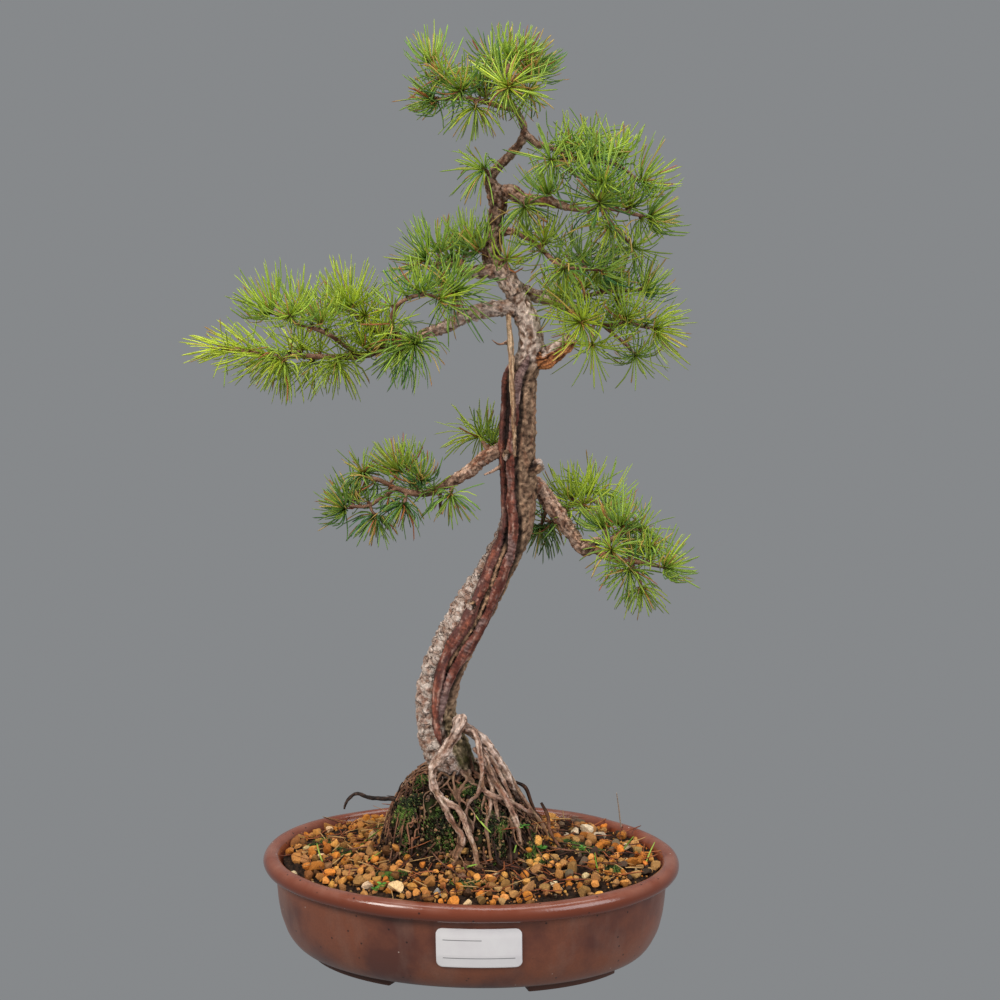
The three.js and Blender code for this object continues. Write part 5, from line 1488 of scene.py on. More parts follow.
        Tuft((-56, -18, 289), (-0.1, -0.3, -1), 14),
        Tuft((-75, -20, 294), (-0.8, -0.4, 0.1), 16),
        Tuft((-71, -8, 298), (-0.5, 0.7, 0.4), 12),
        Tuft((-36, 2, 304), (0.1, 0.9, 0.3), 12),
    )),
    SprayPlan("spray_low_left_near", Tone.AGED, (
        ((-10, -7, 308, 1.5), (-10, -11, 304, 1.4)),
    ), (
        Tuft((-10, -13, 302), (0, -0.5, -0.8), 12),
    )),
    SprayPlan("spray_low_left_back", Tone.BRIGHT, (
        ((13, 2, 325, 1.8), (9, 12, 328, 1.6), (5, 22, 331, 1.3)),
    ), (
        Tuft((4, 25, 332), (-0.3, 0.6, 0.8), 14),
        Tuft((13, 14, 330), (0.4, 0.3, 0.9), 12),
    )),
    SprayPlan("spray_low_right_end", Tone.MIXED, (
        ((78, 0, 267, 2.4), (86, -2, 263, 2.4), (98, -5, 261, 1.8), (108, -7, 261, 1.4),
         (119, -8, 259, 1.2)),
        ((100, -5, 261, 1.3), (105, -8, 254, 1.2), (107, -8, 248, 1.1)),
    ), (
        Tuft((112, -2, 269), (0.4, 0, 1), 14),
        Tuft((122, -9, 259), (1, -0.2, 0), 16),
        Tuft((100, -14, 258), (-0.1, -0.8, -0.4), 14),
        Tuft((107, -8, 245), (0.1, -0.1, -1), 12),
        Tuft((100, 4, 264), (0.1, 0.9, 0.4), 12),
        Tuft((89, -10, 269), (-0.1, -0.8, 0.6), 12),
    )),
    SprayPlan("spray_low_right_crest", Tone.MIXED, (
        ((83, 0, 272, 1.8), (87, 0, 273, 1.7), (95, 2, 277, 1.4), (102, 5, 278, 1.2)),
    ), (
        Tuft((84, 3, 280), (-0.3, 0.1, 1), 14),
        Tuft((95, -6, 284), (0.1, -0.6, 0.8), 14),
        Tuft((106, 8, 278), (0.6, 0.4, 0.7), 14),
    )),
    SprayPlan("spray_low_right_back", Tone.BRIGHT, (
        ((55, 14, 284, 2), (58, 26, 287, 1.7), (65, 38, 289, 1.4), (72, 44, 289, 1.2), (81, 48, 285, 1.1)),
    ), (
        Tuft((72, 46, 293), (0.1, 0.3, 1), 16),
        Tuft((61, 34, 292), (-0.3, 0.2, 1), 14),
        Tuft((82, 50, 284), (0.8, 0.4, 0.3), 12),
        Tuft((69, 28, 289), (0.1, -0.9, 0.3), 10),
    )),
    SprayPlan("spray_low_right_under", Tone.MIXED, (
        ((49, 15, 292, 1.6), (45, 26, 284, 1.4), (42, 34, 275, 1.2)),
    ), (
        Tuft((41, 35, 273), (-0.3, 0.2, -0.9), 14),
        Tuft((49, 32, 277), (0.4, 0.3, -0.6), 12),
    )),
)


DRY_TIPS = 0.09
SPENT_NEEDLES = 0.05
FIRST_SPRAY_SEED = 100


@dataclass
class Needles:
    """A batch of needles: where each starts, the ways it leaves and ends, its length, width and colour."""

    base: np.ndarray
    leave: np.ndarray
    end: np.ndarray
    length: np.ndarray
    width: np.ndarray
    colour: np.ndarray

    @classmethod
    def gathered(cls, batches: Sequence["Needles"]) -> "Needles":
        """All the batches as one."""
        names = ("base", "leave", "end", "length", "width", "colour")
        return cls(*(np.concatenate([getattr(batch, name) for batch in batches]) for name in names))

    def bent(self, pattern: Pattern, rng: np.random.Generator) -> tuple[np.ndarray, Faces, np.ndarray]:
        """Bends a copy of one straight needle along each needle's curve.

        Args:
            pattern: A needle of length 1 up the z axis, about 1 wide along x.
            rng: The draw for how each is turned about itself.

        Returns:
            The corners, the triangles and the colours.
        """
        x, y, t = pattern.points.T
        leave = unit(self.leave)[:, None, :]
        end = unit(self.end)[:, None, :]
        t = t[None, :, None]
        bow = leave * (t - t * t / 2) + end * t * t / 2
        line = self.base[:, None, :] + self.length[:, None, None] * bow
        way = unit(leave * (1 - t) + end * t)
        side = unit(np.cross(unit(rng.normal(size=self.base.shape))[:, None, :], way))
        over = np.cross(way, side)
        width = self.width[:, None, None]
        dry = rng.uniform(size=len(self.base)) < DRY_TIPS
        dry = dry[:, None] * ease(0.55, 0.95, pattern.points[:, 2])[None]
        points = line + side * x[None, :, None] * width + over * y[None, :, None] * width
        count = len(self.base)
        faces = pattern.faces[None] + np.arange(count)[:, None, None] * len(pattern.points)
        shade = 1.12 - 0.3 * pattern.points[:, 2]
        colours = self.colour[:, None, :] * shade[None, :, None]
        colours = blend(colours, "a8623a", dry * 0.8)
        return points.reshape(-1, 3), faces.reshape(-1, 3), colours.reshape(-1, 3)


def needle_pattern() -> Pattern:
    """Models one flat tapering needle of length 1, three-sided, with a closed foot and a point.

    Returns:
        The needle, up the z axis.
    """
    deselect()
    bpy.ops.mesh.primitive_cone_add(vertices=3, radius1=0.5, radius2=0.0, depth=1.0, location=(0, 0, 0.5))
    needle = take(settled())
    bpy.ops.object.mode_set(mode="EDIT")
    bpy.ops.mesh.select_all(action="DESELECT")
    bpy.ops.object.mode_set(mode="OBJECT")
    for edge in needle.data.edges:
        ends = [needle.data.vertices[i].co.z for i in edge.vertices]
        edge.select = abs(ends[0] - ends[1]) > 0.5
    bpy.ops.object.mode_set(mode="EDIT")
    bpy.ops.mesh.select_mode(type="EDGE")
    bpy.ops.mesh.subdivide(number_cuts=3)
    bpy.ops.mesh.select_mode(type="VERT")
    bpy.ops.object.mode_set(mode="OBJECT")
    for corner in needle.data.vertices:
        station = min(4, round(corner.co.z * 4))
        taper = 1.0 - station / 4
        if taper > 0:
            grow = (0.66, 1.0, 1.0, 0.84)[station] / taper
            corner.co.x *= grow
            corner.co.y *= grow * 0.62
        corner.co.z = (0.0, 0.3, 0.62, 0.92, 1.0)[station]
    return Pattern.lifted(needle)


def bud_pattern() -> Pattern:
    """Models one scaly bud cushion, a small barrel about 1 across and 1 high.

    Returns:
        The bud cushion.
    """
    deselect()
    bpy.ops.mesh.primitive_cylinder_add(vertices=6, radius=0.5, depth=1.0, location=(0, 0, 0.3))
    bud = settled()
    shape(bud, lambda: bpy.ops.mesh.bevel(offset=0.17, segments=1, affect="EDGES"), close_and_turn_out)
    return Pattern.lifted(bud)


@dataclass
class FoliageSpray:
    """One spray: its twigs with their bud cushions, and the needles of its tufts and short shoots."""

    plan: SprayPlan
    seed: int
    tuft_richness: float = 3.4
    shoot_spacing: float = 10.0
    shortest: float = 20.0
    longest: float = 33.0
    width: float = 1.1
    cap_edge: float = -0.3
    twig_step: float = 2.2
    sits_on_twig: float = 1.5
    large_tuft: int = 18

    def __post_init__(self) -> None:
        """Starts the spray's own random draw."""
        self.rng = np.random.default_rng(self.seed)

    def colours(self, young: np.ndarray, lit: np.ndarray) -> np.ndarray:
        """Draws needle colours: half from the tuft's own, half from the spray's.

        Args:
            young: How young each needle is, from 0 to 1.
            lit: How far each needle points up, from -1 to 1, which sets its painted light and shade.

        Returns:
            A linear colour for each.
        """
        count = len(young)
        shares = np.array(self.plan.tone.value) / sum(self.plan.tone.value)
        own = PALETTE[self.rng.choice(GREENS, p=shares[:GREENS] / shares[:GREENS].sum())]
        drawn = self.rng.choice(len(PALETTE), size=count, p=shares)
        colour = PALETTE[drawn]
        green = drawn < GREENS
        colour = np.where(green[:, None], colour * 0.62 + own * 0.38, colour)
        colour = blend(colour, Hue.LIME.value, young * 0.5 * green)
        # painted light and shade: needles that point down are deepened towards dark green, those that point up
        # brightened towards fresh green
        colour = blend(colour, Hue.DEEP.value, np.maximum(-lit, 0) * 0.45 * green)
        colour = blend(colour, Hue.FRESH.value, np.maximum(lit, 0) * 0.3 * green)
        return colour * self.rng.uniform(0.84, 1.14, (count, 1))

    def rosette(self, at: np.ndarray, facing: np.ndarray, count: int, reach: float = 1.0) -> Needles:
        """Needles fanned from one bud over a cap round the way it faces.

        Args:
            at: The bud's middle.
            facing: The way it faces.
            count: How many needles.
            reach: A share of the full length.

        Returns:
            The needles.
        """
        facing = unit(facing)
        side = unit(np.cross(facing, self.rng.normal(size=3)))
        over = np.cross(facing, side)
        share = (np.arange(count) + 0.5) / count
        rim = self.cap_edge + self.rng.uniform(-0.1, 0.5) * ease(-0.2, 0.8, facing[2])
        height = 1 - (1 - rim) * share
        flat = np.sqrt(np.maximum(0.0, 1 - height * height))
        around = GOLDEN_ANGLE * np.arange(count) + self.rng.uniform(0, 6)
        out = side * np.cos(around)[:, None] + over * np.sin(around)[:, None]
        leave = facing * height[:, None] + out * flat[:, None]
        leave = unit(leave + self.rng.normal(scale=0.11, size=(count, 3)))
        lift = self.rng.uniform(0.5, 1.5) * (1 if self.rng.uniform() < 0.8 else -0.6)
        curl = (lift + self.rng.normal(scale=0.2, size=(count, 1))) * ease(0.05, 0.45, share)[:, None]
        upward = float(ease(-0.3, 0.5, facing[2]))
        bend = unit(facing * (1.1 - 0.3 * upward) + UP * upward + self.rng.normal(scale=0.4, size=3))
        end = unit(leave + bend * curl * 2.3 + self.rng.normal(scale=0.16, size=(count, 3)))
        young = ease(0.5, 0.08, share) * self.rng.uniform(0.3, 1.0, count)
        length = self.rng.uniform(self.shortest, self.longest, count) * reach * self.plan.tone.reach
        length *= 1 - 0.3 * young
        width = self.width * self.rng.uniform(0.82, 1.12, count)
        base = at + leave * self.rng.uniform(0.3, 1.4, (count, 1))
        colours = self.colours(young, leave[:, 2])
        spent = self.rng.uniform(size=count) < SPENT_NEEDLES
        length[spent] *= self.rng.uniform(0.3, 0.6)
        colours[spent] = tints(Hue.STRAW.value, Hue.RUST.value).mean(0)
        return Needles(base, leave, end, length, width, colours)

    def shoot_needles(self) -> Needles:
        """Needles set in a spiral up a long young shoot, all pointing forward.

        Returns:
            The needles.
        """
        limb = Limb.through(Wood.TWIG, self.plan.long_shoot, 0.55)
        count = len(limb.points)
        around = GOLDEN_ANGLE * np.arange(count)
        out = limb.normals * np.cos(around)[:, None] + limb.binormals * np.sin(around)[:, None]
        share = np.arange(count) / count
        lean = (0.6 + 1.1 * share)[:, None]
        leave = unit(out + limb.tangents * lean + self.rng.normal(scale=0.12, size=(count, 3)))
        end = unit(leave + limb.tangents * 0.9 + self.rng.normal(scale=0.12, size=(count, 3)))
        length = self.rng.uniform(24, 33, count) * (1 - 0.3 * share)
        lime = np.tile(tint("d4e648"), (count, 1)) * self.rng.uniform(0.9, 1.12, (count, 1))
        colour = blend(lime, Hue.FRESH.value, ease(0.35, 0.0, share) * 0.7)
        return Needles(limb.points, leave, end, length, np.full(count, self.width), colour)

    def spur(self, tuft: Tuft, twigs: Sequence[Limb]) -> tuple[Limb | None, np.ndarray]:
        """The short spur from the nearest twig to a tuft.

        Args:
            tuft: The tuft.
            twigs: The spray's twigs.

        Returns:
            The spur, or nothing where the tuft sits on its twig, and the way from the twig to the tuft.
        """
        at = np.array(tuft.at, float)
        stations = np.concatenate([twig.points for twig in twigs])
        foot = stations[np.linalg.norm(stations - at, axis=1).argmin()]
        way = at - foot
        if np.linalg.norm(way) < self.sits_on_twig:
            return None, unit(np.array(tuft.facing, float))
        middle = (foot + at) / 2 + self.rng.normal(scale=0.5, size=3)
        route = ((*foot, 0.95), (*middle, 0.85), (*at, 1.0))
        return Limb.through(Wood.TWIG, route, 1.5), unit(way)

    def build(self, needle: Pattern, bud: Pattern, finishes: Sequence[Material]) -> Piece:
        """Models and dresses the spray.

        Args:
            needle: The straight needle.
            bud: The bud cushion.
            finishes: The twigs' and the needles' materials.

        Returns:
            The piece that stands for the spray's node.
        """
        routes = [route for route in (*self.plan.twigs, self.plan.long_shoot) if route]
        twigs = [Limb.through(Wood.TWIG, route, self.twig_step) for route in routes]
        batches = []
        buds = []
        limbs = list(twigs)
        for tuft in self.plan.tufts:
            spur, way = self.spur(tuft, twigs)
            if spur:
                limbs.append(spur)
            at = np.array(tuft.at, float)
            full = 1.1 if tuft.needles >= self.large_tuft else 1.0
            count = round(tuft.needles * self.tuft_richness / self.plan.tone.reach)
            batches.append(self.rosette(at, np.array(tuft.facing, float), count, full))
            buds.append((at, way, self.rng.uniform(2.6, 3.6)))
        for twig in twigs[:len(self.plan.twigs)]:
            for length in np.arange(self.shoot_spacing * 0.7, twig.lengths[-1], self.shoot_spacing):
                station = np.searchsorted(twig.lengths, length + self.rng.uniform(-2, 2))
                i = int(station.clip(0, len(twig.points) - 1))
                around = self.rng.normal(size=3) + UP * 0.8
                out = unit(around - twig.tangents[i] * float(around @ twig.tangents[i]))
                at = twig.points[i] + out * (twig.radii[i] + 1.0)
                facing = unit(out + twig.tangents[i] * 0.35)
                batches.append(self.rosette(at, facing, int(self.rng.integers(8, 16)), 0.84))
                buds.append((at - out * 0.8, facing, self.rng.uniform(2.0, 2.9)))
        if self.plan.long_shoot:
            batches.append(self.shoot_needles())
        wood = limbs_mesh(self.plan.node + "_twigs", limbs, 1)
        self.roughen(wood)
        knobs = self.bud_mesh(buds, bud)
        for brown in (wood, knobs):
            dress(brown, finishes[0])
        points, faces, colours = Needles.gathered(batches).bent(needle, self.rng)
        green = new_mesh(self.plan.node + "_needles", points, [faces])
        paint(green, colours)
        dress(green, finishes[1])
        piece = join([green, wood, knobs], self.plan.node + "_dressed")
        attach(piece, "root")
        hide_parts(self.plan.node)
        return piece

    def roughen(self, wood: Piece) -> None:
        """Gives the twigs their knots and their mottled brown, with painted light: paler on their upper sides.

        Args:
            wood: The twigs' mesh.
        """
        points = places_of(wood)
        normals = normals_of(wood)
        rough = clouds(points, 3.0, float(self.seed))
        move_to(wood, points + normals * (0.3 * rough)[:, None])
        # painted light: the brown turns paler where the surface faces up
        paint(wood, blend("6b4634", "a98068", ease(-0.5, 0.6, rough + 0.5 * normals[:, 2])))

    def bud_mesh(self, buds: Sequence[tuple], bud: Pattern) -> Piece:
        """The bud cushions, one under each rosette.

        Args:
            buds: For each, its place, the way it stands and its size.
            bud: The shape that is copied.

        Returns:
            One mesh with all of them.
        """
        places, ways, sizes = (np.array(column) for column in zip(*buds))
        turns = turns_along(ways, self.rng.normal(size=ways.shape)) * sizes[:, None, None]
        points, faces = bud.copied(places - ways * sizes[:, None] * 0.35, turns)
        mesh = new_mesh(self.plan.node + "_buds", points, [faces])
        shade = self.rng.uniform(0.0, 1.0, len(buds))
        paint(mesh, bud.spread(blend("4a3024", "8c6145", shade)))
        return mesh


@dataclass(frozen=True)
class OvalPot:
    """The pot's oval: circles of a lathe pressed so that the wall keeps its thickness all round."""

    half_length: float = 133.0
    half_depth: float = 99.0
    core: float = 70.0

    def depth(self, radius: np.ndarray) -> np.ndarray:
        """The half depth of the oval whose half length is the radius.

        Args:
            radius: Half lengths of ovals.

        Returns:
            Their half depths.
        """
        radius = np.asarray(radius, float)
        shortfall = self.half_length - self.half_depth
        return np.where(radius > self.core, radius - shortfall, radius * (self.core - shortfall) / self.core)

    def pressed(self, points: np.ndarray) -> np.ndarray:
        """Presses round outlines into ovals.

        Args:
            points: Places on circles round the z axis.

        Returns:
            The places on the ovals.
        """
        radius = np.hypot(points[:, 0], points[:, 1])
        angle = np.arctan2(points[:, 1], points[:, 0])
        return np.stack([radius * np.cos(angle), self.depth(radius) * np.sin(angle), points[:, 2]], 1)

    def holds(self, points: np.ndarray, radius: float) -> np.ndarray:
        """Whether each point lies inside the oval of a radius."""
        return (points[:, 0] / radius) ** 2 + (points[:, 1] / float(self.depth(radius))) ** 2 < 1


OVAL = OvalPot()


@dataclass(frozen=True)
class GlazeFinish:
    """A satin brown glaze: redder and glossier on the lip, hazy patches, specks, a bare foot.

    The levels are heights in metres, from where a colour begins to where it is full.
    """

    body: str = "64382c"
    warm: str = "8a5038"
    haze: str = "917264"
    rusty: str = "8a4e30"
    cloudy: str = "5c3328"
    lip: str = "7a3a24"
    worn: str = "9c6a58"
    speck: str = "2f1a14"
    pinhole: str = "cdb7aa"
    bare: str = "4f2d20"
    rusty_below: tuple[float, float] = (0.034, 0.012)
    lip_from: tuple[float, float] = (0.0545, 0.0575)
    worn_from: tuple[float, float] = (0.0615, 0.066)
    bare_below: tuple[float, float] = (0.0085, 0.006)

    def material(self) -> Material:
        """The glaze's material.

        Returns:
            The material.
        """
        shader = Shader("glaze", Specular_IOR_Level=0.5, Coat_Weight=0.25, Coat_Roughness=0.22)
        height = shader.add("ShaderNodeSeparateXYZ", {"Vector": shader.place}).outputs["Z"]
        patches = shader.noise(46.0, 4.0)
        flow = shader.noise(22.0, 4.0, shader.stretched(shader.place, (1.0, 1.0, 0.35)))
        colour = shader.mix(shader.ramp(patches, 0.4, 0.58), self.body, self.warm)
        colour = shader.mix(shader.ramp(flow, 0.5, 0.75, 0.0, 0.6), colour, self.haze)
        low = shader.times(shader.ramp(height, *self.rusty_below), shader.ramp(patches, 0.4, 0.6))
        colour = shader.mix(shader.times(low, 0.6), colour, self.rusty)
        fine = shader.noise(1.3, 3.0)
        colour = shader.mix(shader.ramp(fine, 0.35, 0.65, 0.0, 0.22), colour, self.cloudy)
        lip = shader.ramp(height, *self.lip_from)
        colour = shader.mix(lip, colour, self.lip)
        worn = shader.times(shader.ramp(height, *self.worn_from), shader.ramp(flow, 0.4, 0.65, 0.1, 0.6))
        colour = shader.mix(worn, colour, self.worn)
        dark = shader.specks(8.0, 0.07, 0.1)
        colour = shader.mix(shader.times(dark, 0.85), colour, self.speck)
        aside = shader.add("ShaderNodeMapping", {"Vector": shader.place, "Location": (0.31, 0.17, 0.05)})
        pale = shader.specks(11.0, 0.035, 0.055, aside.outputs["Vector"])
        colour = shader.mix(shader.times(pale, 0.7), colour, self.pinhole)
        foot = shader.ramp(height, *self.bare_below)
        colour = shader.mix(foot, colour, self.bare)
        shader.drive("Base Color", colour)
        rough = shader.maths("ADD", shader.ramp(flow, 0.3, 0.7, 0.3, 0.44), shader.times(foot, 0.4))
        shader.drive("Roughness", shader.maths("SUBTRACT", rough, shader.times(lip, 0.2)))
        pits = shader.maths("SUBTRACT", shader.noise(2.4, 3.0), shader.times(dark, 0.8))
        shader.bump(pits, 0.25, 0.35)
        return shader.material


OUTER_WALL = ((107.6, 5.5), (112, 7.2), (117, 13), (121, 22), (123.5, 33), (124.7, 45), (125, 53.6))
INNER_WALL = ((123, 64.4), (121, 60.5), (119.6, 56), (118.2, 40), (114, 23), (108.5, 15.8), (100, 13.2))


@dataclass
class GlazedPot:
    """The oval pot with its rolled lip, four low feet and two drain holes."""

    foot_height: float = 5.0
    floor_top: float = 13.0
    hole_radius: float = 9.0
    hole_offset: float = 52.0
    steps: int = 176
    foot_from: float = 92.0
    foot_to: float = 104.0
    foot_span: tuple[float, float] = (0.42, 1.14)

    def profile(self) -> list[tuple[float, float]]:
        """The wall's section from the axis under the pot, over the lip, back to the axis on the floor.

        Returns:
            Pairs of a radius and a height.
        """
        turns = np.radians(np.arange(-80, 98, 12.0))
        return [
            *((r, self.foot_height) for r in (0, 60, 100, 105.4)),
            *self.section(OUTER_WALL, 2.4),
            (125.3, 55.0), (126.3, 55.8),
            *((128.5 + 4.5 * math.cos(turn), 61.3 + 5.4 * math.sin(turn)) for turn in turns),
            (126.2, 66.9), (124.4, 66.2),
            *self.section(INNER_WALL, 3.2),
            (60, self.floor_top), (0, self.floor_top),
        ]

    def section(self, line: Sequence[tuple[float, float]], step: float) -> list[tuple[float, float]]:
        """A smooth line through points of the section, with a point about every step."""
        smooth = Limb.through(Wood.TRUNK, [(r, 0, z, 1) for r, z in line], step)
        return [(r, z) for r, _, z in smooth.points]

    def build(self) -> Piece:
        """Models and dresses the pot.

        Returns:
            The piece that stands for the pot's node.
        """
        piece = new_line("glazed_pot", [(r * MM, 0.0, z * MM) for r, z in self.profile()])
        turn = {"steps": self.steps, "angle": 2 * math.pi, "center": (0, 0, 0), "axis": (0, 0, 1)}
        shape(piece, lambda: bpy.ops.mesh.spin(**turn), select_whole, close_and_turn_out)
        move_to(piece, OVAL.pressed(places_of(piece) + GROUP_SHIFT))
        for quarter in range(4):
            self.combine(piece, self.foot(quarter), "UNION")
        for side in (-1, 1):
            self.combine(piece, self.drain(side), "DIFFERENCE")
        points = places_of(piece)
        hand = clouds(points, (60, 60, 30), 3.0)[:, None] * normals_of(piece)
        above = ease(6, 20, points[:, 2])[:, None]
        move_to(piece, points + 0.55 * hand * above)
        smooth_below(piece, 40)
        dress(piece, GlazeFinish().material())
        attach(piece, "root")
        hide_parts("pot")
        return piece

    def combine(self, piece: Piece, tool: Piece, operation: str) -> None:
        """Joins or cuts the pot with a solid, and removes the solid."""
        modify(piece, "BOOLEAN", object=tool, operation=operation, solver="EXACT")
        bpy.data.objects.remove(tool)

    def foot(self, quarter: int) -> Piece:
        """One low foot under a quarter of the pot.

        Args:
            quarter: The quarter's number, from 0 to 3.

        Returns:
            A solid that is joined to the pot.
        """
        along_x = 1 if quarter < 2 else -1
        along_y = 1 if quarter % 2 else -1
        angles = np.linspace(*self.foot_span, 13)
        outline = []
        for radius, turns in ((self.foot_to, angles), (self.foot_from, angles[::-1])):
            depth = float(OVAL.depth(radius))
            outline += [(radius * math.cos(turn), depth * math.sin(turn), 0.0) for turn in turns]
        outline = np.array(outline) * (along_x, along_y, 1)
        foot = new_mesh("foot", outline, [np.arange(len(outline))[None]], smooth=False)
        rise = (0, 0, (self.foot_height + 3) * MM)
        shape(foot, lambda: bpy.ops.mesh.extrude_region_move(TRANSFORM_OT_translate={"value": rise}),
              select_whole, close_and_turn_out)
        round_edges(foot, 0.9)
        return foot

    def drain(self, side: int) -> Piece:
        """The bore of one drain hole.

        Args:
            side: -1 for the left hole and 1 for the right one.

        Returns:
            A solid that is cut from the pot.
        """
        deselect()
        middle = (np.array((side * self.hole_offset, 0.0, self.floor_top)) + GROUP_SHIFT) * MM
        bpy.ops.mesh.primitive_cylinder_add(vertices=40, radius=self.hole_radius * MM, depth=40 * MM,
                                            location=middle)
        return bpy.context.object


@dataclass
class PlantLabel:
    """A blank white plate bent to the pot's front wall, with plain ruled lines."""

    width: float = 52.0
    height: float = 26.0
    corner: float = 4.0
    thickness: float = 1.0
    stand_off: float = 0.45
    middle_x: float = 15.5
    middle_z: float = 38.0

    def wall(self, level: np.ndarray) -> np.ndarray:
        """The pot wall's half length at a level."""
        return np.interp(level, (13, 22, 33, 45, 55), (117, 121, 123.5, 124.7, 125))

    def build(self) -> Piece:
        """Models and dresses the label.

        Returns:
            The piece that stands for the label's node.
        """
        deselect()
        squares = {"x_subdivisions": round(self.width), "y_subdivisions": round(self.height)}
        bpy.ops.mesh.primitive_grid_add(size=1.0, **squares)
        plate = bpy.context.object
        sheet = numbers_in(plate.data.vertices, "co").astype(float)[:, :2] * (self.width, self.height)
        corner = np.array((self.width, self.height)) / 2 - self.corner
        past = np.maximum(np.abs(sheet) - corner, 0.0)
        reach = np.maximum(past[:, 0], past[:, 1])
        length = np.maximum(np.hypot(past[:, 0], past[:, 1]), 1e-9)
        both = (past > 0).all(1)
        sheet = np.where(both[:, None], np.sign(sheet) * (corner + past * (reach / length)[:, None]), sheet)
        level = self.middle_z + sheet[:, 1]
        x = self.middle_x + sheet[:, 0]
        half = self.wall(level) + self.stand_off + self.thickness / 2
        y = -OVAL.depth(half) * np.sqrt(1 - (x / half) ** 2)
        move_to(plate, np.stack([x, y, level], 1))
        store(plate, "sheet", np.column_stack([sheet * MM, np.zeros(len(sheet))]))
        modify(plate, "SOLIDIFY", thickness=self.thickness * MM, offset=0.0)
        round_edges(plate, 0.22)
        shape(plate, close_and_turn_out)
        smooth_below(plate, 40)
        plate.name = plate.data.name = "blank_label"
        dress(plate, self.finish())
        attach(plate, "root")
        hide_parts("plant_label")
        return plate

    def finish(self) -> Material:
        """White satin plastic with two thin ruled lines.

        Returns:
            The material.
        """
        shader = Shader("label_plastic", Roughness=0.38, Specular_IOR_Level=0.45)
        parts = shader.add("ShaderNodeSeparateXYZ", {"Vector": shader.attribute("sheet", "Vector")})
        lines = None
        for level, left, right in ((5.5, -22.0, 2.0), (-6.5, -22.0, 22.0)):
            across = shader.maths("ABSOLUTE", shader.maths("SUBTRACT", parts.outputs["Y"], level * MM))
            thin = shader.ramp(across, 0.00030, 0.00018)
            start = shader.ramp(parts.outputs["X"], left * MM, left * MM + 0.0003)
            end = shader.ramp(parts.outputs["X"], right * MM, right * MM - 0.0003)
            line = shader.times(thin, shader.times(start, end))
            lines = line if lines is None else shader.maths("MAXIMUM", lines, line)
        haze = shader.ramp(shader.noise(12.0, 3.0), 0.3, 0.7)
        colour = shader.mix(haze, "f1ecec", "f8f5f3")
        shader.drive("Base Color", shader.mix(lines, colour, "6d6a6c"))
        shader.bump(shader.noise(0.6, 2.0), 0.04, 0.3)
        return shader.material


@dataclass(frozen=True)
class ScreenFinish:
    """Black moulded plastic net, dusty from the soil."""

    def material(self) -> Material:
        """The net's material.

        Returns:
            The material.
        """
        shader = Shader("screen_plastic", Roughness=0.55)
        dust = shader.ramp(shader.noise(4.0, 4.0), 0.45, 0.7, 0.0, 0.6)
        shader.drive("Base Color", shader.mix(dust, "1b1d1c", "5a4c3e"))
        shader.bump(shader.noise(0.8, 3.0), 0.2, 0.4)
        return shader.material


def root_ball(x: np.ndarray, y: np.ndarray) -> np.ndarray:
    """How high the root ball stands out of the soil: steep at the front and the left, sloping elsewhere.

    Args:
        x: Places along the pot.
        y: Places across it.

    Returns:
        The height in millimetres.
    """
    aside, behind = np.asarray(x) + 8.0, np.asarray(y) - 6.0
    across = np.where(aside < 0, (aside / 50) ** 4, (aside / 60) ** 2)
    along = np.where(behind < 0, (behind / 41) ** 4, (behind / 48) ** 2)
    return 50 * np.maximum(0.0, 1 - across - along)


def soil_level(x: np.ndarray, y: np.ndarray) -> np.ndarray:
    """The height of the soil's smooth surface: a low crown with the root ball on it."""
    spread = (np.asarray(x) / OVAL.half_length) ** 2 + (np.asarray(y) / OVAL.half_depth) ** 2
    return 61 + 12 * np.maximum(0.0, 1 - spread) + root_ball(x, y)


@dataclass(frozen=True)
class HumusFinish:
    """Damp dark humus, crumbly, with brown flecks and a green bloom on the mound."""

    def material(self) -> Material:
        """The humus' material.

        Returns:
            The material.
        """
        shader = Shader("humus", Roughness=0.92, Specular_IOR_Level=0.2)
        crumbs = shader.noise(3.0, 6.0, rough=0.7)
        colour = shader.mix(shader.ramp(crumbs, 0.38, 0.7), "0f0a07", "432e20")
        flecks = shader.ramp(shader.noise(1.2, 3.0), 0.62, 0.72)
        colour = shader.mix(shader.times(flecks, 0.55), colour, "8a6844")
        patches = shader.ramp(shader.noise(9.0, 4.0), 0.5, 0.62, 0.0, 0.7)
        green = shader.times(shader.attribute("moss", "Fac"), patches)
        colour = shader.mix(green, colour, "2c3a18")
        shader.drive("Base Color", colour)
        shader.bump(crumbs, 1.2, 1.0)
        return shader.material


@dataclass(frozen=True)
class Patch:
    """A patch on the soil: its middle, how far it spreads each way, and how many shapes stand in it."""

    x: float
    y: float
    along: float
    across: float
    count: int


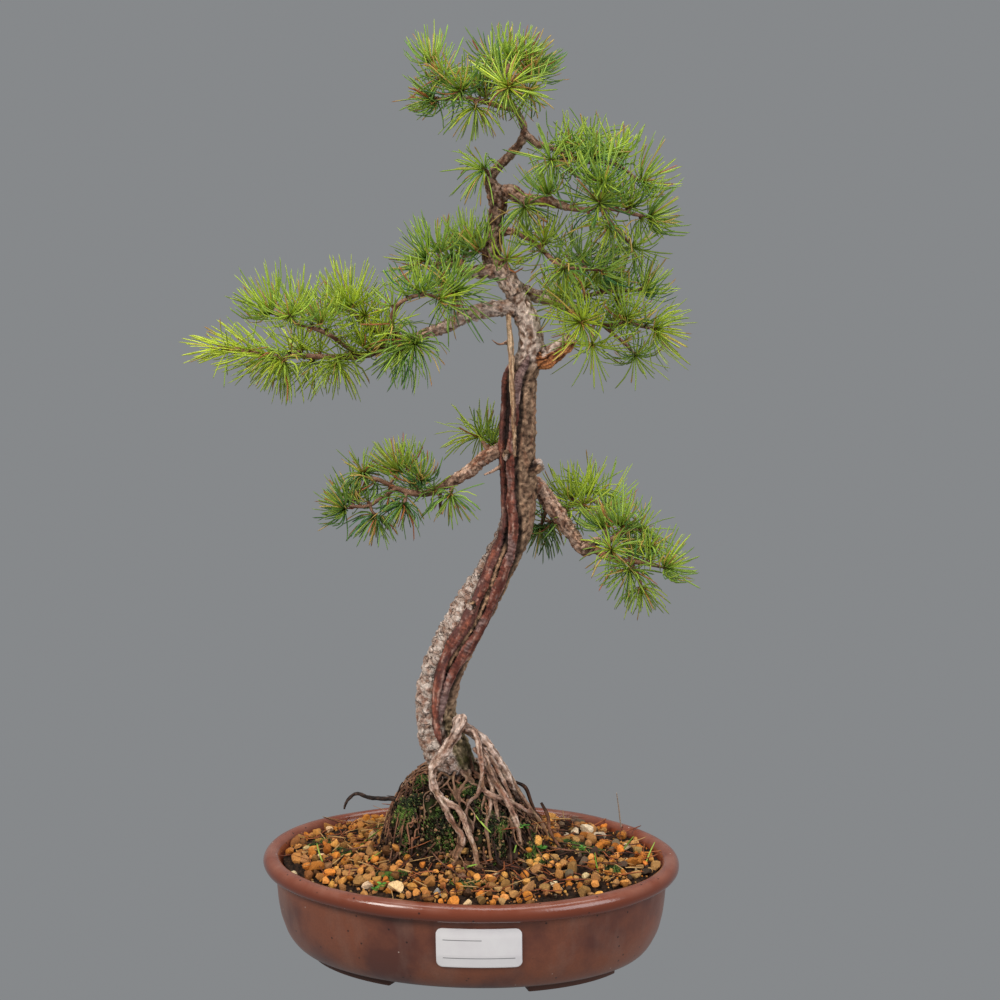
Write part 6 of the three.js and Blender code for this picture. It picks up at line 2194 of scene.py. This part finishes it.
MOSS_PATCHES = (
    Patch(-37, -24, 8, 6, 300), Patch(-29, -14, 5, 4, 40), Patch(-14, -30, 10, 6, 220),
    Patch(-98, 8, 8, 6, 150), Patch(18, -26, 9, 5, 200), Patch(4, -18, 9, 5, 160), Patch(58, 12, 12, 8, 420),
    Patch(76, 2, 10, 7, 260), Patch(-44, -52, 8, 6, 160), Patch(46, -22, 9, 7, 220),
    Patch(-60, 30, 12, 10, 240), Patch(30, 40, 16, 10, 300), Patch(-20, 55, 18, 9, 260),
    Patch(-80, -14, 8, 6, 110), Patch(6, -62, 9, 5, 120), Patch(92, -22, 7, 5, 90),
)
PALE_STONES = (
    (-56, -66, 5.0, "e6cfa8"), (-37, -72, 6.0, "d9b98c"), (-108, -45, 4.6, "ddc3a0"),
    (-93, -60, 4.4, "d2b48a"), (64, 35, 5.2, "e2cba4"), (71, 41, 5.6, "d8c4a2"), (80, 38, 4.8, "cbb592"),
    (60, 28, 4.0, "e9d9bd"),
    (-12, -73, 4.0, "8f8a80"), (22, -48, 3.4, "e6d2ae"), (58, -52, 3.6, "d9c39a"), (98, 20, 4.0, "ddc8a2"),
)
WEEDS = ((34, -20, 3.4), (37, -17, 2.6), (47, -17, 4.4), (-47, -70, 3.4), (-50, -74, 2.6), (72, -2, 2.8))
UNDER_RINGS = ((116.8, 39.0), (112.8, 23.2), (101.5, 13.5))
GRASS_BLADES = (
    (-71, -4, 0.55, 0.75, 0.35, 22), (-62, -30, 0.7, 0.1, 0.5, 12),
    (112, -5, 0.3, 0.6, 0.9, 16), (96, 8, 0.5, -0.1, 0.9, 15), (-4, -44, 0.9, 0.1, 0.25, 14),
    (6, -26, 0.6, -0.3, -0.7, 16), (84, -30, -0.3, 0.3, 0.8, 13), (30, -30, 0.1, 0.2, 1.0, 12),
    (-90, -30, -0.4, 0.4, 0.6, 14),
)
STALKS: tuple[Route, ...] = (
    ((93, 60, 66, 0.5), (92, 50, 82, 0.45), (91, 40, 96, 0.3)),
    ((46, -8, 104, 0.9), (50, -8, 96, 1.2), (52, -7, 84, 1.0), (60, -4, 70, 0.8)),
    ((28, 8, 112, 0.9), (34, 10, 108, 1.3), (38, 10, 98, 1.1), (44, 8, 84, 0.9)),
)


@dataclass
class SoilBed:
    """What fills the pot: humus, clay grains, pale stones, moss, seedlings, dry needles and twigs."""

    grains: int = 860
    crumbs: int = 1300
    ball_crumbs: int = 2600
    ball_roots: int = 190
    ball_root_points: int = 9
    loose_roots: int = 40
    litter: int = 380
    moss_richness: int = 4
    weed_leaves: int = 6
    top_radius: float = 120.4
    seed: int = 23

    def __post_init__(self) -> None:
        """Starts the bed's own random draw."""
        self.rng = np.random.default_rng(self.seed)

    def humus(self) -> Piece:
        """The dark crumbly ground, a closed body down to the pot's floor.

        Returns:
            The piece that stands for the soil's node.
        """
        deselect()
        bpy.ops.mesh.primitive_grid_add(x_subdivisions=210, y_subdivisions=160, size=2.0)
        ground = bpy.context.object
        a, b, _ = numbers_in(ground.data.vertices, "co").astype(float).T
        across = float(OVAL.depth(self.top_radius))
        x = a * np.sqrt(1 - b * b / 2) * self.top_radius
        y = b * np.sqrt(1 - a * a / 2) * across
        points = np.stack([x, y, soil_level(x, y) - 1.2], 1)
        near_wall = ease(1.0, 0.93, np.sqrt((x / self.top_radius) ** 2 + (y / across) ** 2))
        relief = 2.2 * clouds(points, 13.0, 3.0) + 1.5 * clouds(points, 4.2, 9.0, 4)
        points[:, 2] += relief * (0.3 + 0.7 * near_wall)
        mound = root_ball(x, y)
        on_ball = ease(2, 14, mound)
        outward = unit(np.column_stack([x + 8, y - 6, np.full(len(x), 12.0)]))
        lumps = 4.5 * clouds(points, 11.0, 31.0) + 2.0 * clouds(points, 4.0, 37.0) - 2.5
        points += outward * (lumps * on_ball)[:, None]
        move_to(ground, points)
        store(ground, "moss", on_ball)
        self.close_below(ground)
        ground.name = ground.data.name = "humus"
        dress(ground, HumusFinish().material())
        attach(ground, "root")
        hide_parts("soil")
        return ground

    def close_below(self, ground: Piece) -> None:
        """Draws the ground's edge down inside the pot in steps and closes it on the pot's floor.

        Args:
            ground: The humus' upper side.
        """
        take(ground)
        count = len(ground.data.vertices)
        bpy.ops.object.mode_set(mode="EDIT")
        select_whole()
        bpy.ops.mesh.region_to_loop()
        for _ in UNDER_RINGS:
            bpy.ops.mesh.extrude_region_move(TRANSFORM_OT_translate={"value": (0, 0, -0.01)})
        bpy.ops.mesh.edge_face_add()
        bpy.ops.object.mode_set(mode="OBJECT")
        points = places_of(ground)
        rings = points[count:].reshape(len(UNDER_RINGS), -1, 3)
        for ring, (radius, level) in zip(rings, UNDER_RINGS):
            angle = np.arctan2(ring[:, 1] / float(OVAL.depth(self.top_radius)), ring[:, 0] / self.top_radius)
            ring[:, 0] = radius * np.cos(angle)
            ring[:, 1] = float(OVAL.depth(radius)) * np.sin(angle)
            ring[:, 2] = level
        move_to(ground, points)
        shape(ground, close_and_turn_out)
        ground.data.shade_smooth()

    def grain_pattern(self, seed: int, rounds: int) -> Pattern:
        """Models one angular grain about 1 across, with 80 faces in two rounds or 20 in one.

        Args:
            seed: The seed of the grain's own draw.
            rounds: How finely its faces are divided.

        Returns:
            The grain.
        """
        deselect()
        bpy.ops.mesh.primitive_ico_sphere_add(subdivisions=rounds, radius=0.5)
        grain = bpy.context.object
        rng = np.random.default_rng(seed)
        points = np.array([corner.co for corner in grain.data.vertices])
        points *= rng.uniform(0.72, 1.2, 3)
        for cut in unit(rng.normal(size=(9, 3))):
            over = points @ cut - rng.uniform(0.24, 0.4)
            points -= np.maximum(over, 0)[:, None] * cut
        points += 0.05 * clouds(points, 0.4, seed * 1.7)[:, None] * unit(points)
        grain.data.vertices.foreach_set("co", points.astype(np.float32).ravel())
        return Pattern.lifted(grain)

    def density(self, points: np.ndarray) -> np.ndarray:
        """How thickly grains lie at a place, from 0 to 1.

        Args:
            points: Places on the soil.

        Returns:
            One value for each place.
        """
        x, y = points[:, 0], points[:, 1]
        ball = ease(14, 2, root_ball(x, y))
        bare = np.exp(-(((x - 34) / 26) ** 2) - ((y + 38) / 17) ** 2)
        left_gap = np.exp(-(((x + 84) / 15) ** 2) - ((y - 20) / 22) ** 2)
        drifts = ease(-0.14, 0.06, clouds(np.column_stack([x, y, 0 * x]), 16.0, 5.0, 2))
        left = np.exp(-(((x + 62) / 30) ** 2) - ((y + 22) / 26) ** 2)
        thick = ball * (1 - 0.9 * bare) * (1 - 0.7 * left_gap) * np.clip(0.04 + drifts + 0.5 * left, 0, 1)
        return thick * np.where(y > 45, 0.8, 1.0)

    def scattered(self, count: int, smallest: float, largest: float, taken: list) -> list[tuple]:
        """Draws places for grains that don't lie inside each other.

        Args:
            count: How many are wanted.
            smallest: The smallest size.
            largest: The largest size.
            taken: Places and sizes already in use, added to here.

        Returns:
            Rows of x, y and size.
        """
        made = []
        spots = self.rng.uniform((-119, -86), (119, 86), (count * 14, 2))
        sizes = self.rng.uniform(smallest, largest, len(spots))
        keep = self.rng.uniform(size=len(spots)) < self.density(spots)
        inside = OVAL.holds(spots, self.top_radius - 2.0)
        crowd = np.array(taken) if taken else np.empty((0, 3))
        for (x, y), size in zip(spots[keep & inside], sizes[keep & inside]):
            if len(crowd):
                apart = np.hypot(crowd[:, 0] - x, crowd[:, 1] - y) - (crowd[:, 2] + size) * 0.4
                if apart.min() < 0:
                    continue
            crowd = np.vstack([crowd, (x, y, size)])
            made.append((x, y, size))
            if len(made) == count:
                break
        taken.extend(made)
        return made

    def on_ball(self, count: int, smallest: float, largest: float) -> np.ndarray:
        """Places spread evenly over the root ball's slope, as rows of x, y and size.

        Args:
            count: The most that are made.
            smallest: The smallest size.
            largest: The largest size.

        Returns:
            The rows.
        """
        spots = self.rng.uniform((-62, -38), (50, 54), (count * 40, 2))
        ball = root_ball(*spots.T)
        slope = np.hypot(root_ball(*(spots + (1, 0)).T) - ball, root_ball(*(spots + (0, 1)).T) - ball)
        spots = spots[(ball > 1) & (self.rng.uniform(size=len(spots)) * 4 < np.hypot(1, slope))][:count]
        return np.column_stack([spots, self.rng.uniform(smallest, largest, len(spots))])

    def gravel(self) -> Piece:
        """The clay grains, the fine crumbs and the pale stones, as one piece.

        Returns:
            The finished piece.
        """
        patterns = [self.grain_pattern(seed, 2 if seed < 11 else 1) for seed in range(3, 19)]
        taken = [(x, y, size) for x, y, size, _ in PALE_STONES]
        large = self.scattered(self.grains, 4.4, 8.8, taken)
        small = self.scattered(self.crumbs, 1.5, 2.9, taken)
        rows = np.array([*large, *small, *self.on_ball(self.ball_crumbs, 1.2, 3.4)])
        clays = tints("c47a2e", "cf924a", "bb8a52", "94693a", "6e5c46", "ad8050", "3f3024", "dcbf90")
        shares = (0.22, 0.24, 0.16, 0.14, 0.05, 0.08, 0.07, 0.04)
        colours = clays[self.rng.choice(len(clays), len(rows), p=shares)]
        dark = tints("21160e", "3a281c", "5a412c", "957350")
        on_ball = np.arange(len(rows)) >= len(large) + len(small)
        left = ease(40, -40, rows[:, 0])
        colours = blend(colours, "c47a2c", left * 0.25)
        colours = np.where(on_ball[:, None], dark[self.rng.integers(0, len(dark), len(rows))], colours)
        stones = np.array([(x, y, size * 1.7) for x, y, size, _ in PALE_STONES])
        rows = np.vstack([rows, stones])
        colours = np.vstack([colours, tints(*(code for *_, code in PALE_STONES))])
        colours *= self.rng.uniform(0.66, 1.36, (len(rows), 1)) * self.rng.normal(1, 0.05, (len(rows), 3))
        count = len(rows)
        size = rows[:, 2]
        squash = self.rng.uniform(0.75, 1.2, (count, 3))
        squash[-len(stones):] = (1.2, 0.95, 0.75)
        turns = random_turns(self.rng, count)
        upright = turns_along(np.tile(UP, (len(stones), 1)), self.rng.normal(size=(len(stones), 3)))
        turns[-len(stones):] = upright
        turns = turns * (squash * size[:, None])[:, :, None]
        level = soil_level(rows[:, 0], rows[:, 1]) - 1.0 + size * self.rng.uniform(0.12, 0.38, count)
        places = np.column_stack([rows[:, :2], level])
        which = self.rng.integers(0, 8, count) + np.where(size < 3.5, 8, 0)
        points, faces, shades = [], [], []
        total = 0
        for number, pattern in enumerate(patterns):
            mine = np.flatnonzero(which == number)
            corners, triangles = pattern.copied(places[mine], turns[mine])
            points.append(corners)
            faces.append(triangles + total)
            shades.append(pattern.spread(colours[mine]))
            total += len(corners)
        points = np.concatenate(points)
        piece = new_mesh("clay_grains", points, [np.concatenate(faces)], smooth=False)
        smooth_below(piece, 24)
        mottle = clouds(points, 2.6, 7.0, 2)
        paint(piece, np.concatenate(shades) * (1 + 0.22 * mottle)[:, None])
        dress(piece, BAKED_CLAY.material())
        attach(piece, "root")
        return piece

    def moss(self) -> Piece:
        """Moss: small blades in cushions on the soil and up the root base.

        Returns:
            The finished piece.
        """
        deselect()
        bpy.ops.mesh.primitive_cone_add(vertices=3, radius1=0.2, radius2=0.0, depth=1.0, location=(0, 0, 0.5))
        pattern = Pattern.lifted(settled())
        spots = []
        for patch in MOSS_PATCHES:
            count = patch.count * self.moss_richness
            angle = self.rng.uniform(0, 2 * math.pi, count)
            reach = np.sqrt(self.rng.uniform(0, 1, count))
            edge = 1 + 0.35 * np.sin(3 * angle + patch.x) + 0.2 * np.sin(7 * angle)
            x = patch.x + patch.along * reach * edge * np.cos(angle)
            y = patch.y + patch.across * reach * edge * np.sin(angle)
            lumps = clouds(np.column_stack([x, y, 0 * x]), 4.0, patch.x)
            swell = (1.6 + 1.4 * lumps) * np.sqrt(np.maximum(0.0, 1 - reach * reach))
            spots.append(np.column_stack([x, y, soil_level(x, y) - 1.2 + swell]))
        places = np.concatenate(spots)
        places = places[OVAL.holds(places, self.top_radius - 2)]
        count = len(places)
        lean = UP + self.rng.normal(scale=0.45, size=(count, 3))
        steep = ease(2, 12, root_ball(places[:, 0], places[:, 1]))[:, None]
        lean += unit(np.column_stack([places[:, 0] + 8, places[:, 1] - 6, np.zeros(count)])) * steep * 0.9
        length = self.rng.uniform(1.2, 2.6, count)
        turns = turns_along(lean, self.rng.normal(size=(count, 3))) * length[:, None, None]
        points, faces = pattern.copied(places, turns)
        piece = new_mesh("moss", points, [faces], smooth=False)
        bright = clouds(places, 9.0, 4.0)
        colour = blend("232f17", "5c7a2e", ease(-0.4, 0.6, bright))
        colour = blend(colour, "8f9c50", self.rng.uniform(0, 1, count) > 0.93)
        # painted shade: each blade is darker at its foot, down in the cushion, and brighter at its tip
        tip = 0.5 + 0.8 * np.tile(pattern.points[:, 2], count)
        paint(piece, pattern.spread(colour) * tip[:, None])
        dress(piece, PaintedFinish("moss", roughness=0.75).material())
        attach(piece, "root")
        return piece

    def seedlings(self) -> Piece:
        """Small round-leaved seedlings and a few blades of grass.

        Returns:
            The finished piece.
        """
        deselect()
        bpy.ops.mesh.primitive_circle_add(vertices=10, radius=0.5, fill_type="TRIFAN", location=(0.55, 0, 0))
        leaf = settled()
        for corner in leaf.data.vertices:
            corner.co.z += 0.12 * math.sin(3 * corner.co.x) + 0.1 * abs(corner.co.y)
            corner.co.y *= 0.8
        modify(leaf, "SOLIDIFY", thickness=0.07)
        pattern = Pattern.lifted(leaf)
        places, turns, colours = [], [], []
        for x, y, size in WEEDS:
            level = float(soil_level(x, y)) + 1.6
            for k in range(self.weed_leaves):
                around = GOLDEN_ANGLE * k + x
                out = np.array([math.cos(around), math.sin(around), self.rng.uniform(0.1, 0.6)])
                row = unit(out)
                side = unit(np.cross(UP, row))
                scale = size * self.rng.uniform(0.7, 1.1)
                places.append((x, y, level + 0.4 * k))
                turns.append(np.stack([row, side, np.cross(row, side)]) * scale)
                colours.append(blend("3f7a2c", "7db54a", self.rng.uniform()))
        points, faces = pattern.copied(np.array(places), np.array(turns))
        piece = new_mesh("seedlings", points, [faces])
        paint(piece, pattern.spread(np.array(colours)))
        dress(piece, PaintedFinish("seedling_leaves", roughness=0.5).material())
        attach(piece, "root")
        return piece

    def fallen(self, needle: Pattern) -> Piece:
        """Dry needles, grass blades, reddish rootlets and bits of twig on the soil.

        Args:
            needle: The straight needle.

        Returns:
            The finished piece.
        """
        spots = self.rng.uniform((-116, -83), (116, 83), (self.litter * 2, 2))
        spots = spots[OVAL.holds(spots, self.top_radius - 9) & (root_ball(*spots.T) < 20)][:self.litter]
        count = len(spots)
        angle = self.rng.uniform(0, 2 * math.pi, count)
        way = np.column_stack([np.cos(angle), np.sin(angle), self.rng.normal(scale=0.12, size=count)])
        base = np.column_stack([spots, soil_level(*spots.T) + self.rng.uniform(0.6, 3.4, count)])
        dry_browns = tints("8a4a2c", "a8623a", "6b3a26", "c39a62", "4a2c20")
        colours = dry_browns[self.rng.integers(0, len(dry_browns), count)]
        bend = unit(way + self.rng.normal(scale=0.3, size=(count, 3)) * (1, 1, 0.3))
        length = self.rng.uniform(9, 22, count)
        width = self.rng.uniform(0.6, 1.1, count)
        dry = Needles(base, way, bend, length, width, colours)
        points, faces, shades = Needles.gathered([dry, self.grass()]).bent(needle, self.rng)
        piece = new_mesh("fallen_needles", points, [faces])
        paint(piece, shades)
        dress(piece, PaintedFinish("dry_needles", roughness=0.7).material())
        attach(piece, "root")
        return piece

    def grass(self) -> Needles:
        """A few thin green blades, lying and standing.

        Returns:
            The blades, as broad needles.
        """
        rows = np.array(GRASS_BLADES, float)
        base = np.column_stack([rows[:, :2], soil_level(rows[:, 0], rows[:, 1])])
        way = unit(rows[:, 2:5])
        colours = np.array([blend("7fae3c", "a9c456", k % 3 / 2) for k in range(len(rows))])
        end = unit(way + (0.25, -0.1, 0.1))
        return Needles(base, way, end, rows[:, 5], np.full(len(rows), 1.3), colours)

    def sticks(self) -> Piece:
        """Bits of twig, dark rootlets and one dry stalk that stick out of the soil.

        Returns:
            The finished piece.
        """
        limbs = [Limb.through(Wood.TWIG, route) for route in STALKS]
        for x, y, radius in self.on_ball(self.ball_roots, 0.25, 0.7):
            heading = self.rng.uniform(-math.pi, math.pi)
            stride = self.rng.uniform(1.4, 3.4)
            spot = np.array([x, y])
            path = []
            for step in range(self.ball_root_points):
                level = float(soil_level(*spot))
                path.append((*spot, level + self.rng.uniform(0.2, 1.8), radius * (1.2 - 0.09 * step)))
                heading += self.rng.normal(scale=0.6)
                ahead = spot + (math.cos(heading), math.sin(heading))
                spot = spot + (ahead - spot) * stride / math.hypot(1, float(soil_level(*ahead)) - level)
            limbs.append(Limb.through(Wood.TWIG, np.array(path)))
        hops = np.array([0.6, 2.6, 3.6, 2.8, 1.6, -0.6])
        count = len(hops)
        for _ in range(self.loose_roots):
            angle = self.rng.uniform(-math.pi, 0.6)
            start = np.array([-2 + 44 * math.cos(angle), 2 + 38 * math.sin(angle)])
            way = np.array([math.cos(angle), math.sin(angle)]) + self.rng.normal(scale=0.5, size=2)
            steps = np.linspace(0, 1, count)[:, None] * self.rng.uniform(16, 44)
            wander = np.cumsum(self.rng.normal(scale=1.6, size=(count, 2)), axis=0)
            spots = start + steps * way + wander
            if not OVAL.holds(spots, self.top_radius - 8).all():
                continue
            level = soil_level(*spots.T) + hops * self.rng.uniform(0.5, 1.3)
            radius = np.linspace(self.rng.uniform(0.5, 0.95), 0.3, count)
            limbs.append(Limb.through(Wood.TWIG, np.column_stack([spots, level, radius])))
        piece = limbs_mesh("rootlets", limbs, 0)
        points = places_of(piece)
        tones = clouds(points, 16.0, 6.0)
        colour = blend("2a1a14", "96684e", ease(-0.4, 0.7, tones))
        paint(piece, blend(colour, "c2b09c", ease(88, 92, points[:, 0]) * ease(38, 41, points[:, 1])))
        piece.data.shade_smooth()
        dress(piece, TWIG_BARK.material())
        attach(piece, "root")
        return piece


SWEEP_COLOURS = (
    (0.0, "ebe4dc"), (0.083, "e9e2da"), (0.15, "dfe3df"), (0.22, "d7e4e6"), (0.31, "cddee6"),
    (0.412, "bdc9d4"), (0.49, "c5c6cd"), (0.8, "c7cad6"),
)
LAMPS = (
    ("key", (-1.3, -1.5, 1.7), 0.9, 39.0, "fffaf4"),
    ("fill", (1.7, -1.2, 1.1), 1.4, 27.0, "f8f8fc"),
    ("top", (0.1, 0.1, 2.2), 1.6, 26.0, "ffffff"),
)


@dataclass
class Studio:
    """The pale sweep, the soft lights and the camera."""

    distance: float = 1.5
    pitch: float = 11.6
    azimuth: float = 6.0
    target: tuple[float, float, float] = (0.034, 0.0, 0.297)
    lens: float = 87.1
    sweep_width: float = 7.0
    sweep_front: float = -2.6
    sweep_back: float = 1.5
    sweep_curve: float = 0.7
    sweep_top: float = 3.2

    def build(self) -> None:
        """Makes the whole studio."""
        self.sweep()
        self.lights()
        self.camera()

    def sweep(self) -> None:
        """A floor that curves up into a wall, shading from warm white through pale blue to lilac grey."""
        curve = self.sweep_curve
        corner = [(self.sweep_back - curve + curve * math.sin(turn), curve - curve * math.cos(turn))
                  for turn in np.linspace(0, math.pi / 2, 24)]
        line = [(self.sweep_front, 0.0), (-1.0, 0.0), (0.0, 0.0), *corner, (self.sweep_back, self.sweep_top)]
        sweep = new_line("studio_sweep", [(-self.sweep_width / 2, y, z) for y, z in line])
        across = {"value": (self.sweep_width, 0, 0)}
        shape(sweep, lambda: bpy.ops.mesh.extrude_region_move(TRANSFORM_OT_translate=across))
        mesh = sweep.data
        places = numbers_in(mesh.vertices, "co")
        lengths = np.concatenate([[0], np.cumsum(np.linalg.norm(np.diff(np.array(line), axis=0), axis=1))])
        order = [int(np.argmin(np.linalg.norm(np.array(line) - place[1:], axis=1))) for place in places]
        store(sweep, "along", lengths[order])
        if mesh.polygons[0].normal.z < 0:
            mesh.flip_normals()
        mesh.shade_smooth()
        shader = Shader("sweep_paper", Roughness=0.9, Specular_IOR_Level=0.1)
        from_behind = shader.add("ShaderNodeNewGeometry", {}).outputs["Backfacing"]
        shader.drive("Alpha", shader.maths("SUBTRACT", 1.0, from_behind))
        along = shader.ramp(shader.attribute("along", "Fac"), 2.4, 6.0)
        ramp = shader.add("ShaderNodeValToRGB", {"Fac": along})
        elements = ramp.color_ramp.elements
        while len(elements) < len(SWEEP_COLOURS):
            elements.new(0.5)
        for element, (position, code) in zip(elements, SWEEP_COLOURS):
            element.position = position
            element.color = (*tint(code), 1.0)
        shader.drive("Base Color", ramp.outputs["Color"])
        mesh.materials.append(shader.material)

    def light(self, name: str, place: Sequence[float], size: float, power: float, colour: str) -> None:
        """A soft square light that points at the tree.

        Args:
            name: The light's name.
            place: Where it hangs, in metres.
            size: The side of the square, in metres.
            power: Its power in watts.
            colour: A screen colour's code.
        """
        lamp = bpy.data.lights.new(name, "AREA")
        lamp.size = size
        lamp.energy = power
        lamp.color = tint(colour)
        holder = linked(name, lamp)
        holder.location = place
        way = Vector(self.target) - Vector(place)
        holder.rotation_euler = way.to_track_quat("-Z", "Y").to_euler()

    def lights(self) -> None:
        """A broad key from the upper left, a fill from the right, one from above, and a pale surround."""
        for lamp in LAMPS:
            self.light(*lamp)
        world = bpy.data.worlds.new("studio_air")
        world.use_nodes = True
        surround = world.node_tree.nodes["Background"].inputs
        surround["Color"].default_value = (*tint("eef2f6"), 1.0)
        surround["Strength"].default_value = 0.28
        bpy.context.scene.world = world
        bpy.context.scene.view_settings.view_transform = "Standard"

    def camera(self) -> None:
        """The camera at the photograph's place."""
        lens = bpy.data.cameras.new("camera")
        lens.lens = self.lens
        lens.sensor_width = 36.0
        holder = linked("camera", lens)
        azimuth, pitch = math.radians(self.azimuth), math.radians(self.pitch)
        level = math.cos(pitch)
        back = Vector((math.sin(azimuth) * level, -math.cos(azimuth) * level, math.sin(pitch)))
        holder.location = Vector(self.target) + back * self.distance
        holder.rotation_euler = (-back).to_track_quat("-Z", "Y").to_euler()
        bpy.context.scene.camera = holder


def report(piece: Piece) -> None:
    """Logs a finished piece and its number of triangles."""
    triangles = sum(len(face.vertices) - 2 for face in piece.data.polygons)
    LOG.info("%s: %d triangles", piece.name, triangles)


def main() -> None:
    """Builds the studio and every part of the bonsai."""
    logging.basicConfig(level=logging.INFO, format="%(name)s %(message)s")
    noise.seed_set(NOISE_SEED)
    Studio().build()
    report(GlazedPot().build())
    report(PlantLabel().build())
    for side in ("left", "right"):
        dress(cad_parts["drain_screen_" + side], ScreenFinish().material())
    bed = SoilBed()
    needle = needle_pattern()
    for make in (bed.humus, bed.gravel, bed.moss, bed.seedlings, lambda: bed.fallen(needle), bed.sticks):
        report(make())
    report(LarchWood().build())
    bud = bud_pattern()
    finishes = (TWIG_BARK.material(), NEEDLE_SKIN.material())
    for seed, plan in enumerate(SPRAYS, FIRST_SPRAY_SEED):
        report(FoliageSpray(plan, seed).build(needle, bud, finishes))


if __name__ == "__main__":
    main()
